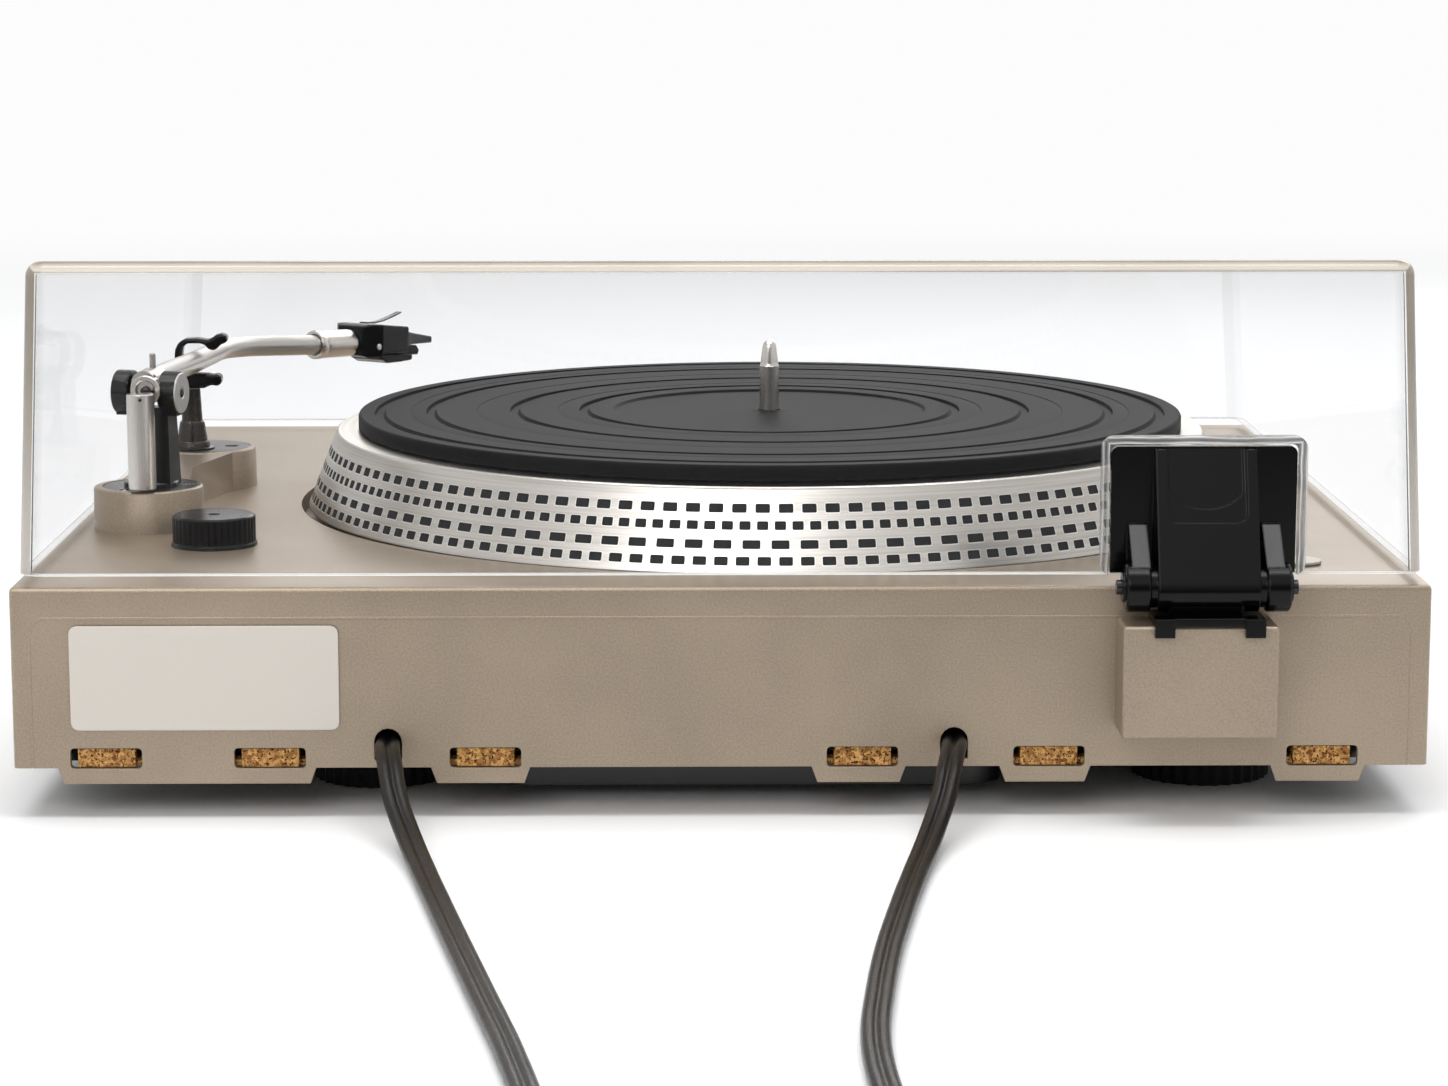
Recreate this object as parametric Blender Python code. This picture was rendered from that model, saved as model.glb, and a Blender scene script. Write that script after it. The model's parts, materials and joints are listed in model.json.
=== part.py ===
"""Automatic turntable with a clear dust cover, seen from its back in the reference.

Metres, +Z up. The back of the plinth faces +Y, the controls face -Y, and the tonearm stands on the +X side.
The origin lies on the surface that the feet stand on, under the middle of the turntable's box.
Heights in the tables below are measured from the plinth's top, and distances inward from its back face.
"""
import math

import bmesh
import bpy
from mathutils import Matrix, Vector

MM = 0.001

# Plinth, with its margins round the platter's well
MARGIN_RIGHT = 33.4 * MM
MARGIN_LEFT = 70.2 * MM
MARGIN_BACK = 20.4 * MM
MARGIN_FRONT = 26.2 * MM
PLINTH_HEIGHT = 55.6 * MM
FLOOR_DROP = 15.4 * MM
TOP_THICKNESS = 4 * MM
WALL = 5.6 * MM
EDGE_ROUND = 1.5 * MM
GAP = 0.3 * MM
OVERRUN = 5 * MM
BACK_OPENING_DROP = 9.2 * MM
BACK_OPENING_ROUND = 5 * MM

# Platter well
WELL_ROOM = 2.7 * MM
WELL_DEPTH = 6 * MM
WELL_WALL = 3 * MM

# Back panel, with its tabs, cork slots and cable holes
PANEL_THICKNESS = 2.5 * MM
TAB_DROP = 4.9 * MM
TAB_TAPER = 1.8 * MM
TAB_SPAN_SHARES = ((0.937, 0.573), (0.411, 0.271), (-0.127, -0.260), (-0.393, -0.522), (-0.777, -0.911))
SLOT_SHARES = (0.869, 0.638, 0.334, -0.199, -0.463, -0.850)
SLOT_WIDTH = 21.7 * MM
SLOT_HEIGHT = 6.3 * MM
SLOT_DROP = 52.6 * MM
SLOT_ROUND = 1.2 * MM
CORK_WIDTH = 17.4 * MM
CORK_DEPTH = 9 * MM
CORK_INSET = 0.9 * MM
CORK_BASE = 1.8 * MM
CABLE_HOLE_SHARES = (0.4712, -0.3284)
CABLE_HOLE_WIDTH = 8.4 * MM
CABLE_HOLE_HEIGHT = 9.7 * MM
CABLE_HOLE_DROP = 53.2 * MM
LABEL_WIDTH = 81.4 * MM
LABEL_HEIGHT = 32.3 * MM
LABEL_FROM_SIDE = 58.5 * MM
LABEL_DROP = 27.7 * MM
LABEL_THICKNESS = 0.5 * MM
LABEL_ROUND = 2.4 * MM

# Bottom cover
BOARD_THICKNESS = 4 * MM
BOARD_BACK_INSET = 10.4 * MM
PAN_FROM_LEFT_FOOT = 14 * MM
PAN_FROM_RIGHT_FOOT = 44 * MM
PAN_INWARD = 22 * MM
PAN_FROM_FRONT = 33 * MM
PAN_DROP = 10.9 * MM
PAN_WALL = 2 * MM
PAN_ROUND = 12 * MM

# Feet
FOOT_RADIUS = 22 * MM
FOOT_RIB_DEPTH = 0.9 * MM
FOOT_RIBS = 32
FOOT_STUD_RADIUS = 4 * MM
FOOT_STUD_RISE = 7 * MM
FOOT_REAR_RIGHT_FROM_SIDE = 61 * MM
FOOT_REAR_LEFT_FROM_SIDE = 107 * MM
FOOT_FRONT_FROM_SIDE = 57 * MM
FOOT_REAR_INWARD = 60 * MM
FOOT_FROM_FRONT = 51 * MM

# Hinge: the block on the back panel, its fixed base and the moving arm
HINGE_FROM_SIDE = 70 * MM
HINGE_AXIS_OUT = 11 * MM
HINGE_AXIS_RISE = 1.5 * MM
BLOCK_FROM_SIDE = 72.2 * MM
BLOCK_WIDTH = 46.8 * MM
BLOCK_DEPTH = 18 * MM
BLOCK_TOP_DROP = 9.3 * MM
BLOCK_HEIGHT = 34.3 * MM
SADDLE_HALF = 16.5 * MM
SADDLE_THICKNESS = 2.4 * MM
CLAW_THICKNESS = 2.7 * MM
CLAW_DROP = 3.2 * MM
CLAW_WIDTH = 6 * MM
NECK_HALF = 11 * MM
NECK_INNER_OUT = 4 * MM
NECK_OUTER_OUT = 9 * MM
KNUCKLE_RADIUS = 4.6 * MM
PIN_RADIUS = 2.2 * MM
PIN_HALF = 27.2 * MM
CHEEK_INNER = 11.6 * MM
CHEEK_RADIUS = 7.3 * MM
BRACKET_HALF = 15.2 * MM
DISC_OUTER = 25.9 * MM
DISC_RADIUS = 7.5 * MM
BRACKET_TOP_RISE = 42 * MM
BRACKET_TOP_OUT = 3.6 * MM
BRACKET_FOOT_OUT = 17.6 * MM
BRACKET_SKIN = 2.2 * MM
BRACKET_LIP_RISE = 0.4 * MM
RAIL_WIDTH = 3.2 * MM
SCOOP_DEPTH = 2.4 * MM
SCOOP_LOW_RISE = 21 * MM
LUG_INNER = 17.5 * MM
LUG_OUTER = 24.4 * MM
PLATE_HALF = 28.2 * MM
PLATE_TOP_RISE = 42.6 * MM
PLATE_LOW_RISE = 4 * MM
PLATE_INNER_OUT = -2.4 * MM
PLATE_OUTER_OUT = 0.6 * MM

# Dust cover
COVER_INSET = 3 * MM
COVER_SIDE_DRAFT = 3.5 * MM
COVER_END_DRAFT = 3 * MM
COVER_LIFT = 3 * MM
COVER_BACK_RISE = 98 * MM
COVER_FRONT_RISE = 67 * MM
COVER_THICKNESS = 3 * MM
COVER_ROUND = 7 * MM
COVER_TOP_ROUND = 3.5 * MM
POCKET_HALF = 30.5 * MM
POCKET_RISE = 46.3 * MM
POCKET_RIM = 1.9 * MM
POCKET_OUT = 0.8 * MM

# Platter, mat and spindle
PLATTER_RIM_RADIUS = 160.5 * MM
SKIRT_REACH = 10.3 * MM
PLATTER_LEDGE_RISE = 25.5 * MM
PLATTER_FOOT_RISE = -0.5 * MM
PLATTER_SKIN = 3.6 * MM
MAT_INSET = 7.1 * MM
MAT_THICKNESS = 5.2 * MM
MAT_EDGE_ROUND = 0.9 * MM
MAT_STEP = 0.8 * MM
MAT_GROOVE_SHARES = (0.955, 0.925, 0.60, 0.575)
SPINDLE_RADIUS = 3.55 * MM
SPINDLE_RISE = 54.8 * MM
SPINDLE_TAPER = 9 * MM
SPINDLE_TIP_RADIUS = 2.1 * MM
SHAFT_RADIUS = 5 * MM
SHAFT_DEPTH = 42.7 * MM
FLANGE_RADIUS = 12 * MM
FLANGE_THICKNESS = 3 * MM
SLEEVE_WALL = 2.7 * MM
SLEEVE_FLANGE_RADIUS = 16 * MM
SLEEVE_FLANGE_THICKNESS = 2.8 * MM
RUNNING_GAP = 0.25 * MM
ROTOR_OUTER = 42 * MM
ROTOR_INNER = 36 * MM
ROTOR_HEIGHT = 19 * MM
STATOR_RADIUS = 33 * MM
STATOR_HEIGHT = 12 * MM
STATOR_HUB = 22 * MM
STATOR_TEETH = 12

# Tonearm base: two pods joined by a web
POD_FROM_SIDE = 26.7 * MM
POD_BEHIND_PLATTER = 66.2 * MM
POD_RADIUS = 18.2 * MM
POD_HEIGHT = 13 * MM
POD_ROUND = 1 * MM
POD_PLATE_RADIUS = 16 * MM
POD_PLATE_THICKNESS = 1 * MM
REST_POD_FROM_SIDE = 34 * MM
REST_POD_AHEAD = 94.6 * MM
REST_POD_RADIUS = 19.6 * MM
WEB_HALF = 9 * MM
SCREW_RADIUS = 2.3 * MM
SCREW_CIRCLE = 12.6 * MM
SCREW_ANGLES = (60, 195, 300)

# Tonearm pivot
ARM_HEADING = 13
DRUM_RADIUS = 7.5 * MM
DRUM_INNER = 6.3 * MM
DRUM_LENGTH = 5.9 * MM
DRUM_RISE = 45 * MM
STUB_RADIUS = 1.2 * MM
STUB_INNER = 4 * MM
CAP_RADIUS = 6.8 * MM
CAP_THICKNESS = 0.7 * MM
LEG_INNER = 5.4 * MM
LEG_OUTER = 12.4 * MM
LEG_TOP_OUTER = 11.9 * MM
LEG_HALF_LOW = 6 * MM
LEG_HALF_TOP = 4.4 * MM
PILLAR_FOOT_RADIUS = 9 * MM
PILLAR_FOOT_THICKNESS = 2 * MM
YOKE_HALF = 3 * MM
YOKE_THICKNESS = 2.8 * MM
ARM_SHAFT_RADIUS = 3.2 * MM
ARM_SHAFT_DEPTH = 28 * MM
LEVER_LENGTH = 60 * MM
LEVER_WIDTH = 9 * MM
LEVER_THICKNESS = 2 * MM
LEVER_HEEL_SPAN = (120, 240)
LEVER_DROP = 24 * MM

# Tonearm tube and what it carries
TUBE_RADIUS = 3.75 * MM
TUBE_RISE = 49 * MM
TUBE_HEADING = 5.5
TUBE_FALL = 1.72
TUBE_REAR = 7.8 * MM
TUBE_LEG_SHARE = 0.7975
TUBE_BEND = 61 * MM
SHELL_HEADING = 33
SHELL_FALL = 3.3
TUBE_END = 61.7 * MM
CLAMP_HALF = 4.75 * MM
CLAMP_LOW = 43 * MM
CLAMP_TOP = 54 * MM
CLAMP_REAR = 9.8 * MM
CLAMP_FRONT = 8 * MM
CLAMP_ROUND = 4 * MM
ARCH_HALF = 3.2 * MM
ARCH_LOW = 46.5 * MM
ARCH_TOP = 50.3 * MM
HANGER_HALF = 3 * MM
WEIGHT_RADIUS = 4.55 * MM
WEIGHT_LOW = 14.4 * MM
WEIGHT_TOP = 46.2 * MM
WEIGHT_REAR = 15.9 * MM
WEIGHT_SIDE = 0.9 * MM
WEIGHT_CHAMFER = 0.4 * MM
WEIGHT_HOLE_RADIUS = 0.7 * MM
WEIGHT_HOLE_DROP = 1.9 * MM
ARM_PIN_RADIUS = 1.1 * MM
ARM_PIN_FRONT = 5.6 * MM
ARM_PIN_TOP = 57.4 * MM
COLLAR_START = 57 * MM
COLLAR_LENGTH = 11 * MM
COLLAR_RADIUS = 5 * MM
COLLAR_CHAMFER = 0.6 * MM
SHELL_LENGTH = 44.2 * MM
SHELL_HALF = 9.6 * MM
SHELL_RISE = 7.4 * MM
SHELL_DROP = 5.6 * MM
SHELL_STATION_SHARES = ((0, 0.58, 0.75, 0.7), (0.06, 0.85, 1, 1), (0.17, 1, 1, 0.93), (0.2, 1, 0.68, 0.9),
                        (0.55, 0.98, 0.68, 0.55), (0.565, 0.9, 0.68, -0.14), (1, 0.62, 0.68, -0.14))
SHELL_PLUG_RADIUS = 3.4 * MM
CARTRIDGE_START = 77.5 * MM
CARTRIDGE_END = 101 * MM
CARTRIDGE_HALF = 7.6 * MM
CARTRIDGE_REAR_DROP = 8.5 * MM
CARTRIDGE_FRONT_DROP = 7.4 * MM
CARTRIDGE_SLOPE = 4 * MM
STYLUS_LENGTH = 9 * MM
STYLUS_HEIGHT = 2.2 * MM
STYLUS_HALF = 5 * MM
LIFT_START = 84 * MM
LIFT_LENGTH = 24 * MM
LIFT_LOW = 5.6 * MM
LIFT_RISE = 3.4 * MM
LIFT_WIDTH = 3.4 * MM
LIFT_THICKNESS = 1.1 * MM

# Arm rest
REST_PLATE_RADIUS = 16.6 * MM
REST_PLATE_THICKNESS = 1 * MM
REST_SLOT_WIDTH = 4.6 * MM
REST_OUTWARD = 3.3 * MM
REST_BACKWARD = 7 * MM
REST_FLANGE_RADIUS = 7.5 * MM
REST_FLANGE_THICKNESS = 1.2 * MM
REST_FOOT_RADIUS = 5.6 * MM
REST_TOP_RADIUS = 3.1 * MM
REST_PILLAR_TOP = 35.8 * MM
CLIP_LOW = 36.1 * MM
CLIP_LIP_TOP = 41 * MM
CLIP_LIP_REACH = 4.6 * MM
CLIP_SADDLE_REACH = 1 * MM
CLIP_WEB = 5 * MM
CLIP_TONGUE_REACH = 7.4 * MM
CLIP_TONGUE = 2.4 * MM
CLIP_SIDE_ROOM = 0.45 * MM
CLIP_LIFT_ROOM = 3 * MM
CLIP_HALF = 3 * MM

# Small pieces on the top
KNOB_FROM_SIDE = 52 * MM
KNOB_BEHIND_POD = 37.4 * MM
KNOB_RADIUS = 13.6 * MM
KNOB_HEIGHT = 9.2 * MM
KNOB_RIBS = 40
KNOB_RIB_DEPTH = 0.7 * MM
KNOB_FLANGE = 0.5 * MM
KNOB_FLANGE_HEIGHT = 1.2 * MM
KNOB_SHAFT_RADIUS = 2.6 * MM
KNOB_SHAFT_DEPTH = 9 * MM
PLUG_FROM_SIDE = 34 * MM
PLUG_INWARD = 40 * MM
PLUG_RADIUS = 7 * MM
PLUG_THICKNESS = 1.2 * MM
LAMP_ROOM = 7.6 * MM
LAMP_BEARING = 223.8
LAMP_WIDTH = 24 * MM
LAMP_DEPTH = 12 * MM
LAMP_HEIGHT = 12 * MM
LAMP_TURN = 43
LAMP_WINDOW = 6 * MM

# Front controls
FRONT_PANEL_WIDTH = 330 * MM
FRONT_PANEL_HEIGHT = 26 * MM
FRONT_PANEL_THICKNESS = 1.5 * MM
FRONT_PANEL_DROP = 26 * MM
KEY_WIDTH = 26 * MM
KEY_HEIGHT = 10 * MM
KEY_REACH = 4.5 * MM
KEY_FLANGE = 2 * MM
KEY_TRAVEL = 2.5 * MM
STOP_KEY_X = -120 * MM
START_KEY_X = -86 * MM
SPEED_KEY_X = 30 * MM
PITCH_KNOB_X = 118 * MM
PITCH_KNOB_RADIUS = 8 * MM
PITCH_KNOB_REACH = 8 * MM
PITCH_KNOB_RIBS = 24
PITCH_SHAFT_RADIUS = 3 * MM
PITCH_SHAFT_DEPTH = 9 * MM
CONTROL_BOARD_WIDTH = 300 * MM
CONTROL_BOARD_THICKNESS = 1.6 * MM
CONTROL_BOARD_HEIGHT = 34 * MM
SWITCH_SIZE = 6 * MM
SWITCH_DEPTH = 3.5 * MM

# Power supply
TRANSFORMER_FROM_SIDE = 65 * MM
TRANSFORMER_INWARD = 112 * MM
TRANSFORMER_WIDTH = 54 * MM
TRANSFORMER_DEPTH = 40 * MM
TRANSFORMER_HEIGHT = 30 * MM
COIL_BULGE = 5 * MM

# Leads
CORD_DIAMETER = 7.6 * MM
COIL_PITCH = 8.25 * MM
COIL_CLIMB = 8.25 * MM
LOOP_POINTS = 24
COIL_END_RUN = 58 * MM
COIL_DROP_START = 14 * MM
COIL_DROP_END = 46 * MM
MAINS_OUTER = 52 * MM
MAINS_TURNS = 2.42
MAINS_CENTRE = (-90.9 * MM, 556 * MM)
SIGNAL_OUTER = 49 * MM
SIGNAL_TURNS = 1.72
SIGNAL_CENTRE = (89.1 * MM, 556 * MM)
RELIEF_RADIUS = 5 * MM
RELIEF_LENGTH = 7 * MM
PLUG_BODY_LENGTH = 30 * MM
PLUG_BODY_HALF = 12 * MM
PLUG_BODY_HALF_THICK = 7.6 * MM
PLUG_BOOT_LENGTH = 22 * MM
BLADE_LENGTH = 17 * MM
BLADE_WIDTH = 6.2 * MM
BLADE_THICKNESS = 1.5 * MM
BLADE_SPREAD = 6.35 * MM
SPLITTER_LENGTH = 22 * MM
SPLITTER_HALF = 6.5 * MM
SPLITTER_HALF_THICK = 4.4 * MM
TAIL_DIAMETER = 4 * MM
TAIL_LENGTH = 84 * MM
TAIL_SPREAD = 6 * MM
TAIL_RISE = 4.7 * MM
PHONO_RADIUS = 5.2 * MM
PHONO_LENGTH = 26 * MM
PHONO_BOOT = 12 * MM
PHONO_PIN_RADIUS = 1.6 * MM
PHONO_PIN_LENGTH = 9 * MM

# The leads' free stretches: places on the way from the back panel to the coils, in millimetres
SIGNAL_ROUTE = ((101.3, 182, 22.6), (101.2, 190, 22.2), (100.8, 198, 19.0), (99.8, 206, 13.5),
                (98.0, 216, 8.2), (95.5, 229, 4.8), (92.0, 245, 3.9), (83.0, 286, 3.8),
                (72.9, 333, 3.8), (62.7, 384, 3.8), (55.3, 422, 3.8), (46.6, 457, 3.8),
                (41.8, 490, 3.8), (40.2, 520, 3.8), (40.1, 548.1, 3.8))
MAINS_ROUTE = ((-70.6, 182, 22.8), (-70.4, 190, 22.2), (-69.6, 198, 19.0), (-67.6, 206, 13.5),
               (-64.5, 216, 8.2), (-60.5, 229, 4.8), (-55.5, 245, 3.9), (-46.1, 299, 3.8),
               (-39.2, 353, 3.8), (-35.6, 389, 3.8), (-34.3, 423, 3.8), (-35.6, 458, 3.8),
               (-37.6, 490, 3.8), (-38.8, 520, 3.8), (-38.9, 548.1, 3.8))

# Places that follow from the sizes above
WELL_RADIUS = PLATTER_RIM_RADIUS + WELL_ROOM
PLATTER_LIP_RADIUS = PLATTER_RIM_RADIUS - SKIRT_REACH
MAT_RADIUS = PLATTER_LIP_RADIUS - MAT_INSET
PLINTH_DEPTH = MARGIN_BACK + WELL_RADIUS * 2 + MARGIN_FRONT
HALF_WIDTH = WELL_RADIUS + (MARGIN_RIGHT + MARGIN_LEFT) / 2
HINGE_REACH = BLOCK_DEPTH + GAP + CLAW_THICKNESS
BACK_Y = (PLINTH_DEPTH + PITCH_KNOB_REACH - HINGE_REACH) / 2
FRONT_Y = BACK_Y - PLINTH_DEPTH
TOP_Z = FLOOR_DROP + PLINTH_HEIGHT
PLATTER_X = MARGIN_RIGHT + WELL_RADIUS - HALF_WIDTH
PLATTER_INWARD = MARGIN_BACK + WELL_RADIUS
POD_INWARD = PLATTER_INWARD - POD_BEHIND_PLATTER
REST_POD_INWARD = POD_INWARD + REST_POD_AHEAD
KNOB_INWARD = POD_INWARD - KNOB_BEHIND_POD
TUBE_LEG = PLATTER_RIM_RADIUS * TUBE_LEG_SHARE
HINGE_X = HINGE_FROM_SIDE - HALF_WIDTH
BLOCK_X = BLOCK_FROM_SIDE - HALF_WIDTH
LABEL_X = HALF_WIDTH - LABEL_FROM_SIDE
KNOB_X = HALF_WIDTH - KNOB_FROM_SIDE
PLUG_X = PLUG_FROM_SIDE - HALF_WIDTH
TRANSFORMER_X = TRANSFORMER_FROM_SIDE - HALF_WIDTH
KEY_XS = (STOP_KEY_X, START_KEY_X, SPEED_KEY_X)
COVER_HALF_LOW = HALF_WIDTH - COVER_INSET
COVER_HALF_TOP = COVER_HALF_LOW - COVER_SIDE_DRAFT
COVER_BACK_LOW = COVER_INSET
COVER_BACK_TOP = COVER_BACK_LOW + COVER_END_DRAFT
COVER_FRONT_LOW = PLINTH_DEPTH - COVER_INSET
COVER_FRONT_TOP = COVER_FRONT_LOW - COVER_END_DRAFT
PAN_HIGH_X = HALF_WIDTH - FOOT_REAR_LEFT_FROM_SIDE - FOOT_RADIUS - PAN_FROM_LEFT_FOOT
PAN_LOW_X = FOOT_REAR_RIGHT_FROM_SIDE + FOOT_RADIUS + PAN_FROM_RIGHT_FOOT - HALF_WIDTH
BOARD_LOW = FLOOR_DROP
BOARD_TOP = FLOOR_DROP + BOARD_THICKNESS
WELL_FLOOR_Z = TOP_Z - WELL_DEPTH
PLATTER_Y = BACK_Y - PLATTER_INWARD
POD = Vector((HALF_WIDTH - POD_FROM_SIDE, BACK_Y - POD_INWARD, 0))
REST_POD = Vector((HALF_WIDTH - REST_POD_FROM_SIDE, BACK_Y - REST_POD_INWARD, 0))
REST = REST_POD + Vector((REST_OUTWARD, REST_BACKWARD, 0))
HINGE_AXIS = Vector((HINGE_X, BACK_Y + HINGE_AXIS_OUT, TOP_Z + HINGE_AXIS_RISE))
MAT_TOP_RISE = PLATTER_LEDGE_RISE + GAP + MAT_THICKNESS
FLAT_TURN = 0.5
SHARP_TURN = 30
FLAT_SHARE = 6
ALONG_Z = Matrix.Identity(3)
ALONG_X = Matrix(((0, 0, 1), (1, 0, 0), (0, 1, 0)))
ALONG_Y = Matrix(((1, 0, 0), (0, 0, -1), (0, 1, 0)))


# Tools

def clear_scene():
    for old in list(bpy.data.objects):
        bpy.data.objects.remove(old, do_unlink=True)


def finish(name, colour, roughness, metallic=0.0, alpha=1.0):
    """A plain Principled material."""
    material = bpy.data.materials.new(name)
    material.use_nodes = True
    shader = material.node_tree.nodes["Principled BSDF"]
    shader.inputs["Base Color"].default_value = (*colour, 1)
    shader.inputs["Roughness"].default_value = roughness
    shader.inputs["Metallic"].default_value = metallic
    shader.inputs["Alpha"].default_value = alpha
    return material


def inward(distance):
    """World Y of a place this far in from the plinth's back face."""
    return BACK_Y - distance


def above(height):
    """World Z of a place this far above the plinth's top."""
    return TOP_Z + height


def shade(form):
    """Shade round skins smooth and flat faces flat."""
    for face in form.faces:
        for edge in face.edges:
            turn = math.degrees(edge.calc_face_angle(0))
            across = min(other.calc_area() for other in edge.link_faces)
            if FLAT_TURN < turn < SHARP_TURN and face.calc_area() < across * FLAT_SHARE:
                face.smooth = True


def make(name, form, material=None, axis=None):
    """Turn a form into a named object, and hang it on its joint's empty if it has one."""
    bmesh.ops.recalc_face_normals(form, faces=form.faces)
    mesh = bpy.data.meshes.new(name)
    shade(form)
    form.to_mesh(mesh)
    form.free()
    mesh.set_sharp_from_angle(angle=math.radians(SHARP_TURN))
    piece = bpy.data.objects.new(name, mesh)
    bpy.context.collection.objects.link(piece)
    if material:
        mesh.materials.append(material)
    if axis:
        hang(piece, axis)
    return piece


def hang(piece, axis):
    piece.parent = axis
    piece.matrix_parent_inverse = Matrix.Translation(axis.location).inverted()


def joint_axis(name, place):
    """An empty on a joint's axis."""
    empty = bpy.data.objects.new(name, None)
    empty.location = place
    bpy.context.collection.objects.link(empty)
    return empty


def combine(piece, form, operation, name):
    """Cut a form out of a piece, or join it on, with a Boolean that stays on the piece."""
    other = make(name, form)
    other.hide_render = True
    other.display_type = "WIRE"
    change = piece.modifiers.new(name, "BOOLEAN")
    change.operation = operation
    change.object = other
    change.solver = "EXACT"
    return other


def cut(piece, form, name):
    return combine(piece, form, "DIFFERENCE", name)


def join(piece, form, name):
    return combine(piece, form, "UNION", name)


def box(form, xs, ys, zs):
    """A block between two corners."""
    corners = [form.verts.new((x, y, z)) for z in zs for y in ys for x in xs]
    for face in ((0, 2, 3, 1), (4, 5, 7, 6), (0, 1, 5, 4), (2, 6, 7, 3), (0, 4, 6, 2), (1, 3, 7, 5)):
        form.faces.new([corners[i] for i in face])
    return corners


def block(xs, ys, zs):
    form = bmesh.new()
    box(form, xs, ys, zs)
    return form


def prism(form, outline, low, high, basis=ALONG_Z, place=Vector()):
    """Extrude a flat outline from low to high along the basis's third axis."""
    lows = [form.verts.new(place + basis @ Vector((a, b, low))) for a, b in outline]
    highs = [form.verts.new(place + basis @ Vector((a, b, high))) for a, b in outline]
    count = len(outline)
    form.faces.new(lows)
    form.faces.new(highs)
    for i in range(count):
        j = (i + 1) % count
        form.faces.new((lows[i], lows[j], highs[j], highs[i]))
    return lows + highs


def slab(outline, low, high, basis=ALONG_Z, place=Vector()):
    form = bmesh.new()
    prism(form, outline, low, high, basis, place)
    return form


def loft(form, rings):
    """Skin a row of rings that have like counts, with flat ends."""
    rows = [[form.verts.new(point) for point in ring] for ring in rings]
    count = len(rows[0])
    form.faces.new(rows[0])
    form.faces.new(rows[-1])
    for low, high in zip(rows, rows[1:]):
        for i in range(count):
            j = (i + 1) % count
            form.faces.new((low[i], low[j], high[j], high[i]))
    return [vertex for row in rows for vertex in row]


def turned(form, profile, sides, place=Vector(), basis=ALONG_Z):
    """Turn a profile of (radius, height) round the basis's third axis.

    A profile that starts and ends on the axis is a solid. Any other is a ring whose last point joins its first.
    """
    rows = []
    for radius, height in profile:
        if radius == 0:
            rows.append([form.verts.new(place + basis @ Vector((0, 0, height)))])
            continue
        row = []
        for i in range(sides):
            angle = math.tau * i / sides
            spot = Vector((radius * math.cos(angle), radius * math.sin(angle), height))
            row.append(form.verts.new(place + basis @ spot))
        rows.append(row)
    pairs = list(zip(rows, rows[1:]))
    if profile[0][0] != 0:
        pairs.append((rows[-1], rows[0]))
    for low, high in pairs:
        for i in range(sides):
            j = (i + 1) % sides
            corners = [low[i % len(low)], low[j % len(low)], high[j % len(high)], high[i % len(high)]]
            form.faces.new(list(dict.fromkeys(corners)))
    return [vertex for row in rows for vertex in row]


def lathe(profile, sides, place=Vector(), basis=ALONG_Z):
    form = bmesh.new()
    turned(form, profile, sides, place, basis)
    return form


def rod(radius, low, high, sides, place=Vector(), basis=ALONG_Z):
    """A plain round bar."""
    return lathe(((0, low), (radius, low), (radius, high), (0, high)), sides, place, basis)


def arc(centre, radius, start, end, steps):
    """Points on an arc, with angles in degrees."""
    points = []
    for i in range(steps + 1):
        angle = math.radians(start + (end - start) * i / steps)
        points.append((centre[0] + radius * math.cos(angle), centre[1] + radius * math.sin(angle)))
    return points


def rounded(xs, ys, radius, steps=3):
    """A rectangle's outline with round corners."""
    low_x, high_x = min(xs) + radius, max(xs) - radius
    low_y, high_y = min(ys) + radius, max(ys) - radius
    return (arc((high_x, high_y), radius, 0, 90, steps) + arc((low_x, high_y), radius, 90, 180, steps)
            + arc((low_x, low_y), radius, 180, 270, steps) + arc((high_x, low_y), radius, 270, 360, steps))


def around(middle, half):
    return (middle - half, middle + half)


def ribbed(radius, depth, ribs):
    """The outline of a ribbed edge: a high and a low place for each rib."""
    points = []
    for i in range(ribs * 2):
        angle = math.pi * i / ribs
        reach = radius if i % 2 else radius - depth
        points.append((reach * math.cos(angle), reach * math.sin(angle)))
    return points


def turn_form(form, matrix, vertices=None):
    bmesh.ops.transform(form, matrix=matrix, verts=vertices or form.verts)
    return form


def arm_frame(origin, heading):
    """A frame whose Y runs along the arm's heading and whose X points towards the platter's side."""
    return Matrix.Translation(origin) @ Matrix.Rotation(math.radians(180 - heading), 4, "Z")


def smooth_route(points, spacing):
    """Evenly spaced points along a smooth curve through the given points."""
    places = [Vector(point) for point in points]
    ends = [places[0] * 2 - places[1]] + places + [places[-1] * 2 - places[-2]]
    fine = []
    for a, b, c, d in zip(ends, ends[1:], ends[2:], ends[3:]):
        for i in range(24):
            t = i / 24
            fine.append(0.5 * (2 * b + (c - a) * t + (2 * a - 5 * b + 4 * c - d) * t * t
                               + (3 * b - a - 3 * c + d) * t ** 3))
    fine.append(places[-1])
    return evenly(fine, spacing)


def evenly(points, spacing):
    """The same path with a point at each even step."""
    lengths = [0.0]
    for a, b in zip(points, points[1:]):
        lengths.append(lengths[-1] + (b - a).length)
    steps = max(2, round(lengths[-1] / spacing))
    result = []
    at = 0
    for i in range(steps + 1):
        want = lengths[-1] * i / steps
        while at < len(points) - 2 and lengths[at + 1] < want:
            at += 1
        span = lengths[at + 1] - lengths[at]
        result.append(points[at].lerp(points[at + 1], (want - lengths[at]) / span))
    return result


def path_length(points):
    return sum((b - a).length for a, b in zip(points, points[1:]))


def cord(name, points, diameter, resolution, material):
    """A round cord along a path, with filled ends."""
    data = bpy.data.curves.new(name, "CURVE")
    data.dimensions = "3D"
    data.bevel_depth = diameter / 2
    data.bevel_resolution = resolution
    data.use_fill_caps = True
    line = data.splines.new("POLY")
    line.points.add(len(points) - 1)
    for spot, point in zip(line.points, points):
        spot.co = (*point, 1)
    piece = bpy.data.objects.new(name, data)
    bpy.context.collection.objects.link(piece)
    data.materials.append(material)
    return piece


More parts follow.
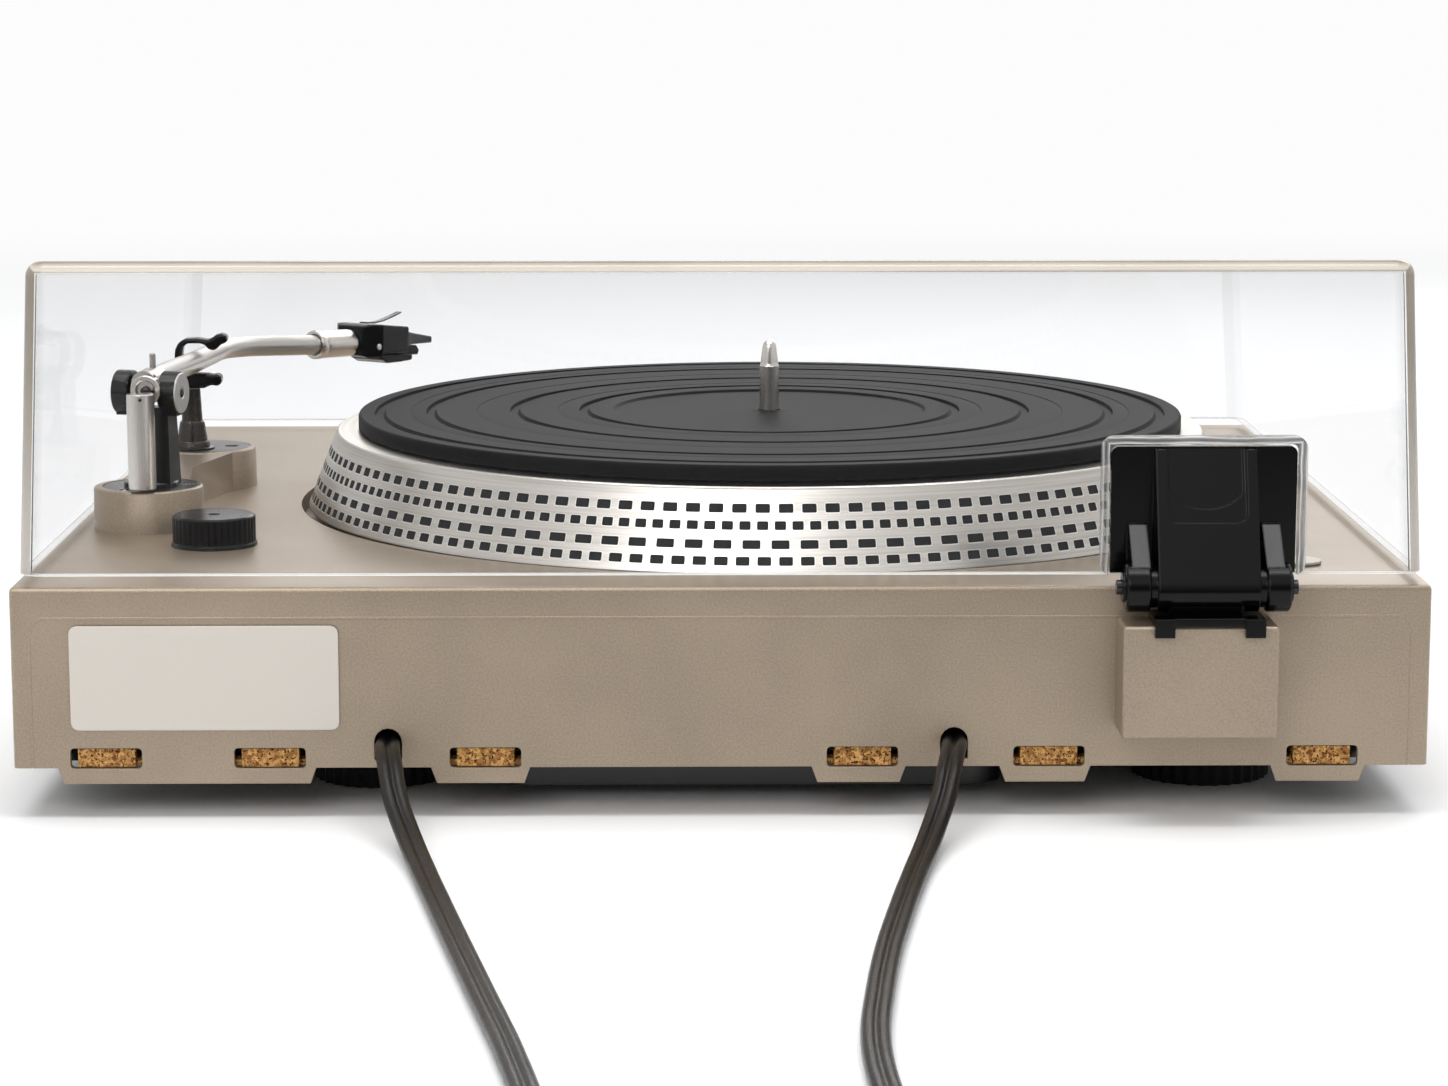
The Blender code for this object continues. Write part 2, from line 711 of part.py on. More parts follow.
def coil_path(centre, outer, turns, start, way, end_height):
    """A coil of two layers: in along the floor, up a layer where the spiral reverses, and out again.

    start is the angle of its first point in degrees, and way is 1 for anticlockwise. The last run leaves
    the coil in line, comes down beside it and ends at end_height.
    """
    first = math.radians(start)
    total = turns * 2 + 0.5
    count = round(total * LOOP_POINTS)
    radius = CORD_DIAMETER / 2
    points = []
    for i in range(count + 1):
        turn = total * i / count
        if turn <= turns:
            reach, climb = outer - COIL_PITCH * turn, 0
        elif turn <= turns + 0.5:
            part = (turn - turns) * 2
            reach = outer - COIL_PITCH * turns - COIL_PITCH * (0.25 - abs(part - 0.5) / 2)
            climb = (1 - math.cos(math.pi * part)) / 2
        else:
            reach, climb = outer - COIL_PITCH * (total - turn), 1
        angle = first + way * math.tau * turn
        points.append(Vector((centre[0] + reach * math.cos(angle), centre[1] + reach * math.sin(angle),
                              radius + COIL_CLIMB * climb)))
    lead = Vector((math.sin(first), -math.cos(first), 0)) * way
    last = first + way * math.tau * total
    away = Vector((-math.sin(last), math.cos(last), 0)) * way
    top = points[-1]
    run = []
    for share in (0.14, 0.26, 0.38, 0.5, 0.62, 0.74, 0.86, 1.0):
        along = COIL_END_RUN * share
        part = min(1, max(0, (along - COIL_DROP_START) / (COIL_DROP_END - COIL_DROP_START)))
        fall = (1 - math.cos(math.pi * part)) / 2
        spot = top + away * along
        spot.z = top.z + (end_height - top.z) * fall
        run.append(spot)
    return [points[0] + lead * CORD_DIAMETER] + points + run, away


def least_gap(points, diameter):
    """The least gap between a coil and its own turns."""
    fine = evenly(points, diameter / 3)
    least = math.inf
    for i, here in enumerate(fine):
        for there in fine[i + 9:]:
            least = min(least, (here - there).length)
    return least - diameter


# Finishes

def paint():
    return finish("warm_grey_paint", (0.35, 0.29, 0.23), 0.45, 0.3)


def label_face():
    return finish("label_face", (0.73, 0.68, 0.62), 0.5)


def cork():
    return finish("cork", (0.5, 0.27, 0.09), 0.9)


def black_plastic():
    return finish("black_plastic", (0.012, 0.012, 0.012), 0.4)


def black_rubber():
    return finish("black_rubber", (0.02, 0.02, 0.02), 0.8)


def clear_plastic():
    return finish("clear_plastic", (0.93, 0.94, 0.94), 0.03, 0.0, 0.25)


def platter_metal():
    return finish("platter_metal", (0.55, 0.53, 0.5), 0.3, 1.0)


def chrome():
    return finish("chrome", (0.75, 0.74, 0.72), 0.08, 1.0)


def steel():
    return finish("steel", (0.5, 0.5, 0.5), 0.35, 1.0)


def brass():
    return finish("brass", (0.7, 0.5, 0.2), 0.3, 1.0)


def magnet():
    return finish("magnet", (0.08, 0.08, 0.09), 0.6)


def board_green():
    return finish("circuit_board", (0.05, 0.2, 0.08), 0.5)


def cord_sheath():
    return finish("cord_sheath", (0.025, 0.025, 0.027), 0.45)


def grey_plate():
    return finish("grey_plate", (0.45, 0.44, 0.42), 0.4, 0.8)


def front_metal():
    return finish("front_metal", (0.3, 0.29, 0.27), 0.35, 0.9)


# Plinth

def top_chassis():
    """The painted shell: top, sides and front in one, with the platter's well and an open back."""
    form = block(around(0, HALF_WIDTH), (FRONT_Y, BACK_Y), (FLOOR_DROP, TOP_Z))
    low = FLOOR_DROP + EDGE_ROUND
    edges = [edge for edge in form.edges if all(v.co.z > low for v in edge.verts)
             or edge.verts[0].co.z != edge.verts[1].co.z]
    bmesh.ops.bevel(form, geom=edges, offset=EDGE_ROUND, segments=2, profile=0.5, affect="EDGES")
    piece = make("top_chassis", form, paint())
    inside = HALF_WIDTH - WALL
    floor = FLOOR_DROP - OVERRUN
    cut(piece, block(around(0, inside), (FRONT_Y + WALL, inward(WALL)), (floor, above(-TOP_THICKNESS))),
        "cut_cavity")
    outline = rounded(around(0, inside), (above(-BACK_OPENING_DROP), floor - BACK_OPENING_ROUND),
                      BACK_OPENING_ROUND)
    cut(piece, slab(outline, -BACK_Y - OVERRUN, -inward(WALL + OVERRUN), ALONG_Y), "cut_back_opening")
    centre = Vector((PLATTER_X, PLATTER_Y, 0))
    join(piece, rod(WELL_RADIUS + WELL_WALL, WELL_FLOOR_Z - WELL_WALL, above(-TOP_THICKNESS / 2), 72, centre),
         "join_well")
    cut(piece, rod(WELL_RADIUS, WELL_FLOOR_Z, above(OVERRUN), 96, centre), "cut_well")
    sleeve = SHAFT_RADIUS + RUNNING_GAP + SLEEVE_WALL + GAP
    below = WELL_FLOOR_Z - WELL_WALL - OVERRUN
    cut(piece, rod(sleeve, below, above(0), 32, centre), "cut_bearing_hole")
    through = above(-TOP_THICKNESS - OVERRUN)
    cut(piece, rod(ARM_SHAFT_RADIUS + GAP, through, above(OVERRUN), 20, POD), "cut_arm_hole")
    knob = Vector((KNOB_X, inward(KNOB_INWARD), 0))
    cut(piece, rod(KNOB_SHAFT_RADIUS + GAP, through, above(OVERRUN), 16, knob), "cut_knob_hole")
    for index, x in enumerate(KEY_XS):
        cut(piece, block(around(x, KEY_WIDTH / 2 + GAP), (FRONT_Y - OVERRUN, FRONT_Y + WALL + OVERRUN),
                         around(above(-FRONT_PANEL_DROP), KEY_HEIGHT / 2 + GAP)), f"cut_key_{index}")
    pitch = Vector((PITCH_KNOB_X, 0, above(-FRONT_PANEL_DROP)))
    cut(piece, rod(PITCH_SHAFT_RADIUS + GAP, -FRONT_Y - WALL - OVERRUN, -FRONT_Y + OVERRUN, 16, pitch, ALONG_Y),
        "cut_pitch_hole")


def panel_outline():
    """The back panel's edge: round top corners, and tabs along the bottom."""
    half = HALF_WIDTH - WALL - GAP
    top = above(-BACK_OPENING_DROP - GAP)
    low = FLOOR_DROP
    points = arc((half - BACK_OPENING_ROUND, top - BACK_OPENING_ROUND), BACK_OPENING_ROUND, 0, 90, 4)
    points += arc((BACK_OPENING_ROUND - half, top - BACK_OPENING_ROUND), BACK_OPENING_ROUND, 90, 180, 4)
    points.append((-half, low))
    for high_share, low_share in reversed(TAB_SPAN_SHARES):
        start, end = low_share * HALF_WIDTH, high_share * HALF_WIDTH
        points += [(start, low), (start + TAB_TAPER, low - TAB_DROP)]
        points += [(end - TAB_TAPER, low - TAB_DROP), (end, low)]
    points.append((half, low))
    return points


def back_panel():
    """A pressed plate that closes the back, with slots for the corks and arched holes for the leads."""
    plate = slab(panel_outline(), -BACK_Y, -inward(PANEL_THICKNESS), ALONG_Y)
    piece = make("back_panel", plate, paint())
    span = (-BACK_Y - OVERRUN, -inward(PANEL_THICKNESS + OVERRUN))
    for index, share in enumerate(SLOT_SHARES):
        zs = around(above(-SLOT_DROP), SLOT_HEIGHT / 2)
        hole = rounded(around(share * HALF_WIDTH, SLOT_WIDTH / 2), zs, SLOT_ROUND)
        cut(piece, slab(hole, *span, ALONG_Y), f"cut_slot_{index}")
    radius = CABLE_HOLE_WIDTH / 2
    for index, share in enumerate(CABLE_HOLE_SHARES):
        x = share * HALF_WIDTH
        low = above(-CABLE_HOLE_DROP)
        hole = arc((x, low + CABLE_HOLE_HEIGHT - radius), radius, 0, 180, 8)
        hole += [(x - radius, low), (x + radius, low)]
        cut(piece, slab(hole, *span, ALONG_Y), f"cut_lead_hole_{index}")


def label_plate():
    zs = around(above(-LABEL_DROP), LABEL_HEIGHT / 2)
    outline = rounded(around(LABEL_X, LABEL_WIDTH / 2), zs, LABEL_ROUND)
    face = BACK_Y + GAP
    make("label_plate", slab(outline, -face - LABEL_THICKNESS, -face, ALONG_Y), label_face())


def cork_strip():
    """One strip of cork behind the back panel, with a block that fills each slot."""
    low = above(-SLOT_DROP) - SLOT_HEIGHT / 2 + GAP
    back = inward(CORK_INSET + CORK_DEPTH)
    ends = [share * HALF_WIDTH for share in (max(SLOT_SHARES), min(SLOT_SHARES))]
    xs = (ends[1] - CORK_WIDTH / 2, ends[0] + CORK_WIDTH / 2)
    strip = block(xs, (back, inward(PANEL_THICKNESS + GAP)), (low, low + CORK_BASE))
    piece = make("cork_strip", strip, cork())
    blocks = bmesh.new()
    for share in SLOT_SHARES:
        box(blocks, around(share * HALF_WIDTH, CORK_WIDTH / 2), (back - GAP, inward(CORK_INSET)),
            (low, above(-SLOT_DROP) + SLOT_HEIGHT / 2 - GAP))
    join(piece, blocks, "join_cork_blocks")


def foot_places():
    """Where each foot stands. Left and right are as seen from the back."""
    rear = inward(FOOT_REAR_INWARD)
    front = FRONT_Y + FOOT_FROM_FRONT
    front_x = HALF_WIDTH - FOOT_FRONT_FROM_SIDE
    return {"foot_rear_right": (FOOT_REAR_RIGHT_FROM_SIDE - HALF_WIDTH, rear),
            "foot_rear_left": (HALF_WIDTH - FOOT_REAR_LEFT_FROM_SIDE, rear),
            "foot_front_right": (-front_x, front), "foot_front_left": (front_x, front)}


def bottom_cover():
    """A flat board inside the walls, with a pressed pan under its middle."""
    half = HALF_WIDTH - WALL - GAP
    board = block(around(0, half), (FRONT_Y + WALL + GAP, inward(BOARD_BACK_INSET)), (BOARD_LOW, BOARD_TOP))
    piece = make("bottom_cover", board, black_plastic())
    xs = (PAN_LOW_X, PAN_HIGH_X)
    ys = (FRONT_Y + PAN_FROM_FRONT, inward(PAN_INWARD))
    low = BOARD_LOW - PAN_DROP
    pan = rounded(xs, ys, PAN_ROUND)
    join(piece, slab(pan, low, BOARD_LOW + BOARD_THICKNESS / 2), "join_pan")
    hollow = rounded((xs[0] + PAN_WALL, xs[1] - PAN_WALL), (ys[0] + PAN_WALL, ys[1] - PAN_WALL),
                     PAN_ROUND - PAN_WALL)
    cut(piece, slab(hollow, low + PAN_WALL, BOARD_TOP + OVERRUN), "cut_pan")
    for name, (x, y) in foot_places().items():
        hole = rod(FOOT_STUD_RADIUS + GAP, BOARD_LOW - OVERRUN, BOARD_TOP + OVERRUN, 16, Vector((x, y, 0)))
        cut(piece, hole, "cut_" + name)


def feet():
    """Four ribbed feet, each on a stud that turns in the board."""
    rubber = black_rubber()
    top = BOARD_LOW - GAP
    for name, (x, y) in foot_places().items():
        place = Vector((x, y, 0))
        form = slab(ribbed(FOOT_RADIUS, FOOT_RIB_DEPTH, FOOT_RIBS), 0, top, ALONG_Z, place)
        piece = make(name, form, rubber, joint_axis(name + "_axis", place))
        join(piece, rod(FOOT_STUD_RADIUS, top / 2, top + FOOT_STUD_RISE, 16, place), "join_" + name)


# Hinge and cover

def hinge_housing():
    form = block(around(BLOCK_X, BLOCK_WIDTH / 2), (BACK_Y + GAP, BACK_Y + BLOCK_DEPTH),
                 (above(-BLOCK_TOP_DROP - BLOCK_HEIGHT), above(-BLOCK_TOP_DROP)))
    bmesh.ops.bevel(form, geom=list(form.edges), offset=EDGE_ROUND / 2, segments=1, affect="EDGES")
    make("hinge_housing", form, paint())


def hinge_base():
    """The fixed half of the hinge: a saddle on the housing, claws over its edge, and the knuckle."""
    low = above(-BLOCK_TOP_DROP) + GAP
    saddle_top = low + SADDLE_THICKNESS
    back = BACK_Y + BLOCK_DEPTH + GAP
    ys = (BACK_Y + NECK_INNER_OUT, back + CLAW_THICKNESS / 2)
    piece = make("hinge_base", block(around(HINGE_X, SADDLE_HALF), ys, (low, saddle_top)), black_plastic())
    for side in (-1, 1):
        edge = HINGE_X + side * SADDLE_HALF
        xs = sorted((edge, edge - side * CLAW_WIDTH))
        join(piece, block(xs, (back, back + CLAW_THICKNESS), (low - CLAW_DROP, saddle_top)),
             "join_claw_right" if side < 0 else "join_claw_left")
    join(piece, block(around(HINGE_X, NECK_HALF), (BACK_Y + NECK_INNER_OUT, BACK_Y + NECK_OUTER_OUT),
                      (low + SADDLE_THICKNESS / 2, HINGE_AXIS.z)), "join_neck")
    join(piece, rod(KNUCKLE_RADIUS, -NECK_HALF + GAP, NECK_HALF - GAP, 24, HINGE_AXIS, ALONG_X),
         "join_knuckle")
    cut(piece, rod(PIN_RADIUS + RUNNING_GAP, -SADDLE_HALF, SADDLE_HALF, 20, HINGE_AXIS, ALONG_X),
        "cut_pin_bore")


def hinge_pin():
    make("hinge_pin", rod(PIN_RADIUS, -PIN_HALF, PIN_HALF, 20, HINGE_AXIS, ALONG_X), steel())


def bracket_side():
    """The moving bracket's side shape, as (distance out from the back, height above the top)."""
    axis_out, axis_rise = HINGE_AXIS_OUT, HINGE_AXIS_RISE
    points = [(PLATE_OUTER_OUT, BRACKET_TOP_RISE), (BRACKET_TOP_OUT, BRACKET_TOP_RISE)]
    points.append((BRACKET_FOOT_OUT, axis_rise + CHEEK_RADIUS / 3))
    points += arc((axis_out, axis_rise), CHEEK_RADIUS, 0, -180, 10)
    points.append((PLATE_OUTER_OUT, axis_rise + CHEEK_RADIUS))
    return points


def hinge_arm(axis):
    """The moving half: a plate in the cover's pocket, a scooped bracket, slanted lugs and the end discs."""
    form = block(around(HINGE_X, PLATE_HALF), (BACK_Y + PLATE_INNER_OUT, BACK_Y + PLATE_OUTER_OUT),
                 (above(PLATE_LOW_RISE), above(PLATE_TOP_RISE)))
    upright = [edge for edge in form.edges
               if edge.verts[0].co.y != edge.verts[1].co.y and edge.verts[0].co.z > above(PLATE_TOP_RISE / 2)]
    bmesh.ops.bevel(form, geom=upright, offset=POCKET_RIM * 2, segments=3, profile=0.5, affect="EDGES")
    piece = make("hinge_arm", form, black_plastic(), axis)
    # The basis maps (out, rise, along) to (along, out, rise), so each side shape is pushed along X.
    place = Vector((HINGE_X, BACK_Y, TOP_Z))
    side = [(out - (PLATE_OUTER_OUT - PLATE_INNER_OUT) / 2 if out == PLATE_OUTER_OUT else out, rise)
            for out, rise in bracket_side()]
    join(piece, slab(side, -BRACKET_HALF, BRACKET_HALF, ALONG_X, place), "join_bracket")
    out, rise = HINGE_AXIS_OUT, HINGE_AXIS_RISE
    for sign, word in ((-1, "right"), (1, "left")):
        ends = sorted((sign * (BRACKET_HALF - RAIL_WIDTH), sign * DISC_OUTER))
        join(piece, rod(DISC_RADIUS, *ends, 28, HINGE_AXIS, ALONG_X), "join_disc_" + word)
        lug = [(PLATE_INNER_OUT / 2, SCOOP_LOW_RISE), (PLATE_OUTER_OUT * 4, SCOOP_LOW_RISE),
               (out + DISC_RADIUS / 2, rise + DISC_RADIUS * 0.8), (out, rise),
               (PLATE_INNER_OUT / 2, rise + DISC_RADIUS)]
        ends = sorted((sign * LUG_INNER, sign * LUG_OUTER))
        join(piece, slab(lug, *ends, ALONG_X, place), "join_lug_" + word)
    inner = BRACKET_HALF - RAIL_WIDTH
    scoop = [(BRACKET_TOP_OUT - SCOOP_DEPTH / 2, BRACKET_TOP_RISE + OVERRUN),
             (BRACKET_TOP_OUT - SCOOP_DEPTH / 2, SCOOP_LOW_RISE + SCOOP_DEPTH * 2)]
    scoop += [(BRACKET_TOP_OUT + SCOOP_DEPTH, SCOOP_LOW_RISE), (BRACKET_FOOT_OUT + OVERRUN, SCOOP_LOW_RISE),
              (BRACKET_FOOT_OUT + OVERRUN, BRACKET_TOP_RISE + OVERRUN)]
    cut(piece, slab(scoop, -inner, inner, ALONG_X, place), "cut_scoop")
    room = KNUCKLE_RADIUS + GAP * 2
    cut(piece, rod(room, -CHEEK_INNER, CHEEK_INNER, 24, HINGE_AXIS, ALONG_X), "cut_knuckle_room")
    under = [(PLATE_OUTER_OUT + GAP * 2, rise + BRACKET_SKIN), (PLATE_OUTER_OUT + GAP * 2, rise - OVERRUN * 2),
             (out + CHEEK_RADIUS * 0.8, rise - OVERRUN * 2), (out + room, rise + BRACKET_LIP_RISE),
             (out + room, rise + BRACKET_SKIN)]
    cut(piece, slab(under, -CHEEK_INNER, CHEEK_INNER, ALONG_X, place), "cut_under")
    reach = DISC_OUTER + OVERRUN
    cut(piece, rod(PIN_RADIUS + RUNNING_GAP, -reach, reach, 20, HINGE_AXIS, ALONG_X), "cut_arm_bore")


def cover_ring(half, back, front, rise_back, rise_front, inset):
    """Corner places of the cover's outer skin at one level."""
    near, far = inward(back + inset), inward(front - inset)
    side = half - inset
    return [(-side, far, above(rise_front)), (side, far, above(rise_front)),
            (side, near, above(rise_back)), (-side, near, above(rise_back))]


def cover_shell(inset, low_rise, drop):
    """A wedge-shaped hood, closed underneath."""
    form = bmesh.new()
    low = cover_ring(COVER_HALF_LOW, COVER_BACK_LOW, COVER_FRONT_LOW, low_rise, low_rise, inset)
    top = cover_ring(COVER_HALF_TOP, COVER_BACK_TOP, COVER_FRONT_TOP, COVER_BACK_RISE - drop,
                     COVER_FRONT_RISE - drop, inset)
    rows = [[form.verts.new(point) for point in ring] for ring in (low, top)]
    form.faces.new(rows[0])
    form.faces.new(rows[1])
    for i in range(4):
        j = (i + 1) % 4
        form.faces.new((rows[0][i], rows[0][j], rows[1][j], rows[1][i]))
    upright = [edge for edge in form.edges if (edge.verts[0] in rows[0]) != (edge.verts[1] in rows[0])]
    bmesh.ops.bevel(form, geom=upright, offset=COVER_ROUND - inset, segments=3, profile=0.5, affect="EDGES")
    rim = [edge for edge in form.edges if all(v.co.z > above(COVER_FRONT_RISE / 2) for v in edge.verts)
           and len(edge.link_faces) == 2 and any(abs(face.normal.z) > 0.9 for face in edge.link_faces)]
    if inset == 0:
        bmesh.ops.bevel(form, geom=rim, offset=COVER_TOP_ROUND, segments=2, profile=0.5, affect="EDGES")
    return form


def dust_cover(axis):
    """The clear hood, with the moulded rim of the hinge's pocket on its back wall."""
    piece = make("dust_cover", cover_shell(0, COVER_LIFT, 0), clear_plastic(), axis)
    low = above(COVER_LIFT)
    xs = around(HINGE_X, POCKET_HALF)
    ends = (-BACK_Y - POCKET_OUT, -inward(COVER_BACK_TOP))
    outer = rounded(xs, (low, above(POCKET_RISE)), POCKET_RIM * 2)
    join(piece, slab(outer, *ends, ALONG_Y), "join_pocket")
    cut(piece, cover_shell(COVER_THICKNESS, COVER_LIFT - OVERRUN, COVER_THICKNESS), "cut_hollow")
    inner = rounded(around(HINGE_X, POCKET_HALF - POCKET_RIM),
                    (low - OVERRUN, above(POCKET_RISE - POCKET_RIM)), POCKET_RIM)
    floor = BACK_Y + PLATE_INNER_OUT - GAP
    cut(piece, slab(inner, -BACK_Y - POCKET_OUT - OVERRUN, -floor, ALONG_Y), "cut_pocket")


# Platter and motor

def platter(axis):
    """A turned aluminium platter with a wide sloping skirt."""
    bore = SPINDLE_RADIUS + GAP
    under = PLATTER_LEDGE_RISE - PLATTER_SKIN
    profile = ((bore, above(under)), (PLATTER_LIP_RADIUS - PLATTER_SKIN, above(under)),
               (PLATTER_RIM_RADIUS - PLATTER_SKIN, above(PLATTER_FOOT_RISE)),
               (PLATTER_RIM_RADIUS, above(PLATTER_FOOT_RISE)),
               (PLATTER_LIP_RADIUS + GAP, above(PLATTER_LEDGE_RISE - GAP)),
               (PLATTER_LIP_RADIUS - GAP, above(PLATTER_LEDGE_RISE)), (bore, above(PLATTER_LEDGE_RISE)))
    make("platter", lathe(profile, 96, Vector((PLATTER_X, PLATTER_Y, 0))), platter_metal(), axis)


def platter_mat(axis):
    """A rubber mat with stepped rings."""
    low, top = above(PLATTER_LEDGE_RISE + GAP), above(MAT_TOP_RISE)
    step = top - MAT_STEP
    grooves = [share * MAT_RADIUS for share in MAT_GROOVE_SHARES]
    profile = [(SPINDLE_RADIUS + GAP, low), (MAT_RADIUS, low), (MAT_RADIUS, top - MAT_EDGE_ROUND),
               (MAT_RADIUS - MAT_EDGE_ROUND, top)]
    for outer, inner in (grooves[:2], grooves[2:]):
        profile += [(outer, top), (outer, step), (inner, step), (inner, top)]
    profile.append((SPINDLE_RADIUS + GAP, top))
    make("platter_mat", lathe(profile, 64, Vector((PLATTER_X, PLATTER_Y, 0))), black_rubber(), axis)


def spindle(axis):
    """The centre spindle, with the flange that carries the platter and the shaft below it."""
    seat = above(PLATTER_LEDGE_RISE - PLATTER_SKIN - GAP)
    top = above(SPINDLE_RISE)
    foot = above(-SHAFT_DEPTH)
    under = seat - FLANGE_THICKNESS
    profile = ((0, foot), (SHAFT_RADIUS, foot), (SHAFT_RADIUS, under),
               (FLANGE_RADIUS, under), (FLANGE_RADIUS, seat), (SPINDLE_RADIUS, seat),
               (SPINDLE_RADIUS, top - SPINDLE_TAPER), (SPINDLE_TIP_RADIUS, top - SPINDLE_TIP_RADIUS),
               (SPINDLE_TIP_RADIUS * 0.7, top - SPINDLE_TIP_RADIUS * 0.3), (0, top))
    make("spindle", lathe(profile, 24, Vector((PLATTER_X, PLATTER_Y, 0))), steel(), axis)


def rotor_magnet(axis):
    top = above(PLATTER_LEDGE_RISE - PLATTER_SKIN - GAP)
    low = top - ROTOR_HEIGHT
    profile = ((ROTOR_INNER, low), (ROTOR_OUTER, low), (ROTOR_OUTER, top), (ROTOR_INNER, top))
    make("rotor_magnet", lathe(profile, 40, Vector((PLATTER_X, PLATTER_Y, 0))), magnet(), axis)


def bearing_sleeve():
    """A brass cup that carries the spindle's shaft, hung by its flange on the well's floor."""
    bore = SHAFT_RADIUS + RUNNING_GAP
    outer = bore + SLEEVE_WALL
    seat = WELL_FLOOR_Z + GAP
    floor = above(-SHAFT_DEPTH) - GAP
    top = seat + SLEEVE_FLANGE_THICKNESS
    profile = ((0, floor - SLEEVE_WALL), (outer, floor - SLEEVE_WALL), (outer, seat), (SLEEVE_FLANGE_RADIUS, seat),
               (SLEEVE_FLANGE_RADIUS, top), (bore, top), (bore, floor), (0, floor))
    make("bearing_sleeve", lathe(profile, 32, Vector((PLATTER_X, PLATTER_Y, 0))), brass())


def motor_stator():
    """The toothed stator of the direct drive motor."""
    outline = []
    step = 360 / STATOR_TEETH
    for tooth in range(STATOR_TEETH):
        start = tooth * step
        outline += arc((0, 0), STATOR_RADIUS, start, start + step * 0.6, 2)
        outline += arc((0, 0), STATOR_HUB, start + step * 0.7, start + step * 0.9, 1)
    low = WELL_FLOOR_Z + GAP
    centre = Vector((PLATTER_X, PLATTER_Y, 0))
    piece = make("motor_stator", slab(outline, low, low + STATOR_HEIGHT, ALONG_Z, centre), steel())
    cut(piece, rod(SLEEVE_FLANGE_RADIUS + GAP, low - OVERRUN, low + STATOR_HEIGHT + OVERRUN, 28, centre),
        "cut_stator_bore")


# Tonearm

def pods_outline():
    """Two round pods joined by a narrower web."""
    along = REST_POD - POD
    heading = math.degrees(math.atan2(along.y, along.x))
    near = math.degrees(math.asin(WEB_HALF / POD_RADIUS))
    far = math.degrees(math.asin(WEB_HALF / REST_POD_RADIUS))
    points = arc(POD.xy, POD_RADIUS, heading + near, heading + 360 - near, 26)
    points += arc(REST_POD.xy, REST_POD_RADIUS, heading + 180 + far, heading + 540 - far, 26)
    return points


def arm_base():
    form = slab(pods_outline(), TOP_Z + GAP, above(POD_HEIGHT))
    top = [edge for edge in form.edges if all(v.co.z > above(POD_HEIGHT / 2) for v in edge.verts)]
    bmesh.ops.bevel(form, geom=top, offset=POD_ROUND, segments=1, affect="EDGES")
    piece = make("arm_base", form, paint())
    floor = above(POD_HEIGHT - POD_PLATE_THICKNESS - GAP)
    cut(piece, rod(POD_PLATE_RADIUS + GAP, floor, above(POD_HEIGHT + OVERRUN), 32, POD), "cut_pod_seat")
    cut(piece, rod(ARM_SHAFT_RADIUS + GAP, TOP_Z - OVERRUN, above(POD_HEIGHT + OVERRUN), 20, POD),
        "cut_pod_bore")
    floor = above(POD_HEIGHT - REST_PLATE_THICKNESS - GAP)
    cut(piece, rod(REST_PLATE_RADIUS + GAP, floor, above(POD_HEIGHT + OVERRUN), 32, REST_POD),
        "cut_rest_seat")


def screw_places():
    return [Vector((POD.x + SCREW_CIRCLE * math.cos(math.radians(angle)),
                    POD.y + SCREW_CIRCLE * math.sin(math.radians(angle)), 0)) for angle in SCREW_ANGLES]


def pod_plate():
    """The black disc in the top of the rear pod."""
    low, top = above(POD_HEIGHT - POD_PLATE_THICKNESS), above(POD_HEIGHT)
    piece = make("pod_plate", rod(POD_PLATE_RADIUS, low, top, 32, POD), black_plastic())
    cut(piece, rod(ARM_SHAFT_RADIUS + GAP, low - OVERRUN, top + OVERRUN, 20, POD), "cut_plate_bore")
    for index, place in enumerate(screw_places()):
        cut(piece, rod(SCREW_RADIUS + GAP, low - OVERRUN, top + OVERRUN, 14, place),
            f"cut_plate_screw_{index}")


def rest_plate():
    """The light grey disc in the top of the front pod, with its slot."""
    low, top = above(POD_HEIGHT - REST_PLATE_THICKNESS), above(POD_HEIGHT)
    piece = make("rest_plate", rod(REST_PLATE_RADIUS, low, top, 32, REST_POD), grey_plate())
    x = REST_POD.x - REST_PLATE_RADIUS * 0.6
    cut(piece, block(around(x, REST_SLOT_WIDTH / 2), around(REST_POD.y, REST_SLOT_WIDTH / 4),
                     (low - OVERRUN, top + OVERRUN)), "cut_rest_slot")


def rest_pillar():
    low = above(POD_HEIGHT) + GAP
    shoulder = low + REST_FLANGE_THICKNESS
    profile = ((0, low), (REST_FLANGE_RADIUS, low), (REST_FLANGE_RADIUS, shoulder), (REST_FOOT_RADIUS, shoulder),
               (REST_TOP_RADIUS, above(REST_PILLAR_TOP)), (0, above(REST_PILLAR_TOP)))
    make("rest_pillar", lathe(profile, 20, REST), black_plastic())


def tube_frame():
    """A frame whose Y follows the tube's rear leg down towards the headshell."""
    origin = Vector((POD.x, POD.y, above(TUBE_RISE)))
    return arm_frame(origin, TUBE_HEADING) @ Matrix.Rotation(-math.radians(TUBE_FALL), 4, "X")


def shell_frame():
    """The like frame for the leg after the bend."""
    corner = tube_frame() @ Vector((0, TUBE_LEG, 0))
    return arm_frame(corner, SHELL_HEADING) @ Matrix.Rotation(-math.radians(SHELL_FALL), 4, "X")


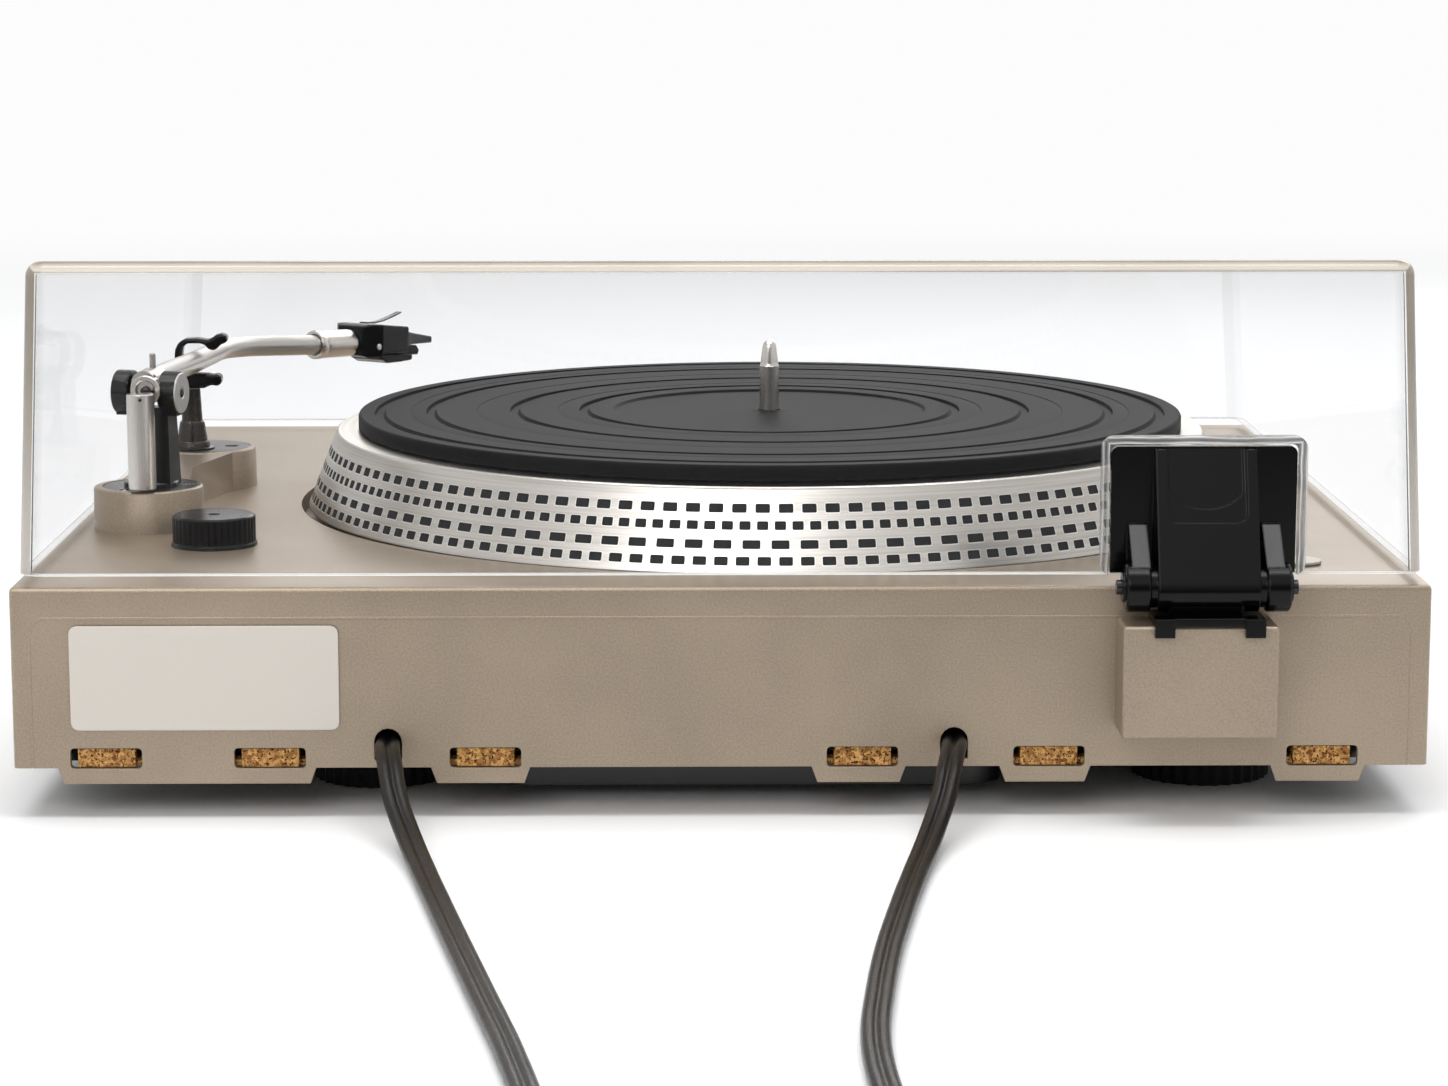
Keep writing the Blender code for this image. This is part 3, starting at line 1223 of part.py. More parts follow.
def arm_rest_clip():
    """A hook that holds the tube and opens towards the platter."""
    along = (POD.y - REST.y) / math.cos(math.radians(TUBE_HEADING))
    middle = tube_frame() @ Vector((0, along, 0))
    tube_low, tube_top = middle.z - TUBE_RADIUS - GAP, middle.z + TUBE_RADIUS
    side = middle.x + TUBE_RADIUS + CLIP_SIDE_ROOM
    tongue = tube_top + CLIP_LIFT_ROOM
    lip = middle.x - CLIP_LIP_REACH
    lip_top = above(CLIP_LIP_TOP)
    tip = middle.x - CLIP_TONGUE_REACH
    outline = [(side + CLIP_WEB, above(CLIP_LOW)), (side + CLIP_WEB, tube_top),
               (side + CLIP_WEB / 2, tongue + CLIP_TONGUE), (side - CLIP_TONGUE, tongue + CLIP_TONGUE),
               (tip, tongue + CLIP_TONGUE / 2), (tip, tongue), (side, tongue), (side, tube_low),
               (middle.x - CLIP_SADDLE_REACH, tube_low), (lip + CLIP_TONGUE, lip_top - CLIP_TONGUE / 2),
               (lip + CLIP_TONGUE, lip_top), (lip, lip_top), (lip, above(CLIP_LOW)),
               (middle.x - CLIP_SADDLE_REACH, above(CLIP_LOW) + CLIP_TONGUE),
               (middle.x + CLIP_SADDLE_REACH, above(CLIP_LOW))]
    make("arm_rest_clip", slab(outline, -REST.y - CLIP_HALF, -REST.y + CLIP_HALF, ALONG_Y), black_plastic())


def arm_pillar(axis):
    """The turning pillar: foot, leg, the two bearing drums with their stubs, and the shaft below."""
    frame = arm_frame(POD, ARM_HEADING)
    foot_low = above(POD_HEIGHT) + GAP
    foot_top = foot_low + PILLAR_FOOT_THICKNESS
    form = rod(ARM_SHAFT_RADIUS, above(-ARM_SHAFT_DEPTH), foot_top - GAP, 20)
    piece = make("arm_pillar", turn_form(form, frame), black_plastic(), axis)
    join(piece, turn_form(rod(PILLAR_FOOT_RADIUS, foot_low, foot_top, 28), frame), "join_foot")
    form = bmesh.new()
    rings = []
    low_end = (foot_low, LEG_INNER, LEG_OUTER, LEG_HALF_LOW)
    top_end = (above(DRUM_RISE), DRUM_INNER + GAP, LEG_TOP_OUTER, LEG_HALF_TOP)
    for z, inner, outer, half in (low_end, top_end):
        corners = ((inner, -half), (outer, -half), (outer, half), (inner, half))
        rings.append([Vector((x, y, z)) for x, y in corners])
    loft(form, rings)
    join(piece, turn_form(form, frame), "join_leg")
    place = Vector((0, 0, above(DRUM_RISE)))
    outer = DRUM_INNER + DRUM_LENGTH
    for sign, word in ((-1, "left"), (1, "right")):
        ends = sorted((sign * DRUM_INNER, sign * outer))
        join(piece, turn_form(rod(DRUM_RADIUS, *ends, 28, place, ALONG_X), frame), "join_drum_" + word)
        ends = sorted((sign * STUB_INNER, sign * (DRUM_INNER + STUB_RADIUS)))
        join(piece, turn_form(rod(STUB_RADIUS, *ends, 12, place, ALONG_X), frame), "join_stub_" + word)
    low = above(DRUM_RISE - DRUM_RADIUS)
    yoke = block((GAP - outer, DRUM_INNER + GAP), around(0, YOKE_HALF), (low, low + YOKE_THICKNESS))
    join(piece, turn_form(yoke, frame), "join_yoke")


def bearing_cap(axis):
    """The bright disc on the end of the drum that faces the platter."""
    start = DRUM_INNER + DRUM_LENGTH + GAP
    form = rod(CAP_RADIUS, start, start + CAP_THICKNESS, 28, Vector((0, 0, above(DRUM_RISE))), ALONG_X)
    make("bearing_cap", turn_form(form, arm_frame(POD, ARM_HEADING)), steel(), axis)


def arm_trip_lever(axis):
    """The lever under the top that tells the mechanism where the arm is."""
    low = above(-LEVER_DROP)
    form = bmesh.new()
    half = LEVER_WIDTH / 2
    outline = [(0, -half), (LEVER_LENGTH, -half / 2), (LEVER_LENGTH, half / 2), (0, half)]
    outline += arc((0, 0), LEVER_WIDTH * 0.8, *LEVER_HEEL_SPAN, 8)
    prism(form, outline, low, low + LEVER_THICKNESS)
    piece = make("arm_trip_lever", turn_form(form, arm_frame(POD, ARM_HEADING)), steel(), axis)
    bore = rod(ARM_SHAFT_RADIUS + GAP, low - OVERRUN, low + LEVER_THICKNESS + OVERRUN, 20, POD)
    cut(piece, bore, "cut_lever_bore")


def tube_points():
    """The tube's axis: a rear leg, a round bend inward, and the leg that carries the headshell."""
    rear, front = tube_frame(), shell_frame()
    half_turn = math.radians(SHELL_HEADING - TUBE_HEADING) / 2
    setback = TUBE_BEND * math.tan(half_turn)
    points = [rear @ Vector((0, -TUBE_REAR, 0)), rear @ Vector((0, TUBE_LEG - setback, 0))]
    steps = 8
    for i in range(1, steps):
        turn = half_turn * 2 * i / steps
        across = TUBE_BEND * (1 - math.cos(turn))
        along = TUBE_BEND * math.sin(turn)
        points.append(rear @ Vector((across, TUBE_LEG - setback + along, 0)))
    points += [front @ Vector((0, setback, 0)), front @ Vector((0, TUBE_END, 0))]
    return points


def arm_tube(axis):
    hang(cord("arm_tube", tube_points(), TUBE_RADIUS * 2, 3, chrome()), axis)


def tube_clamp(axis):
    """The block that holds the tube between the drums, with an arched opening at its rear."""
    frame = arm_frame(POD, TUBE_HEADING)
    low, top = above(CLAMP_LOW), above(CLAMP_TOP)
    outline = [(-CLAMP_HALF, low), (CLAMP_HALF, low)]
    outline += arc((CLAMP_HALF - CLAMP_ROUND, top - CLAMP_ROUND), CLAMP_ROUND, 0, 90, 5)
    outline += arc((CLAMP_ROUND - CLAMP_HALF, top - CLAMP_ROUND), CLAMP_ROUND, 90, 180, 5)
    form = turn_form(slab(outline, -CLAMP_FRONT, CLAMP_REAR, ALONG_Y), frame)
    piece = make("tube_clamp", form, steel(), axis)
    reach = WEIGHT_REAR - WEIGHT_RADIUS - GAP
    hanger = block(around(0, HANGER_HALF), (-reach, -CLAMP_REAR + GAP), (low, above(WEIGHT_TOP)))
    join(piece, turn_form(hanger, frame), "join_hanger")
    bore = rod(TUBE_RADIUS + GAP, -CLAMP_FRONT - OVERRUN, TUBE_REAR + GAP, 24, Vector(), ALONG_Y)
    cut(piece, turn_form(bore, tube_frame()), "cut_tube_bore")
    top = above(ARCH_TOP)
    outline = [(-ARCH_HALF, above(ARCH_LOW)), (ARCH_HALF, above(ARCH_LOW))]
    outline += arc((0, top - ARCH_HALF), ARCH_HALF, 0, 180, 8)
    cut(piece, turn_form(slab(outline, TUBE_REAR, CLAMP_REAR + OVERRUN, ALONG_Y), frame), "cut_arch")
    drum = arm_frame(POD, ARM_HEADING)
    pivot = Vector((0, 0, above(DRUM_RISE)))
    for sign, word in ((-1, "left"), (1, "right")):
        ends = sorted((sign * (STUB_INNER - GAP), sign * DRUM_INNER))
        cut(piece, turn_form(rod(STUB_RADIUS + GAP, *ends, 12, pivot, ALONG_X), drum), "cut_socket_" + word)


def counterweight(axis):
    """The bright cylinder that hangs behind the pivot."""
    frame = arm_frame(POD, TUBE_HEADING)
    place = Vector((WEIGHT_SIDE, -WEIGHT_REAR, 0))
    inner = WEIGHT_RADIUS - WEIGHT_CHAMFER
    low, top = above(WEIGHT_LOW), above(WEIGHT_TOP)
    profile = ((0, low), (inner, low), (WEIGHT_RADIUS, low + WEIGHT_CHAMFER),
               (WEIGHT_RADIUS, top - WEIGHT_CHAMFER), (inner, top), (0, top))
    piece = make("counterweight", turn_form(lathe(profile, 28, place), frame), chrome(), axis)
    hole = Vector((WEIGHT_SIDE, 0, top - WEIGHT_HOLE_DROP))
    start = WEIGHT_REAR + WEIGHT_RADIUS / 2
    cut(piece, turn_form(rod(WEIGHT_HOLE_RADIUS, start, start + WEIGHT_RADIUS, 12, hole, ALONG_Y), frame),
        "cut_weight_hole")


def arm_pin(axis):
    frame = arm_frame(POD, TUBE_HEADING)
    form = rod(ARM_PIN_RADIUS, above(CLAMP_TOP) + GAP, above(ARM_PIN_TOP), 14, Vector((0, ARM_PIN_FRONT, 0)))
    make("arm_pin", turn_form(form, frame), steel(), axis)


def headshell_collar(axis):
    """The collar that locks the headshell onto the tube."""
    bore = TUBE_RADIUS + GAP
    low, high = -COLLAR_START - COLLAR_LENGTH, -COLLAR_START
    inner = COLLAR_RADIUS - COLLAR_CHAMFER
    profile = ((bore, low), (inner, low), (COLLAR_RADIUS, low + COLLAR_CHAMFER),
               (COLLAR_RADIUS, high - COLLAR_CHAMFER), (inner, high), (bore, high))
    make("headshell_collar", turn_form(lathe(profile, 28, Vector(), ALONG_Y), shell_frame()), chrome(), axis)


def headshell(axis):
    """A deep rear block that thins to a plate over the cartridge, and the plug that goes into the collar."""
    start = COLLAR_START + COLLAR_LENGTH + GAP
    rings = []
    for share, across, drop, rise in SHELL_STATION_SHARES:
        half, y = SHELL_HALF * across, start + SHELL_LENGTH * share
        low, high = -SHELL_DROP * drop, SHELL_RISE * rise
        rings.append([Vector((x, y, z)) for x, z in ((-half, low), (half, low), (half, high), (-half, high))])
    form = bmesh.new()
    loft(form, rings)
    piece = make("headshell", turn_form(form, shell_frame()), black_plastic(), axis)
    plug = rod(SHELL_PLUG_RADIUS, -start - GAP, -TUBE_END - GAP, 20, Vector(), ALONG_Y)
    join(piece, turn_form(plug, shell_frame()), "join_shell_plug")


def across_shell(side, half):
    """Push a side shape, given as (along, rise), to both sides of the headshell's middle."""
    form = bmesh.new()
    prism(form, side, -half, half, ALONG_X)
    return turn_form(form, shell_frame())


def cartridge(axis):
    """The cartridge's body, with a step under its front for the stylus block."""
    start, end = CARTRIDGE_START, CARTRIDGE_END
    top = -SHELL_DROP * SHELL_STATION_SHARES[-1][2] - GAP
    step = STYLUS_HEIGHT - CARTRIDGE_FRONT_DROP
    front = end - STYLUS_LENGTH
    side = [(start, top), (end, top), (end, step), (front, step), (front, -CARTRIDGE_FRONT_DROP),
            (start + CARTRIDGE_SLOPE, -CARTRIDGE_REAR_DROP), (start, -SHELL_DROP)]
    make("cartridge", across_shell(side, CARTRIDGE_HALF), black_plastic(), axis)


def stylus(axis):
    """The replaceable stylus block in the cartridge's lower front."""
    front = CARTRIDGE_END - STYLUS_LENGTH + GAP
    top = STYLUS_HEIGHT - CARTRIDGE_FRONT_DROP - GAP
    low = -CARTRIDGE_FRONT_DROP
    side = [(front, top), (CARTRIDGE_END, top), (CARTRIDGE_END, low / 2 + top / 2),
            (front + STYLUS_LENGTH / 2, low), (front, low)]
    make("stylus", across_shell(side, STYLUS_HALF), black_plastic(), axis)


def finger_lift(axis):
    """A thin blade that rises forward from the headshell's outer side."""
    end = LIFT_START + LIFT_LENGTH
    foot = LIFT_START + LIFT_WIDTH
    side = [(LIFT_START, LIFT_LOW), (foot, LIFT_LOW), (end, LIFT_LOW + LIFT_RISE),
            (end, LIFT_LOW + LIFT_RISE + LIFT_THICKNESS), (foot, LIFT_LOW + LIFT_THICKNESS),
            (LIFT_START, LIFT_LOW + LIFT_THICKNESS)]
    form = bmesh.new()
    outer = LIFT_THICKNESS - SHELL_HALF
    prism(form, side, outer, outer + LIFT_WIDTH, ALONG_X)
    make("finger_lift", turn_form(form, shell_frame()), steel(), axis)


# Small pieces on the top and front

def anti_skate_knob(axis):
    low = TOP_Z + GAP
    place = Vector((KNOB_X, inward(KNOB_INWARD), 0))
    top = low + KNOB_HEIGHT
    outline = ribbed(KNOB_RADIUS, KNOB_RIB_DEPTH, KNOB_RIBS)
    form = slab(outline, low + KNOB_FLANGE_HEIGHT / 2, top, ALONG_Z, place)
    piece = make("anti_skate_knob", form, black_plastic(), axis)
    join(piece, rod(KNOB_RADIUS + KNOB_FLANGE, low, low + KNOB_FLANGE_HEIGHT, 40, place), "join_knob_flange")
    join(piece, rod(KNOB_SHAFT_RADIUS, above(-KNOB_SHAFT_DEPTH), low + KNOB_FLANGE_HEIGHT / 2, 16, place),
         "join_knob_shaft")
    hole = rod(KNOB_FLANGE_HEIGHT, top - KNOB_FLANGE_HEIGHT, top + OVERRUN, 16, place)
    cut(piece, hole, "cut_knob_hole_top")


def top_plug():
    place = Vector((PLUG_X, inward(PLUG_INWARD), 0))
    make("top_plug", rod(PLUG_RADIUS, TOP_Z + GAP, above(PLUG_THICKNESS), 24, place), label_face())


def strobe_lamp_housing():
    """The lamp that lights the platter's dots, on the top beside the rim."""
    low = TOP_Z + GAP
    bearing = math.radians(LAMP_BEARING)
    reach = WELL_RADIUS + LAMP_ROOM + LAMP_DEPTH / 2
    place = Vector((PLATTER_X + reach * math.cos(bearing), PLATTER_Y + reach * math.sin(bearing), 0))
    frame = Matrix.Translation(place) @ Matrix.Rotation(math.radians(-LAMP_TURN), 4, "Z")
    form = block(around(0, LAMP_WIDTH / 2), around(0, LAMP_DEPTH / 2), (low, low + LAMP_HEIGHT))
    upper = [edge for edge in form.edges if all(v.co.z > low + LAMP_HEIGHT / 2 for v in edge.verts)]
    bmesh.ops.bevel(form, geom=upper, offset=EDGE_ROUND, segments=2, profile=0.5, affect="EDGES")
    piece = make("strobe_lamp_housing", turn_form(form, frame), black_plastic())
    zs = (low + LAMP_HEIGHT / 4, low + LAMP_HEIGHT * 0.7)
    window = block(around(0, LAMP_WINDOW), (LAMP_DEPTH / 4, LAMP_DEPTH), zs)
    cut(piece, turn_form(window, frame), "cut_lamp_window")


def front_panel():
    ys = (FRONT_Y - GAP - FRONT_PANEL_THICKNESS, FRONT_Y - GAP)
    middle = above(-FRONT_PANEL_DROP)
    plate = block(around(0, FRONT_PANEL_WIDTH / 2), ys, around(middle, FRONT_PANEL_HEIGHT / 2))
    piece = make("front_panel", plate, front_metal())
    for index, x in enumerate(KEY_XS):
        cut(piece, block(around(x, KEY_WIDTH / 2 + GAP), (ys[0] - OVERRUN, ys[1] + OVERRUN),
                         around(middle, KEY_HEIGHT / 2 + GAP)), f"cut_panel_key_{index}")
    pitch = Vector((PITCH_KNOB_X, 0, middle))
    hole = rod(PITCH_SHAFT_RADIUS + GAP, -ys[1] - OVERRUN, -ys[0] + OVERRUN, 16, pitch, ALONG_Y)
    cut(piece, hole, "cut_panel_pitch")


def key(name, x):
    """A push key: a cap through the wall, kept in by a flange behind it."""
    middle = above(-FRONT_PANEL_DROP)
    back = FRONT_Y + WALL + GAP
    axis = joint_axis(name + "_axis", Vector((x, FRONT_Y, middle)))
    ys = (FRONT_Y - KEY_REACH, back + KEY_FLANGE / 2)
    form = block(around(x, KEY_WIDTH / 2), ys, around(middle, KEY_HEIGHT / 2))
    front = [edge for edge in form.edges if all(v.co.y < FRONT_Y for v in edge.verts)]
    bmesh.ops.bevel(form, geom=front, offset=EDGE_ROUND / 2, segments=2, profile=0.5, affect="EDGES")
    piece = make(name, form, front_metal(), axis)
    join(piece, block(around(x, KEY_WIDTH / 2 + KEY_FLANGE), (back, back + KEY_FLANGE),
                      around(middle, KEY_HEIGHT / 2 + KEY_FLANGE)), "join_" + name)


def pitch_knob():
    middle = Vector((PITCH_KNOB_X, 0, above(-FRONT_PANEL_DROP)))
    axis = joint_axis("pitch_axis", Vector((PITCH_KNOB_X, FRONT_Y, middle.z)))
    back = FRONT_Y - GAP * 2 - FRONT_PANEL_THICKNESS
    outline = ribbed(PITCH_KNOB_RADIUS, KNOB_RIB_DEPTH, PITCH_KNOB_RIBS)
    form = slab(outline, -back, -FRONT_Y + PITCH_KNOB_REACH, ALONG_Y, middle)
    piece = make("pitch_knob", form, front_metal(), axis)
    join(piece, rod(PITCH_SHAFT_RADIUS, -FRONT_Y - PITCH_SHAFT_DEPTH, -back + GAP, 16, middle, ALONG_Y),
         "join_pitch_shaft")


def control_board():
    """The upright board behind the keys, with a switch behind each."""
    face = FRONT_Y + WALL + GAP + KEY_FLANGE + KEY_TRAVEL + GAP + SWITCH_DEPTH
    low = BOARD_TOP + GAP
    middle = above(-FRONT_PANEL_DROP)
    ys = (face, face + CONTROL_BOARD_THICKNESS)
    sheet = block(around(0, CONTROL_BOARD_WIDTH / 2), ys, (low, low + CONTROL_BOARD_HEIGHT))
    piece = make("control_board", sheet, board_green())
    for index, x in enumerate(KEY_XS):
        join(piece, block(around(x, SWITCH_SIZE / 2), (face - SWITCH_DEPTH, face + CONTROL_BOARD_THICKNESS / 2),
                          around(middle, SWITCH_SIZE / 2)), f"join_switch_{index}")


def transformer():
    """The mains transformer, on the board near the mains lead."""
    low = BOARD_TOP + GAP
    y = inward(TRANSFORMER_INWARD)
    zs = (low, low + TRANSFORMER_HEIGHT)
    core = block(around(TRANSFORMER_X, TRANSFORMER_WIDTH / 2), around(y, TRANSFORMER_DEPTH / 2), zs)
    piece = make("transformer", core, steel())
    coil = rounded(around(TRANSFORMER_X, TRANSFORMER_WIDTH / 3), around(y, TRANSFORMER_DEPTH / 2 + COIL_BULGE),
                   COIL_BULGE)
    join(piece, slab(coil, low + COIL_BULGE, low + TRANSFORMER_HEIGHT - COIL_BULGE), "join_coil")


# Leads

def metres(route):
    return [Vector(point) * MM for point in route]


def strain_relief(name, route, material):
    """A collar behind the hole in the back panel that grips the lead."""
    first = metres(route)[0]
    start = -inward(PANEL_THICKNESS + GAP)
    bore = CORD_DIAMETER / 2 + GAP
    place = Vector((first.x, 0, first.z))
    profile = ((bore, start), (RELIEF_RADIUS, start), (RELIEF_RADIUS, start + RELIEF_LENGTH),
               (bore, start + RELIEF_LENGTH))
    make(name, lathe(profile, 20, place, ALONG_Y), material)


def free_lead(name, route, material):
    """The stretch that lies free, starting inside its strain relief."""
    places = metres(route)
    start = Vector((places[0].x, inward(PANEL_THICKNESS + GAP + RELIEF_LENGTH / 2), places[0].z))
    points = smooth_route([start] + places, CORD_DIAMETER * 2.4)
    cord(name, points, CORD_DIAMETER, 2, material)
    print(name, "length", round(path_length(points), 4))
    return path_length(points)


def coiled_lead(name, centre, outer, turns, start, way, end_height, material):
    points, away = coil_path(centre, outer, turns, start, way, end_height)
    cord(name, points, CORD_DIAMETER, 1, material)
    gap = least_gap(points, CORD_DIAMETER)
    print(name, "length", round(path_length(points), 4), "least gap", round(gap, 5))
    return points[-1], away


def lead_frame(end, away):
    """A frame at a lead's end whose Y runs on along it."""
    turn = math.atan2(away.y, away.x) - math.pi / 2
    return Matrix.Translation((end.x, end.y, 0)) @ Matrix.Rotation(turn, 4, "Z")


def mains_plug(end, away):
    """A flat two-blade plug with a tapered boot, lying on the floor."""
    frame = lead_frame(end, away)
    z = end.z
    half, thick = PLUG_BODY_HALF, PLUG_BODY_HALF_THICK
    rings = []
    lead = CORD_DIAMETER / 2
    for y, across, up in ((GAP, lead * 1.3, lead * 1.3), (PLUG_BOOT_LENGTH * 0.8, lead * 1.5, lead * 1.5),
                          (PLUG_BOOT_LENGTH, half * 0.8, thick * 0.8), (PLUG_BOOT_LENGTH * 1.2, half, thick),
                          (PLUG_BOOT_LENGTH + PLUG_BODY_LENGTH, half, thick)):
        outline = rounded((-across, across), (-up, up), min(across, up) * 0.45, 2)
        rings.append([Vector((a, y, z + b)) for a, b in outline])
    form = bmesh.new()
    loft(form, rings)
    piece = make("mains_plug", turn_form(form, frame), cord_sheath())
    front = PLUG_BOOT_LENGTH + PLUG_BODY_LENGTH
    for sign, word in ((-1, "right"), (1, "left")):
        blade = block(around(sign * BLADE_SPREAD, BLADE_THICKNESS / 2), (front - OVERRUN, front + BLADE_LENGTH),
                      around(z, BLADE_WIDTH / 2))
        join(piece, turn_form(blade, frame), "join_blade_" + word)


def signal_end(end, away):
    """The splitter, its two short tails and their phono plugs."""
    frame = lead_frame(end, away)
    z = end.z
    rings = []
    thick = SPLITTER_HALF_THICK
    for y, across in ((GAP, thick), (SPLITTER_LENGTH, SPLITTER_HALF)):
        outline = rounded((-across, across), (-thick, thick), thick / 2, 2)
        rings.append([Vector((a, y, z + b)) for a, b in outline])
    form = bmesh.new()
    loft(form, rings)
    make("signal_splitter", turn_form(form, frame), cord_sheath())
    for sign, word in ((-1, "a"), (1, "b")):
        start = Vector((sign * TAIL_SPREAD / 2, SPLITTER_LENGTH + GAP, z))
        route = [start, start + Vector((0, TAIL_LENGTH * 0.12, 0))]
        route.append(Vector((sign * TAIL_SPREAD, TAIL_LENGTH * 0.45 + start.y, TAIL_RISE)))
        route.append(Vector((sign * TAIL_SPREAD * 1.4, TAIL_LENGTH * 0.85 + start.y, PHONO_RADIUS + GAP / 2)))
        route.append(Vector((sign * TAIL_SPREAD * 1.4, TAIL_LENGTH + start.y, PHONO_RADIUS + GAP / 2)))
        points = smooth_route([frame @ point for point in route], TAIL_DIAMETER * 2.4)
        cord("signal_tail_" + word, points, TAIL_DIAMETER, 2, cord_sheath())
        print("signal_tail_" + word, "length", round(path_length(points), 4))
        heading = (points[-1] - points[-2]).normalized()
        heading.z = 0
        phono_plug("phono_plug_" + word, points[-1], heading.normalized())


def phono_plug(name, end, away):
    frame = lead_frame(end, away)
    body = GAP + PHONO_BOOT
    front = body + PHONO_LENGTH
    tip = front + PHONO_PIN_LENGTH
    profile = ((0, -GAP), (TAIL_DIAMETER * 0.7, -GAP), (TAIL_DIAMETER * 0.8, -body), (PHONO_RADIUS, -body),
               (PHONO_RADIUS, -front), (PHONO_PIN_RADIUS, -front), (PHONO_PIN_RADIUS, -tip), (0, -tip))
    make(name, turn_form(lathe(profile, 16, Vector((0, 0, end.z)), ALONG_Y), frame), steel())


def leads():
    sheath = cord_sheath()
    strain_relief("signal_strain_relief", SIGNAL_ROUTE, sheath)
    strain_relief("mains_strain_relief", MAINS_ROUTE, sheath)
    free_lead("signal_cord", SIGNAL_ROUTE, sheath)
    free_lead("mains_cord", MAINS_ROUTE, sheath)
    height = PLUG_BODY_HALF_THICK + GAP
    end, away = coiled_lead("mains_coil", MAINS_CENTRE, MAINS_OUTER, MAINS_TURNS, 0, 1, height, sheath)
    mains_plug(end, away)
    height = SPLITTER_HALF_THICK + GAP
    end, away = coiled_lead("signal_coil", SIGNAL_CENTRE, SIGNAL_OUTER, SIGNAL_TURNS, 180, -1, height, sheath)
    signal_end(end, away)


def main():
    clear_scene()
    top_chassis()
    back_panel()
    label_plate()
    cork_strip()
    bottom_cover()
    feet()
    hinge_housing()
    hinge_base()
    hinge_pin()
    cover_axis = joint_axis("cover_axis", HINGE_AXIS)
    hinge_arm(cover_axis)
    dust_cover(cover_axis)
    spin = joint_axis("platter_axis", Vector((PLATTER_X, PLATTER_Y, above(PLATTER_LEDGE_RISE))))
    platter(spin)
    platter_mat(spin)
    spindle(spin)
    rotor_magnet(spin)
    bearing_sleeve()
    motor_stator()
    arm_base()
    pod_plate()
    rest_plate()
    rest_pillar()
    arm_rest_clip()
    swing = joint_axis("arm_swing_axis", Vector((POD.x, POD.y, above(POD_HEIGHT))))
    arm_pillar(swing)
    bearing_cap(swing)
    arm_trip_lever(swing)
    lift = joint_axis("arm_lift_axis", Vector((POD.x, POD.y, above(DRUM_RISE))))
    arm_tube(lift)
    tube_clamp(lift)
    counterweight(lift)
    arm_pin(lift)
    headshell(lift)
    cartridge(lift)
    stylus(lift)
    finger_lift(lift)
    headshell_collar(joint_axis("collar_axis", shell_frame().translation))
    anti_skate_knob(joint_axis("knob_axis", Vector((KNOB_X, inward(KNOB_INWARD), TOP_Z))))
    top_plug()
    strobe_lamp_housing()
    front_panel()
    key("stop_key", STOP_KEY_X)
    key("start_key", START_KEY_X)
    key("speed_key", SPEED_KEY_X)
    pitch_knob()
    control_board()
    transformer()
    leads()


main()
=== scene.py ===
"""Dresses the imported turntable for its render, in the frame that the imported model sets.

Metres, +Z up. The back of the plinth faces +Y, where the camera stands, and the tonearm is on the +X side.
Profiles and outlines are in millimetres, with heights above the plinth's top unless they say otherwise.
A turned piece's profile is a row of (radius, height) points unless it says otherwise.
"""
from __future__ import annotations

import json
import logging
import math
from abc import ABC, abstractmethod
from dataclasses import dataclass, field, replace
from enum import Enum
from typing import Sequence

import bmesh
import bpy
from mathutils import Matrix, Vector

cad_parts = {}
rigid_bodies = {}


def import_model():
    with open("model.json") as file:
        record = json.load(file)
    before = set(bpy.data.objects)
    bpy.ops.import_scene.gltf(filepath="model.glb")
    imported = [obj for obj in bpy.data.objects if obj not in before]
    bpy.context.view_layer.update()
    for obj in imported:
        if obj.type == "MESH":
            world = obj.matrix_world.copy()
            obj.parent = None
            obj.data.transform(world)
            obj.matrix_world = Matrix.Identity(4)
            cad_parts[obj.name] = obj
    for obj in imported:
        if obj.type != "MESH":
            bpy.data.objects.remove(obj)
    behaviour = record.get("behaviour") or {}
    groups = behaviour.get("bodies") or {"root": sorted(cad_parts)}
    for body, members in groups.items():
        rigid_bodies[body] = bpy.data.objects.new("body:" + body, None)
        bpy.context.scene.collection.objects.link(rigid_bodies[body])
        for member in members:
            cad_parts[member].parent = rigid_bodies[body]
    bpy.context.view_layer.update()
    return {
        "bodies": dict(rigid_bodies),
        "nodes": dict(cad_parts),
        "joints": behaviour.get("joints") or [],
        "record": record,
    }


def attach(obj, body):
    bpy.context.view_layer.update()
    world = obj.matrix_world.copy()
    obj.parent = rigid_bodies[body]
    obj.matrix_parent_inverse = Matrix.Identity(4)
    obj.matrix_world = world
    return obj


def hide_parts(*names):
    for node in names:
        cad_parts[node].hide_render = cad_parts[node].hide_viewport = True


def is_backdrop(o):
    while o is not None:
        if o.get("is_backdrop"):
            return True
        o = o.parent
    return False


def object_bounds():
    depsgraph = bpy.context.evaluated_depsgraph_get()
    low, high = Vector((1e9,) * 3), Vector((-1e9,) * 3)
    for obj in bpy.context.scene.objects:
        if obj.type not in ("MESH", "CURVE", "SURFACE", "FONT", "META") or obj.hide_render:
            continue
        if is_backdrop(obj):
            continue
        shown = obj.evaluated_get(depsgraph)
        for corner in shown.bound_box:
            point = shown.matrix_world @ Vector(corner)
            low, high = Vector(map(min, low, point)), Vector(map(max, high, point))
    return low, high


LOG = logging.getLogger("turntable")
MM = 0.001
BACK_Y = 0.180
TOP_Z = 0.071
PLATTER = Vector((-0.0184, -0.0036, 0.0))
POD = Vector((0.1883, 0.0626, 0.0))
REST = Vector((0.1843, -0.025, 0.0))
HINGE_X = -0.145
COVER_TOP = 97.65
NOISE_SPAN = (0.3, 0.7)

ALONG_Z = Matrix.Identity(3)
ALONG_X = Matrix(((0, 0, 1), (1, 0, 0), (0, 1, 0)))
ALONG_Y = Matrix(((1, 0, 0), (0, 0, -1), (0, 1, 0)))

Point = Sequence[float]
Span = tuple[float, float]
Profile = tuple[Span, ...]
Block = tuple[Span, Span, Span]
Cylinder = tuple[float, float, float]
Colour = tuple[int, int, int]
Shade = tuple[float, float, float, float]
Socket = bpy.types.NodeSocket


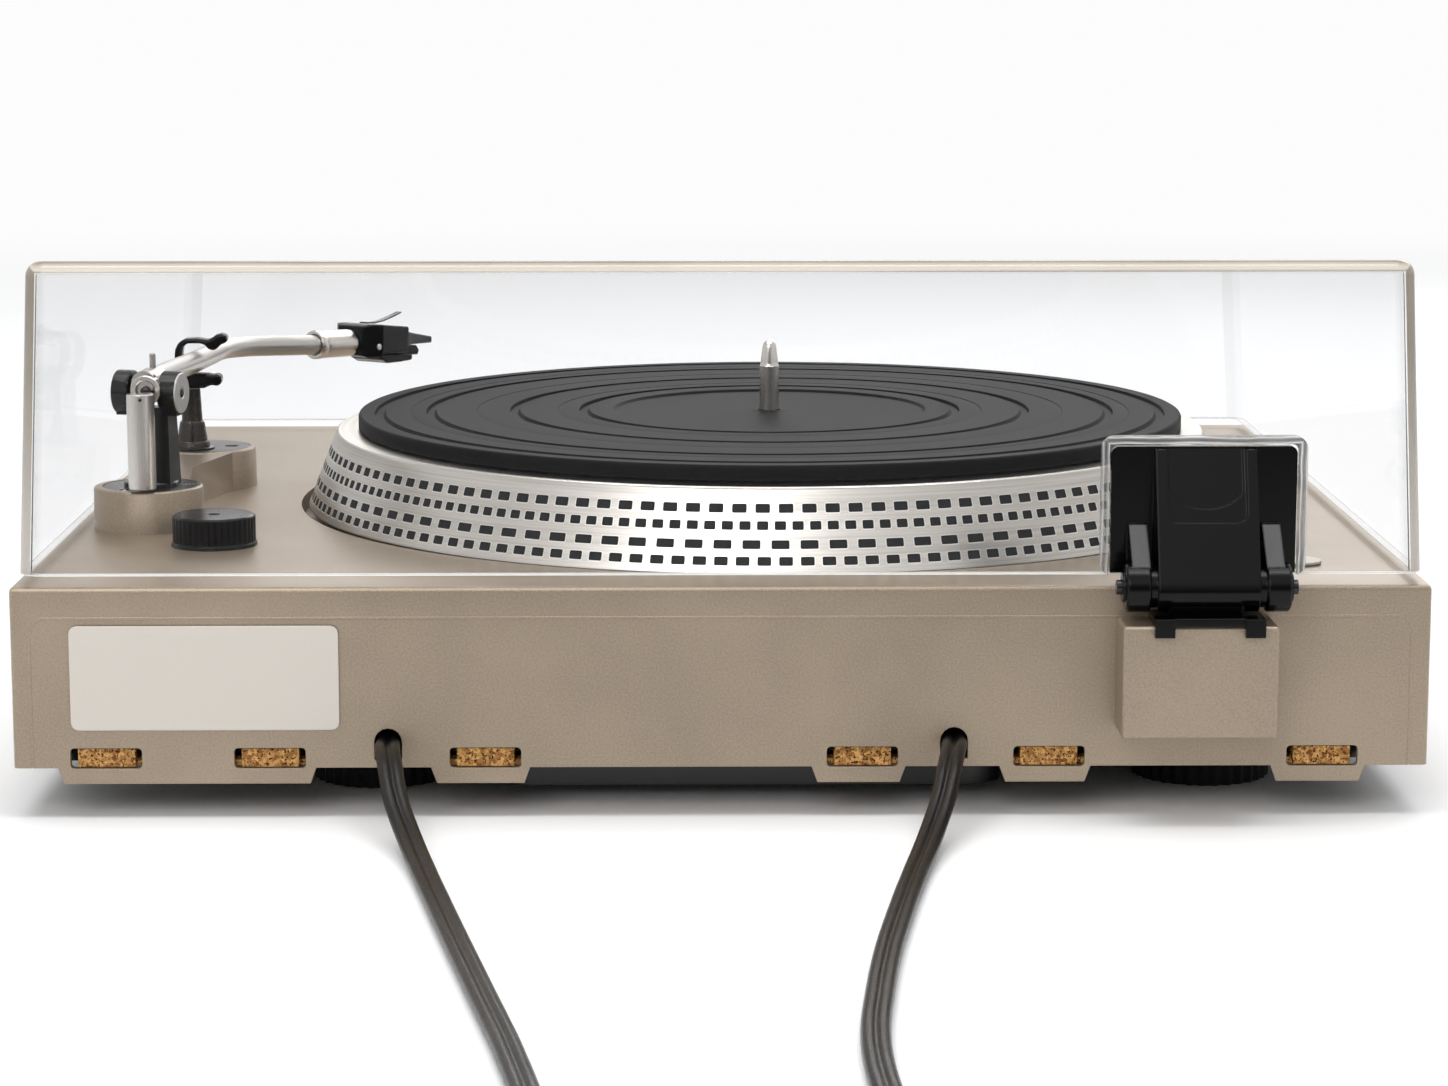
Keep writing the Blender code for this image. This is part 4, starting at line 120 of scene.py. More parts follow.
class Body(Enum):
    """The bodies that pieces ride on."""

    PLINTH = "plinth"
    PLATTER = "platter_unit"
    PIVOT = "arm_pivot"
    TONEARM = "tonearm"
    COLLAR = "collar"
    KNOB = "anti_skate"
    COVER = "cover"


class Slot(Enum):
    """The record's material slots."""

    PAINT = "paint"
    BLACK = "black"
    STEEL = "steel"
    CHROME = "chrome"
    PLATTER = "platter"
    RUBBER = "rubber"
    CLEAR = "clear"
    SHEATH = "sheath"


class Change(Enum):
    """What one form does to another."""

    CUT = "DIFFERENCE"
    UNITE = "UNION"


class FarEnd(Enum):
    """What a cord ends in."""

    PLUG = "plug"
    CONNECTOR = "connector"


def above(height: float) -> float:
    """World Z in metres of a height in millimetres above the plinth's top."""
    return TOP_Z + height * MM


def inward(distance: float) -> float:
    """World Y in metres of a distance in millimetres in from the plinth's back face."""
    return BACK_Y - distance * MM


def raised(profile: Sequence[Point]) -> list[tuple[float, float]]:
    """A profile in millimetres, with heights above the plinth's top, in the row frame."""
    return [(across * MM, above(height)) for across, height in profile]


def scaled(profile: Sequence[Point]) -> list[tuple[float, float]]:
    """A profile in millimetres as metres."""
    return [(a * MM, b * MM) for a, b in profile]


def linear(colour: Sequence[float]) -> Shade:
    """Turn an sRGB colour into linear values.

    Args:
        colour: Red, green and blue from 0 to 255.

    Returns:
        The linear values, with alpha 1.
    """
    values = []
    for channel in colour:
        share = channel / 255
        values.append(share / 12.92 if share <= 0.04045 else ((share + 0.055) / 1.055) ** 2.4)
    return (values[0], values[1], values[2], 1.0)


# Shaders

class Graph:
    """Builds the node tree of a material or a world from small sums."""

    def __init__(self, owner: bpy.types.Material | bpy.types.World) -> None:
        """Start the owner's tree afresh, with its output.

        Args:
            owner: The material or world.
        """
        owner.use_nodes = True
        self.tree = owner.node_tree
        self.tree.nodes.clear()
        kind = "World" if isinstance(owner, bpy.types.World) else "Material"
        self.out = self.tree.nodes.new("ShaderNodeOutput" + kind)

    def node(self, kind: str, inputs: dict[str | int, object] | None = None,
             **settings: object) -> bpy.types.Node:
        """Add a node.

        Args:
            kind: The node's type name.
            inputs: Values or sockets for its inputs.
            settings: Its own properties.

        Returns:
            The new node.
        """
        made = self.tree.nodes.new(kind)
        for key, value in settings.items():
            setattr(made, key, value)
        for key, value in (inputs or {}).items():
            self.feed(made.inputs[key], value)
        return made

    def feed(self, socket: Socket, value: object) -> None:
        """Link a socket, or set a plain value on it.

        Args:
            socket: The input.
            value: Another node's output, or a plain value.
        """
        if isinstance(value, bpy.types.NodeSocket):
            self.tree.links.new(value, socket)
        else:
            socket.default_value = value

    def close(self, shader: Socket) -> None:
        """Show this shader."""
        self.feed(self.out.inputs["Surface"], shader)

    def sum(self, operation: str, a: object, b: object = 0.0, c: object = 0.0) -> Socket:
        """One step of maths.

        Args:
            operation: The step's name.
            a: Its first number or socket.
            b: Its second.
            c: Its third.

        Returns:
            The result.
        """
        made = self.node("ShaderNodeMath", operation=operation)
        for socket, value in zip(made.inputs, (a, b, c)):
            self.feed(socket, value)
        return made.outputs[0]

    def plus(self, a: object, b: object) -> Socket:
        """Two numbers or sockets added."""
        return self.sum("ADD", a, b)

    def minus(self, a: object, b: object) -> Socket:
        """The second taken from the first."""
        return self.sum("SUBTRACT", a, b)

    def times(self, a: object, b: object) -> Socket:
        """Two numbers or sockets multiplied."""
        return self.sum("MULTIPLY", a, b)

    def most(self, a: object, b: object) -> Socket:
        """The larger of two."""
        return self.sum("MAXIMUM", a, b)

    def least(self, a: object, b: object) -> Socket:
        """The smaller of two."""
        return self.sum("MINIMUM", a, b)

    def reach(self, a: Socket, b: Socket) -> Socket:
        """The length of a step a along one axis and b along another."""
        return self.sum("SQRT", self.plus(self.times(a, a), self.times(b, b)))

    def place(self) -> Socket:
        """The point in the object's own coordinates, which are the row frame's at rest."""
        return self.node("ShaderNodeTexCoord").outputs["Object"]

    def parts(self, vector: Socket) -> tuple[Socket, Socket, Socket]:
        """The three parts of a vector."""
        made = self.node("ShaderNodeSeparateXYZ", {0: vector})
        return made.outputs[0], made.outputs[1], made.outputs[2]

    def vector(self, *values: Socket) -> Socket:
        """A vector of up to three parts."""
        return self.node("ShaderNodeCombineXYZ", dict(enumerate(values))).outputs[0]

    def round_platter(self) -> tuple[Socket, Socket, Socket]:
        """Where a point lies round the platter.

        Returns:
            The angle, the distance from the axis and the height.
        """
        x, y, z = self.parts(self.place())
        across, along = self.minus(x, PLATTER.x), self.minus(y, PLATTER.y)
        return self.sum("ARCTAN2", along, across), self.reach(across, along), z

    def noise(self, scale: float, detail: float = 2.0, vector: Socket | None = None) -> Socket:
        """Smooth noise from 0 to 1.

        Args:
            scale: Its scale, per metre.
            detail: How many finer layers it has.
            vector: Where it is read, unless at the point itself.

        Returns:
            The noise.
        """
        made = self.node("ShaderNodeTexNoise", {
            "Vector": vector or self.place(), "Scale": scale, "Detail": detail, "Roughness": 0.5})
        return made.outputs["Fac"]

    def ramp(self, value: Socket, low: float, high: float, out_low: float = 0.0,
             out_high: float = 1.0) -> Socket:
        """A smooth step.

        Args:
            value: What it follows.
            low: The value where it starts.
            high: The value where it ends.
            out_low: What it gives up to its start.
            out_high: What it gives from its end.

        Returns:
            The stepped value.
        """
        made = self.node("ShaderNodeMapRange", {
            "Value": value, "From Min": low, "From Max": high, "To Min": out_low, "To Max": out_high},
            interpolation_type="SMOOTHSTEP")
        return made.outputs[0]

    def spread(self, noise: Socket, low: float = 0.0, high: float = 1.0) -> Socket:
        """Noise spread over its usual span."""
        return self.ramp(noise, *NOISE_SPAN, low, high)

    def mix(self, share: object, a: object, b: object) -> Socket:
        """A blend of two colours.

        Args:
            share: The second colour's share.
            a: The first colour.
            b: The second.

        Returns:
            The colour.
        """
        made = self.node("ShaderNodeMix", data_type="RGBA")
        self.feed(made.inputs[0], share)
        self.feed(made.inputs[6], a)
        self.feed(made.inputs[7], b)
        return made.outputs[2]

    def bands(self, value: Socket, stops: Sequence[tuple[float, Colour]]) -> Socket:
        """Colours that follow one another.

        Args:
            value: What they follow, from 0 to 1.
            stops: Each colour with the value at which it stands.

        Returns:
            The colour.
        """
        made = self.node("ShaderNodeValToRGB", {"Fac": value})
        elements = made.color_ramp.elements
        while len(elements) < len(stops):
            elements.new(0.5)
        for element, (spot, colour) in zip(elements, stops):
            element.position = spot
            element.color = linear(colour)
        return made.outputs[0]

    def bump(self, height: Socket, distance: float, normal: Socket | None = None) -> Socket:
        """A normal tilted by a height.

        Args:
            height: The height.
            distance: What a height of 1 stands for, in metres.
            normal: The normal to start from, unless it is the surface's own.

        Returns:
            The tilted normal.
        """
        made = self.node("ShaderNodeBump", {"Strength": 1.0, "Distance": distance, "Height": height})
        if normal:
            self.feed(made.inputs["Normal"], normal)
        return made.outputs[0]

    def principled(self, inputs: dict[str | int, object]) -> Socket:
        """A Principled shader."""
        return self.node("ShaderNodeBsdfPrincipled", inputs).outputs[0]

    def transparent(self, colour: object) -> Socket:
        """A see-through shader."""
        return self.node("ShaderNodeBsdfTransparent", {"Color": colour}).outputs[0]

    def background(self, colour: Shade, strength: object) -> Socket:
        """A world's shader."""
        return self.node("ShaderNodeBackground", {"Color": colour, "Strength": strength}).outputs[0]

    def blend(self, share: object, a: Socket, b: Socket) -> Socket:
        """A blend of two shaders, by the second one's share."""
        return self.node("ShaderNodeMixShader", {0: share, 1: a, 2: b}).outputs[0]


class Surface(ABC):
    """A finish that can make its own material."""

    name: str

    def material(self) -> bpy.types.Material:
        """Make the material.

        Returns:
            The material.
        """
        made = bpy.data.materials.new(self.name)
        graph = Graph(made)
        graph.close(self.shader(graph))
        return made

    @abstractmethod
    def shader(self, graph: Graph) -> Socket:
        """The finish's shader, made in the material's graph."""


@dataclass(frozen=True)
class Finish(Surface):
    """A plain finish with a fine grain, slow mottling and softened edges.

    Attributes:
        name: The material's name.
        colour: Base colour in sRGB, 0 to 255.
        roughness: Mean roughness.
        metallic: Metallic share.
        grain: Scale of the grain, per metre.
        depth: Height of the grain in metres.
        mottle: How far the colour drifts from place to place.
        edge: Radius that edges appear to have, in metres, or 0 for pieces whose edges are rounded already.
        specular: Specular level.
        drift: Scale of the slow mottling, per metre.
        slow_share: The slow mottling's share in the colour. The grain has the rest.
        swing: How far the roughness strays with the grain, as a share of its mean.
    """

    name: str
    colour: Colour
    roughness: float
    metallic: float = 0.0
    grain: float = 1500.0
    depth: float = 0.00002
    mottle: float = 0.06
    edge: float = 0.0003
    specular: float = 0.5
    drift: float = 22.0
    slow_share: float = 0.4
    swing: float = 0.12

    def shader(self, graph: Graph) -> Socket:
        """The shader, with colour, roughness and height that follow the noise.

        Args:
            graph: The material's graph.

        Returns:
            The shader.
        """
        base = linear(self.colour)[:3]
        dark = tuple(part * (1 - self.mottle) for part in base) + (1.0,)
        light = tuple(min(1.0, part * (1 + self.mottle)) for part in base) + (1.0,)
        slow = graph.noise(self.drift, 3.0)
        fine = graph.noise(self.grain)
        share = graph.plus(graph.times(slow, self.slow_share), graph.times(fine, 1 - self.slow_share))
        rough = graph.spread(fine, self.roughness * (1 - self.swing),
                             min(1.0, self.roughness * (1 + self.swing)))
        normal = None
        if self.edge:
            normal = graph.node("ShaderNodeBevel", {"Radius": self.edge}, samples=4).outputs[0]
        return graph.principled({
            "Base Color": graph.mix(graph.spread(share), dark, light), "Roughness": rough,
            "Metallic": self.metallic, "Specular IOR Level": self.specular,
            "Normal": graph.bump(fine, self.depth, normal)})


@dataclass(frozen=True)
class MatRubber(Surface):
    """Matte black rubber with faint rings."""

    name: str = "mat_rubber"
    dark: Colour = (15, 15, 16)
    light: Colour = (23, 23, 24)
    roughness: float = 0.55
    specular: float = 0.06
    ring_scale: float = 900.0
    grain_scale: float = 1500.0
    depth: float = 0.000006

    def shader(self, graph: Graph) -> Socket:
        """The shader, whose rings follow the distance from the axis.

        Args:
            graph: The material's graph.

        Returns:
            The shader.
        """
        _, radius, _ = graph.round_platter()
        rings = graph.noise(self.ring_scale, 1.0, graph.vector(radius))
        fine = graph.noise(self.grain_scale)
        height = graph.plus(rings, graph.times(fine, 0.5))
        shade = graph.plus(graph.times(fine, 0.6), graph.times(rings, 0.4))
        return graph.principled({
            "Base Color": graph.mix(shade, linear(self.dark), linear(self.light)),
            "Roughness": self.roughness, "Specular IOR Level": self.specular,
            "Normal": graph.bump(height, self.depth)})


@dataclass(frozen=True)
class StrobeRow:
    """One row of strobe dots on the platter's skirt.

    Attributes:
        height: World Z of the row's middle.
        count: How many dots go round.
        fill: Share of the pitch that a dot takes.
        half: Half of a dot's height in metres.
        corner: Radius of a dot's corners in metres.
        whole: Turns added to keep the angle's share positive.
    """

    height: float
    count: int
    fill: float
    half: float = 1.3 * MM
    corner: float = 0.45 * MM
    whole: float = 400.0

    def masks(self, graph: Graph, angle: Socket, radius: Socket, z: Socket) -> tuple[Socket, Socket]:
        """The dots as 1 on the dot and 0 beside it, and the thin rim round each, which takes a painted
        highlight.

        Args:
            graph: The material's graph.
            angle: The angle round the platter.
            radius: The distance from the platter's axis.
            z: The height.

        Returns:
            The dot mask and the rim mask.
        """
        turn = graph.sum("MULTIPLY_ADD", angle, self.count / math.tau, self.whole)
        offset = graph.minus(graph.sum("FRACT", turn), 0.5)
        pitch = graph.times(radius, math.tau / self.count)
        along = graph.sum("ABSOLUTE", graph.times(offset, pitch))
        half = graph.times(pitch, self.fill / 2)
        dx = graph.most(graph.plus(graph.minus(along, half), self.corner), 0.0)
        rise = graph.sum("ABSOLUTE", graph.minus(z, self.height))
        dz = graph.most(graph.minus(rise, self.half - self.corner), 0.0)
        far = graph.reach(dx, dz)
        dot = graph.ramp(far, self.corner - 0.12 * MM, self.corner + 0.06 * MM, 1.0, 0.0)
        wide = graph.ramp(far, self.corner + 0.15 * MM, self.corner + 0.4 * MM, 1.0, 0.0)
        return dot, graph.minus(wide, dot)


@dataclass(frozen=True)
class PlatterMetal(Surface):
    """Turned aluminium with rows of dark strobe dots round the skirt, and a painted highlight on the rim
    round each dot.
    """

    name: str = "platter_metal"
    rows: tuple[StrobeRow, ...] = (StrobeRow(0.0901, 133, 0.62, 1.35 * MM), StrobeRow(0.0850, 178, 0.64),
                                   StrobeRow(0.0794, 110, 0.62), StrobeRow(0.0745, 149, 0.63))
    dark: Colour = (186, 182, 176)
    light: Colour = (214, 210, 204)
    # Painted highlight on the edge round each strobe dot.
    rim: Colour = (240, 238, 234)
    dot: Colour = (25, 26, 28)
    line_scale: float = 2600.0
    streak_scale: float = 700.0
    streak_stretch: float = 0.004
    anisotropy: float = 0.7

    def shader(self, graph: Graph) -> Socket:
        """The shader, with turning lines, streaks, dots and painted highlights on the rims round them.

        Args:
            graph: The material's graph.

        Returns:
            The shader.
        """
        angle, radius, z = graph.round_platter()
        dots, rim_highlights = self.rows[0].masks(graph, angle, radius, z)
        for row in self.rows[1:]:
            dot, rim = row.masks(graph, angle, radius, z)
            dots, rim_highlights = graph.most(dots, dot), graph.most(rim_highlights, rim)
        lines = graph.noise(self.line_scale, 2.0, graph.vector(radius, z))
        streaks = graph.noise(self.streak_scale, 3.0,
                              graph.vector(graph.times(angle, self.streak_stretch), z, radius))
        shade = graph.plus(graph.times(lines, 0.45), graph.times(streaks, 0.55))
        metal = graph.mix(graph.spread(shade), linear(self.dark), linear(self.light))
        # The thin rim round each dot is painted near-white as a highlight on the dot's edge.
        metal = graph.mix(graph.times(rim_highlights, 0.7), metal, linear(self.rim))
        tangent = graph.node("ShaderNodeTangent", direction_type="RADIAL", axis="Z").outputs[0]
        height = graph.plus(graph.times(lines, 0.0012), graph.times(dots, -0.3))
        return graph.principled({
            "Base Color": graph.mix(dots, metal, linear(self.dot)), "Metallic": graph.minus(1.0, dots),
            "Roughness": graph.ramp(dots, 0.0, 1.0, 0.3, 0.6), "Anisotropic": self.anisotropy,
            "Specular IOR Level": 0.3, "Tangent": tangent, "Normal": graph.bump(height, MM)})


@dataclass(frozen=True)
class ClearCover(Surface):
    """The cover: clear flat walls, painted tan reflections and highlights in the rounded edges at its back,
    and a painted highlight on its lower edge.

    Attributes:
        name: The material's name.
        wall: World X of the side walls at the plinth's top.
        draft: How far the side walls lean in for each metre up.
        band_width: Width of the upper edge's bands in metres.
        bands: The upper edge's painted reflection and highlight colours, from its top down.
        side_low: The side edges' painted reflection at their lower end.
        side_high: Their painted reflection at their upper end.
        outline: The darker painted line at their very rim.
        gleam: The painted sheen that slow noise adds.
        foot: The lower edge's painted highlight.
        clear: What flat walls let through.
        bent: What bent walls let through, less than flat walls, as painted shade.
    """

    name: str = "clear_cover"
    wall: float = 0.21292
    draft: float = 0.04
    band_width: float = 0.0033
    # Painted reflections of the plinth and painted highlights across the upper edge's rounding.
    bands: tuple[tuple[float, Colour], ...] = (
        (0.0, (118, 106, 90)), (0.2, (134, 121, 104)), (0.36, (172, 159, 142)), (0.5, (196, 186, 170)),
        (0.75, (206, 198, 186)), (0.88, (184, 173, 158)), (0.95, (118, 110, 100)), (1.0, (214, 210, 204)))
    # Painted tan reflections of the plinth down the side edges, and a darker painted line at their very rim.
    side_low: Colour = (176, 168, 158)
    side_high: Colour = (124, 112, 95)
    outline: Colour = (104, 93, 79)
    # Painted sheen.
    gleam: Colour = (226, 218, 204)
    # Painted highlight on the lower edge.
    foot: Colour = (246, 245, 243)
    clear: Shade = (0.966, 0.966, 0.968, 1.0)
    # Painted shade where the walls bend.
    bent: Shade = (0.93, 0.93, 0.93, 1.0)

    def shader(self, graph: Graph) -> Socket:
        """The shader: walls, then the painted reflections and highlights in the edges at the back, then the
        painted highlight on the lower edge.

        Args:
            graph: The material's graph.

        Returns:
            The shader.
        """
        place = graph.node("ShaderNodeTexCoord")
        x, y, z = graph.parts(place.outputs["Object"])
        rise = graph.minus(z, TOP_Z)
        fall = graph.minus(COVER_TOP * MM, rise)
        side = graph.minus(graph.sum("MULTIPLY_ADD", rise, -self.draft, self.wall), graph.sum("ABSOLUTE", x))
        back = graph.ramp(y, BACK_Y - 12.5 * MM, BACK_Y - 11.5 * MM)
        near = graph.least(side, graph.times(fall, 1.18))
        # Mask of the rounded edges at the back, which take the painted reflections and highlights.
        rim = graph.times(graph.ramp(near, 4.0 * MM, 3.8 * MM), back)
        # Mask of the lower edge, which takes the painted highlight.
        low = graph.ramp(rise, 3.6 * MM, 3.1 * MM)
        edge = graph.principled({"Base Color": self.painted_edge_light(graph, rise, fall, side), "Roughness": 0.1,
                                 "Specular IOR Level": 0.6})
        # The lower edge is painted near-white as a highlight.
        foot = graph.principled({"Base Color": linear(self.foot), "Roughness": 0.15})
        edged = graph.blend(graph.times(rim, 0.94), self.walls(graph, place.outputs["Normal"]), edge)
        return graph.blend(graph.times(low, 0.75), edged, foot)

    def painted_edge_light(self, graph: Graph, rise: Socket, fall: Socket, side: Socket) -> Socket:
        """The colour of the painted reflections and highlights in the edges.

        Args:
            graph: The material's graph.
            rise: The height above the plinth's top.
            fall: The distance below the hood's top.
            side: The distance in from the side wall.

        Returns:
            The colour.
        """
        # Painted reflection down the side edges, darker towards their upper ends, with a darker painted line
        # at their very rim.
        lower = graph.mix(graph.ramp(rise, 78 * MM, 4 * MM), linear(self.side_high), linear(self.side_low))
        lower = graph.mix(graph.ramp(side, 0.2 * MM, 0.7 * MM), linear(self.outline), lower)
        upper = graph.ramp(graph.minus(fall, graph.times(side, 0.85)), 0.4 * MM, -0.4 * MM)
        # Painted reflection and highlight bands across the upper edge.
        painted_edge_light = graph.mix(upper, lower, graph.bands(graph.sum("DIVIDE", fall, self.band_width), self.bands))
        # Slow noise adds a painted sheen.
        return graph.mix(graph.spread(graph.noise(25.0), 0.0, 0.12), painted_edge_light, linear(self.gleam))

    def walls(self, graph: Graph, normal: Socket) -> Socket:
        """The clear walls, which let less through where they bend, as painted shade.

        Args:
            graph: The material's graph.
            normal: The surface's own direction.

        Returns:
            The shader.
        """
        parts = [graph.sum("ABSOLUTE", part) for part in graph.parts(normal)]
        flat = graph.most(graph.most(parts[0], parts[2]), parts[1])
        # Bent walls let less through, as painted shade.
        through = graph.transparent(graph.mix(graph.ramp(flat, 0.9985, 0.985), self.clear, self.bent))
        shine = graph.node("ShaderNodeBsdfGlossy", {"Color": (0.95, 0.95, 0.95, 1.0), "Roughness": 0.02})
        fresnel = graph.node("ShaderNodeFresnel", {"IOR": 1.3}).outputs[0]
        return graph.blend(graph.least(fresnel, 0.07), through, shine.outputs[0])


@dataclass(frozen=True)
class ClearRim(Surface):
    """The thick moulded rim round the hinge's pocket: clear, with painted grey reflections and white
    highlights in streaks along it.

    Attributes:
        name: The material's name.
        half: Half of the rim's outer width in metres.
        top: Height of its outer edge in millimetres.
        width: Width of its bands in metres.
        bands: Their painted reflection and highlight colours, from the outside in.
    """

    name: str = "clear_rim"
    half: float = 0.0310
    top: float = 45.7
    width: float = 0.0025
    # Painted grey reflections and white highlights across the rim.
    bands: tuple[tuple[float, Colour], ...] = (
        (0.0, (120, 118, 114)), (0.14, (244, 243, 241)), (0.3, (150, 148, 145)), (0.55, (92, 90, 88)),
        (0.72, (176, 174, 171)), (0.86, (250, 250, 249)), (1.0, (90, 88, 86)))

    def shader(self, graph: Graph) -> Socket:
        """The shader, whose painted reflection and highlight bands waver a little and come and go.

        Args:
            graph: The material's graph.

        Returns:
            The shader.
        """
        x, _, z = graph.parts(graph.place())
        aside = graph.minus(self.half, graph.sum("ABSOLUTE", graph.minus(x, HINGE_X)))
        below = graph.minus(above(self.top), z)
        across = graph.sum("DIVIDE", graph.least(aside, below), self.width)
        across = graph.plus(across, graph.spread(graph.noise(60.0), -0.1, 0.1))
        # The bands are painted reflections and highlights of the rim's rounded edge.
        body = graph.principled({"Base Color": graph.bands(across, self.bands), "Roughness": 0.08,
                                 "Coat Weight": 0.5})
        share = graph.spread(graph.noise(40.0), 0.35, 0.75)
        return graph.blend(share, graph.transparent((0.92, 0.92, 0.92, 1.0)), body)


@dataclass(frozen=True)
class CorkGrain(Surface):
    """Granular cork: brown grains with dark pits."""

    name: str = "cork_grain"
    dark: Colour = (118, 74, 34)
    light: Colour = (214, 164, 100)
    pit: Colour = (52, 30, 14)
    grain_scale: float = 900.0
    pit_scale: float = 1300.0
    depth: float = 0.0006

    def shader(self, graph: Graph) -> Socket:
        """The shader, with one colour for each grain.

        Args:
            graph: The material's graph.

        Returns:
            The shader.
        """
        cells = graph.node("ShaderNodeTexVoronoi", {"Vector": graph.place(), "Scale": self.grain_scale})
        shade = graph.parts(cells.outputs["Color"])[0]
        colour = graph.mix(shade, linear(self.dark), linear(self.light))
        pits = graph.ramp(graph.noise(self.pit_scale, 3.0), 0.36, 0.46)
        height = graph.times(cells.outputs["Distance"], -1.0)
        return graph.principled({
            "Base Color": graph.mix(pits, linear(self.pit), colour), "Roughness": 0.9,
            "Specular IOR Level": 0.2, "Normal": graph.bump(height, self.depth)})


@dataclass(frozen=True)
class PaleFloor(Surface):
    """A pale floor that turns into the white of the background away from the object.

    Attributes:
        name: The material's name.
        paper: The floor's colour.
        glow: What the camera sees far away.
        shade: What shiny pieces see of the floor behind the camera.
    """

    name: str = "pale_floor"
    paper: Shade = (0.93, 0.93, 0.93, 1.0)
    glow: Shade = (0.98, 0.98, 0.98, 1.0)
    shade: Shade = (0.22, 0.22, 0.22, 1.0)

    def shader(self, graph: Graph) -> Socket:
        """The shader, by place and by kind of ray.

        Args:
            graph: The material's graph.

        Returns:
            The shader.
        """
        x, y, _ = graph.parts(graph.place())
        path = graph.node("ShaderNodeLightPath")
        paper = graph.principled({"Base Color": self.paper, "Roughness": 0.9, "Specular IOR Level": 0.1})
        shade = graph.node("ShaderNodeBsdfDiffuse", {"Color": self.shade}).outputs[0]
        glow = graph.node("ShaderNodeEmission", {"Color": self.glow, "Strength": 1.0}).outputs[0]
        behind = graph.times(graph.ramp(y, 0.45, 1.1), path.outputs["Is Glossy Ray"])
        far = graph.times(graph.ramp(graph.reach(x, y), 0.9, 2.2), path.outputs["Is Camera Ray"])
        return graph.blend(far, graph.blend(behind, paper, shade), glow)


PAINT = Finish("warm_grey_paint", (154, 139, 121), 0.36, 0.5, 1600.0, 0.00003, 0.16)
POD_PAINT = replace(PAINT, name="warm_grey_pod_paint", edge=0.0)
BLACK = Finish("satin_black", (5, 5, 6), 0.22, 0.0, 6000.0, 0.000001, 0.02, 0.0, specular=0.45)
MOULDED = Finish("moulded_black", (3, 3, 4), 0.16, 0.0, 6000.0, 0.0000015, 0.02, 0.0007, specular=0.2)
GUNMETAL = Finish("dark_pillar_metal", (62, 58, 55), 0.26, 0.8, 4000.0, 0.000001, 0.06, 0.0, specular=0.4)
LABEL = Finish("label_face", (203, 195, 186), 0.5, grain=3000.0, depth=0.000003, mottle=0.015)
STEEL = Finish("brushed_steel", (196, 192, 186), 0.26, 1.0, 5000.0, 0.000001, 0.02, 0.0)
SATIN = Finish("satin_chrome", (214, 210, 204), 0.24, 1.0, 5000.0, 0.000001, 0.02, 0.0)
TUBE = Finish("satin_tube", (196, 193, 189), 0.34, 1.0, 5000.0, 0.000001, 0.03, 0.0)
CHROME = Finish("polished_chrome", (214, 212, 208), 0.09, 1.0, depth=0.000001, mottle=0.01)
CAP = Finish("bearing_cap_face", (206, 205, 202), 0.34, 0.55, 5000.0, 0.000001, 0.03, 0.0)
BRASS = Finish("turned_brass", (190, 150, 80), 0.3, 1.0)
MAGNET = Finish("sintered_magnet", (64, 64, 66), 0.6)
BOARD = Finish("circuit_board", (30, 90, 45), 0.5)
FRONT = Finish("satin_front_metal", (150, 145, 138), 0.35, 0.9)
SHEATH = Finish("cord_sheath", (9, 9, 10), 0.34, 0.0, 900.0, 0.000006, 0.05, 0.0, specular=0.4)
RUBBER = Finish("foot_rubber", (14, 14, 15), 0.6, grain=1800.0, specular=0.2)
GREY = Finish("grey_disc", (96, 94, 92), 0.35, 0.7)
DARK_PLATE = Finish("pod_plate_face", (46, 45, 44), 0.3, 0.5, depth=0.000002)


# Forms

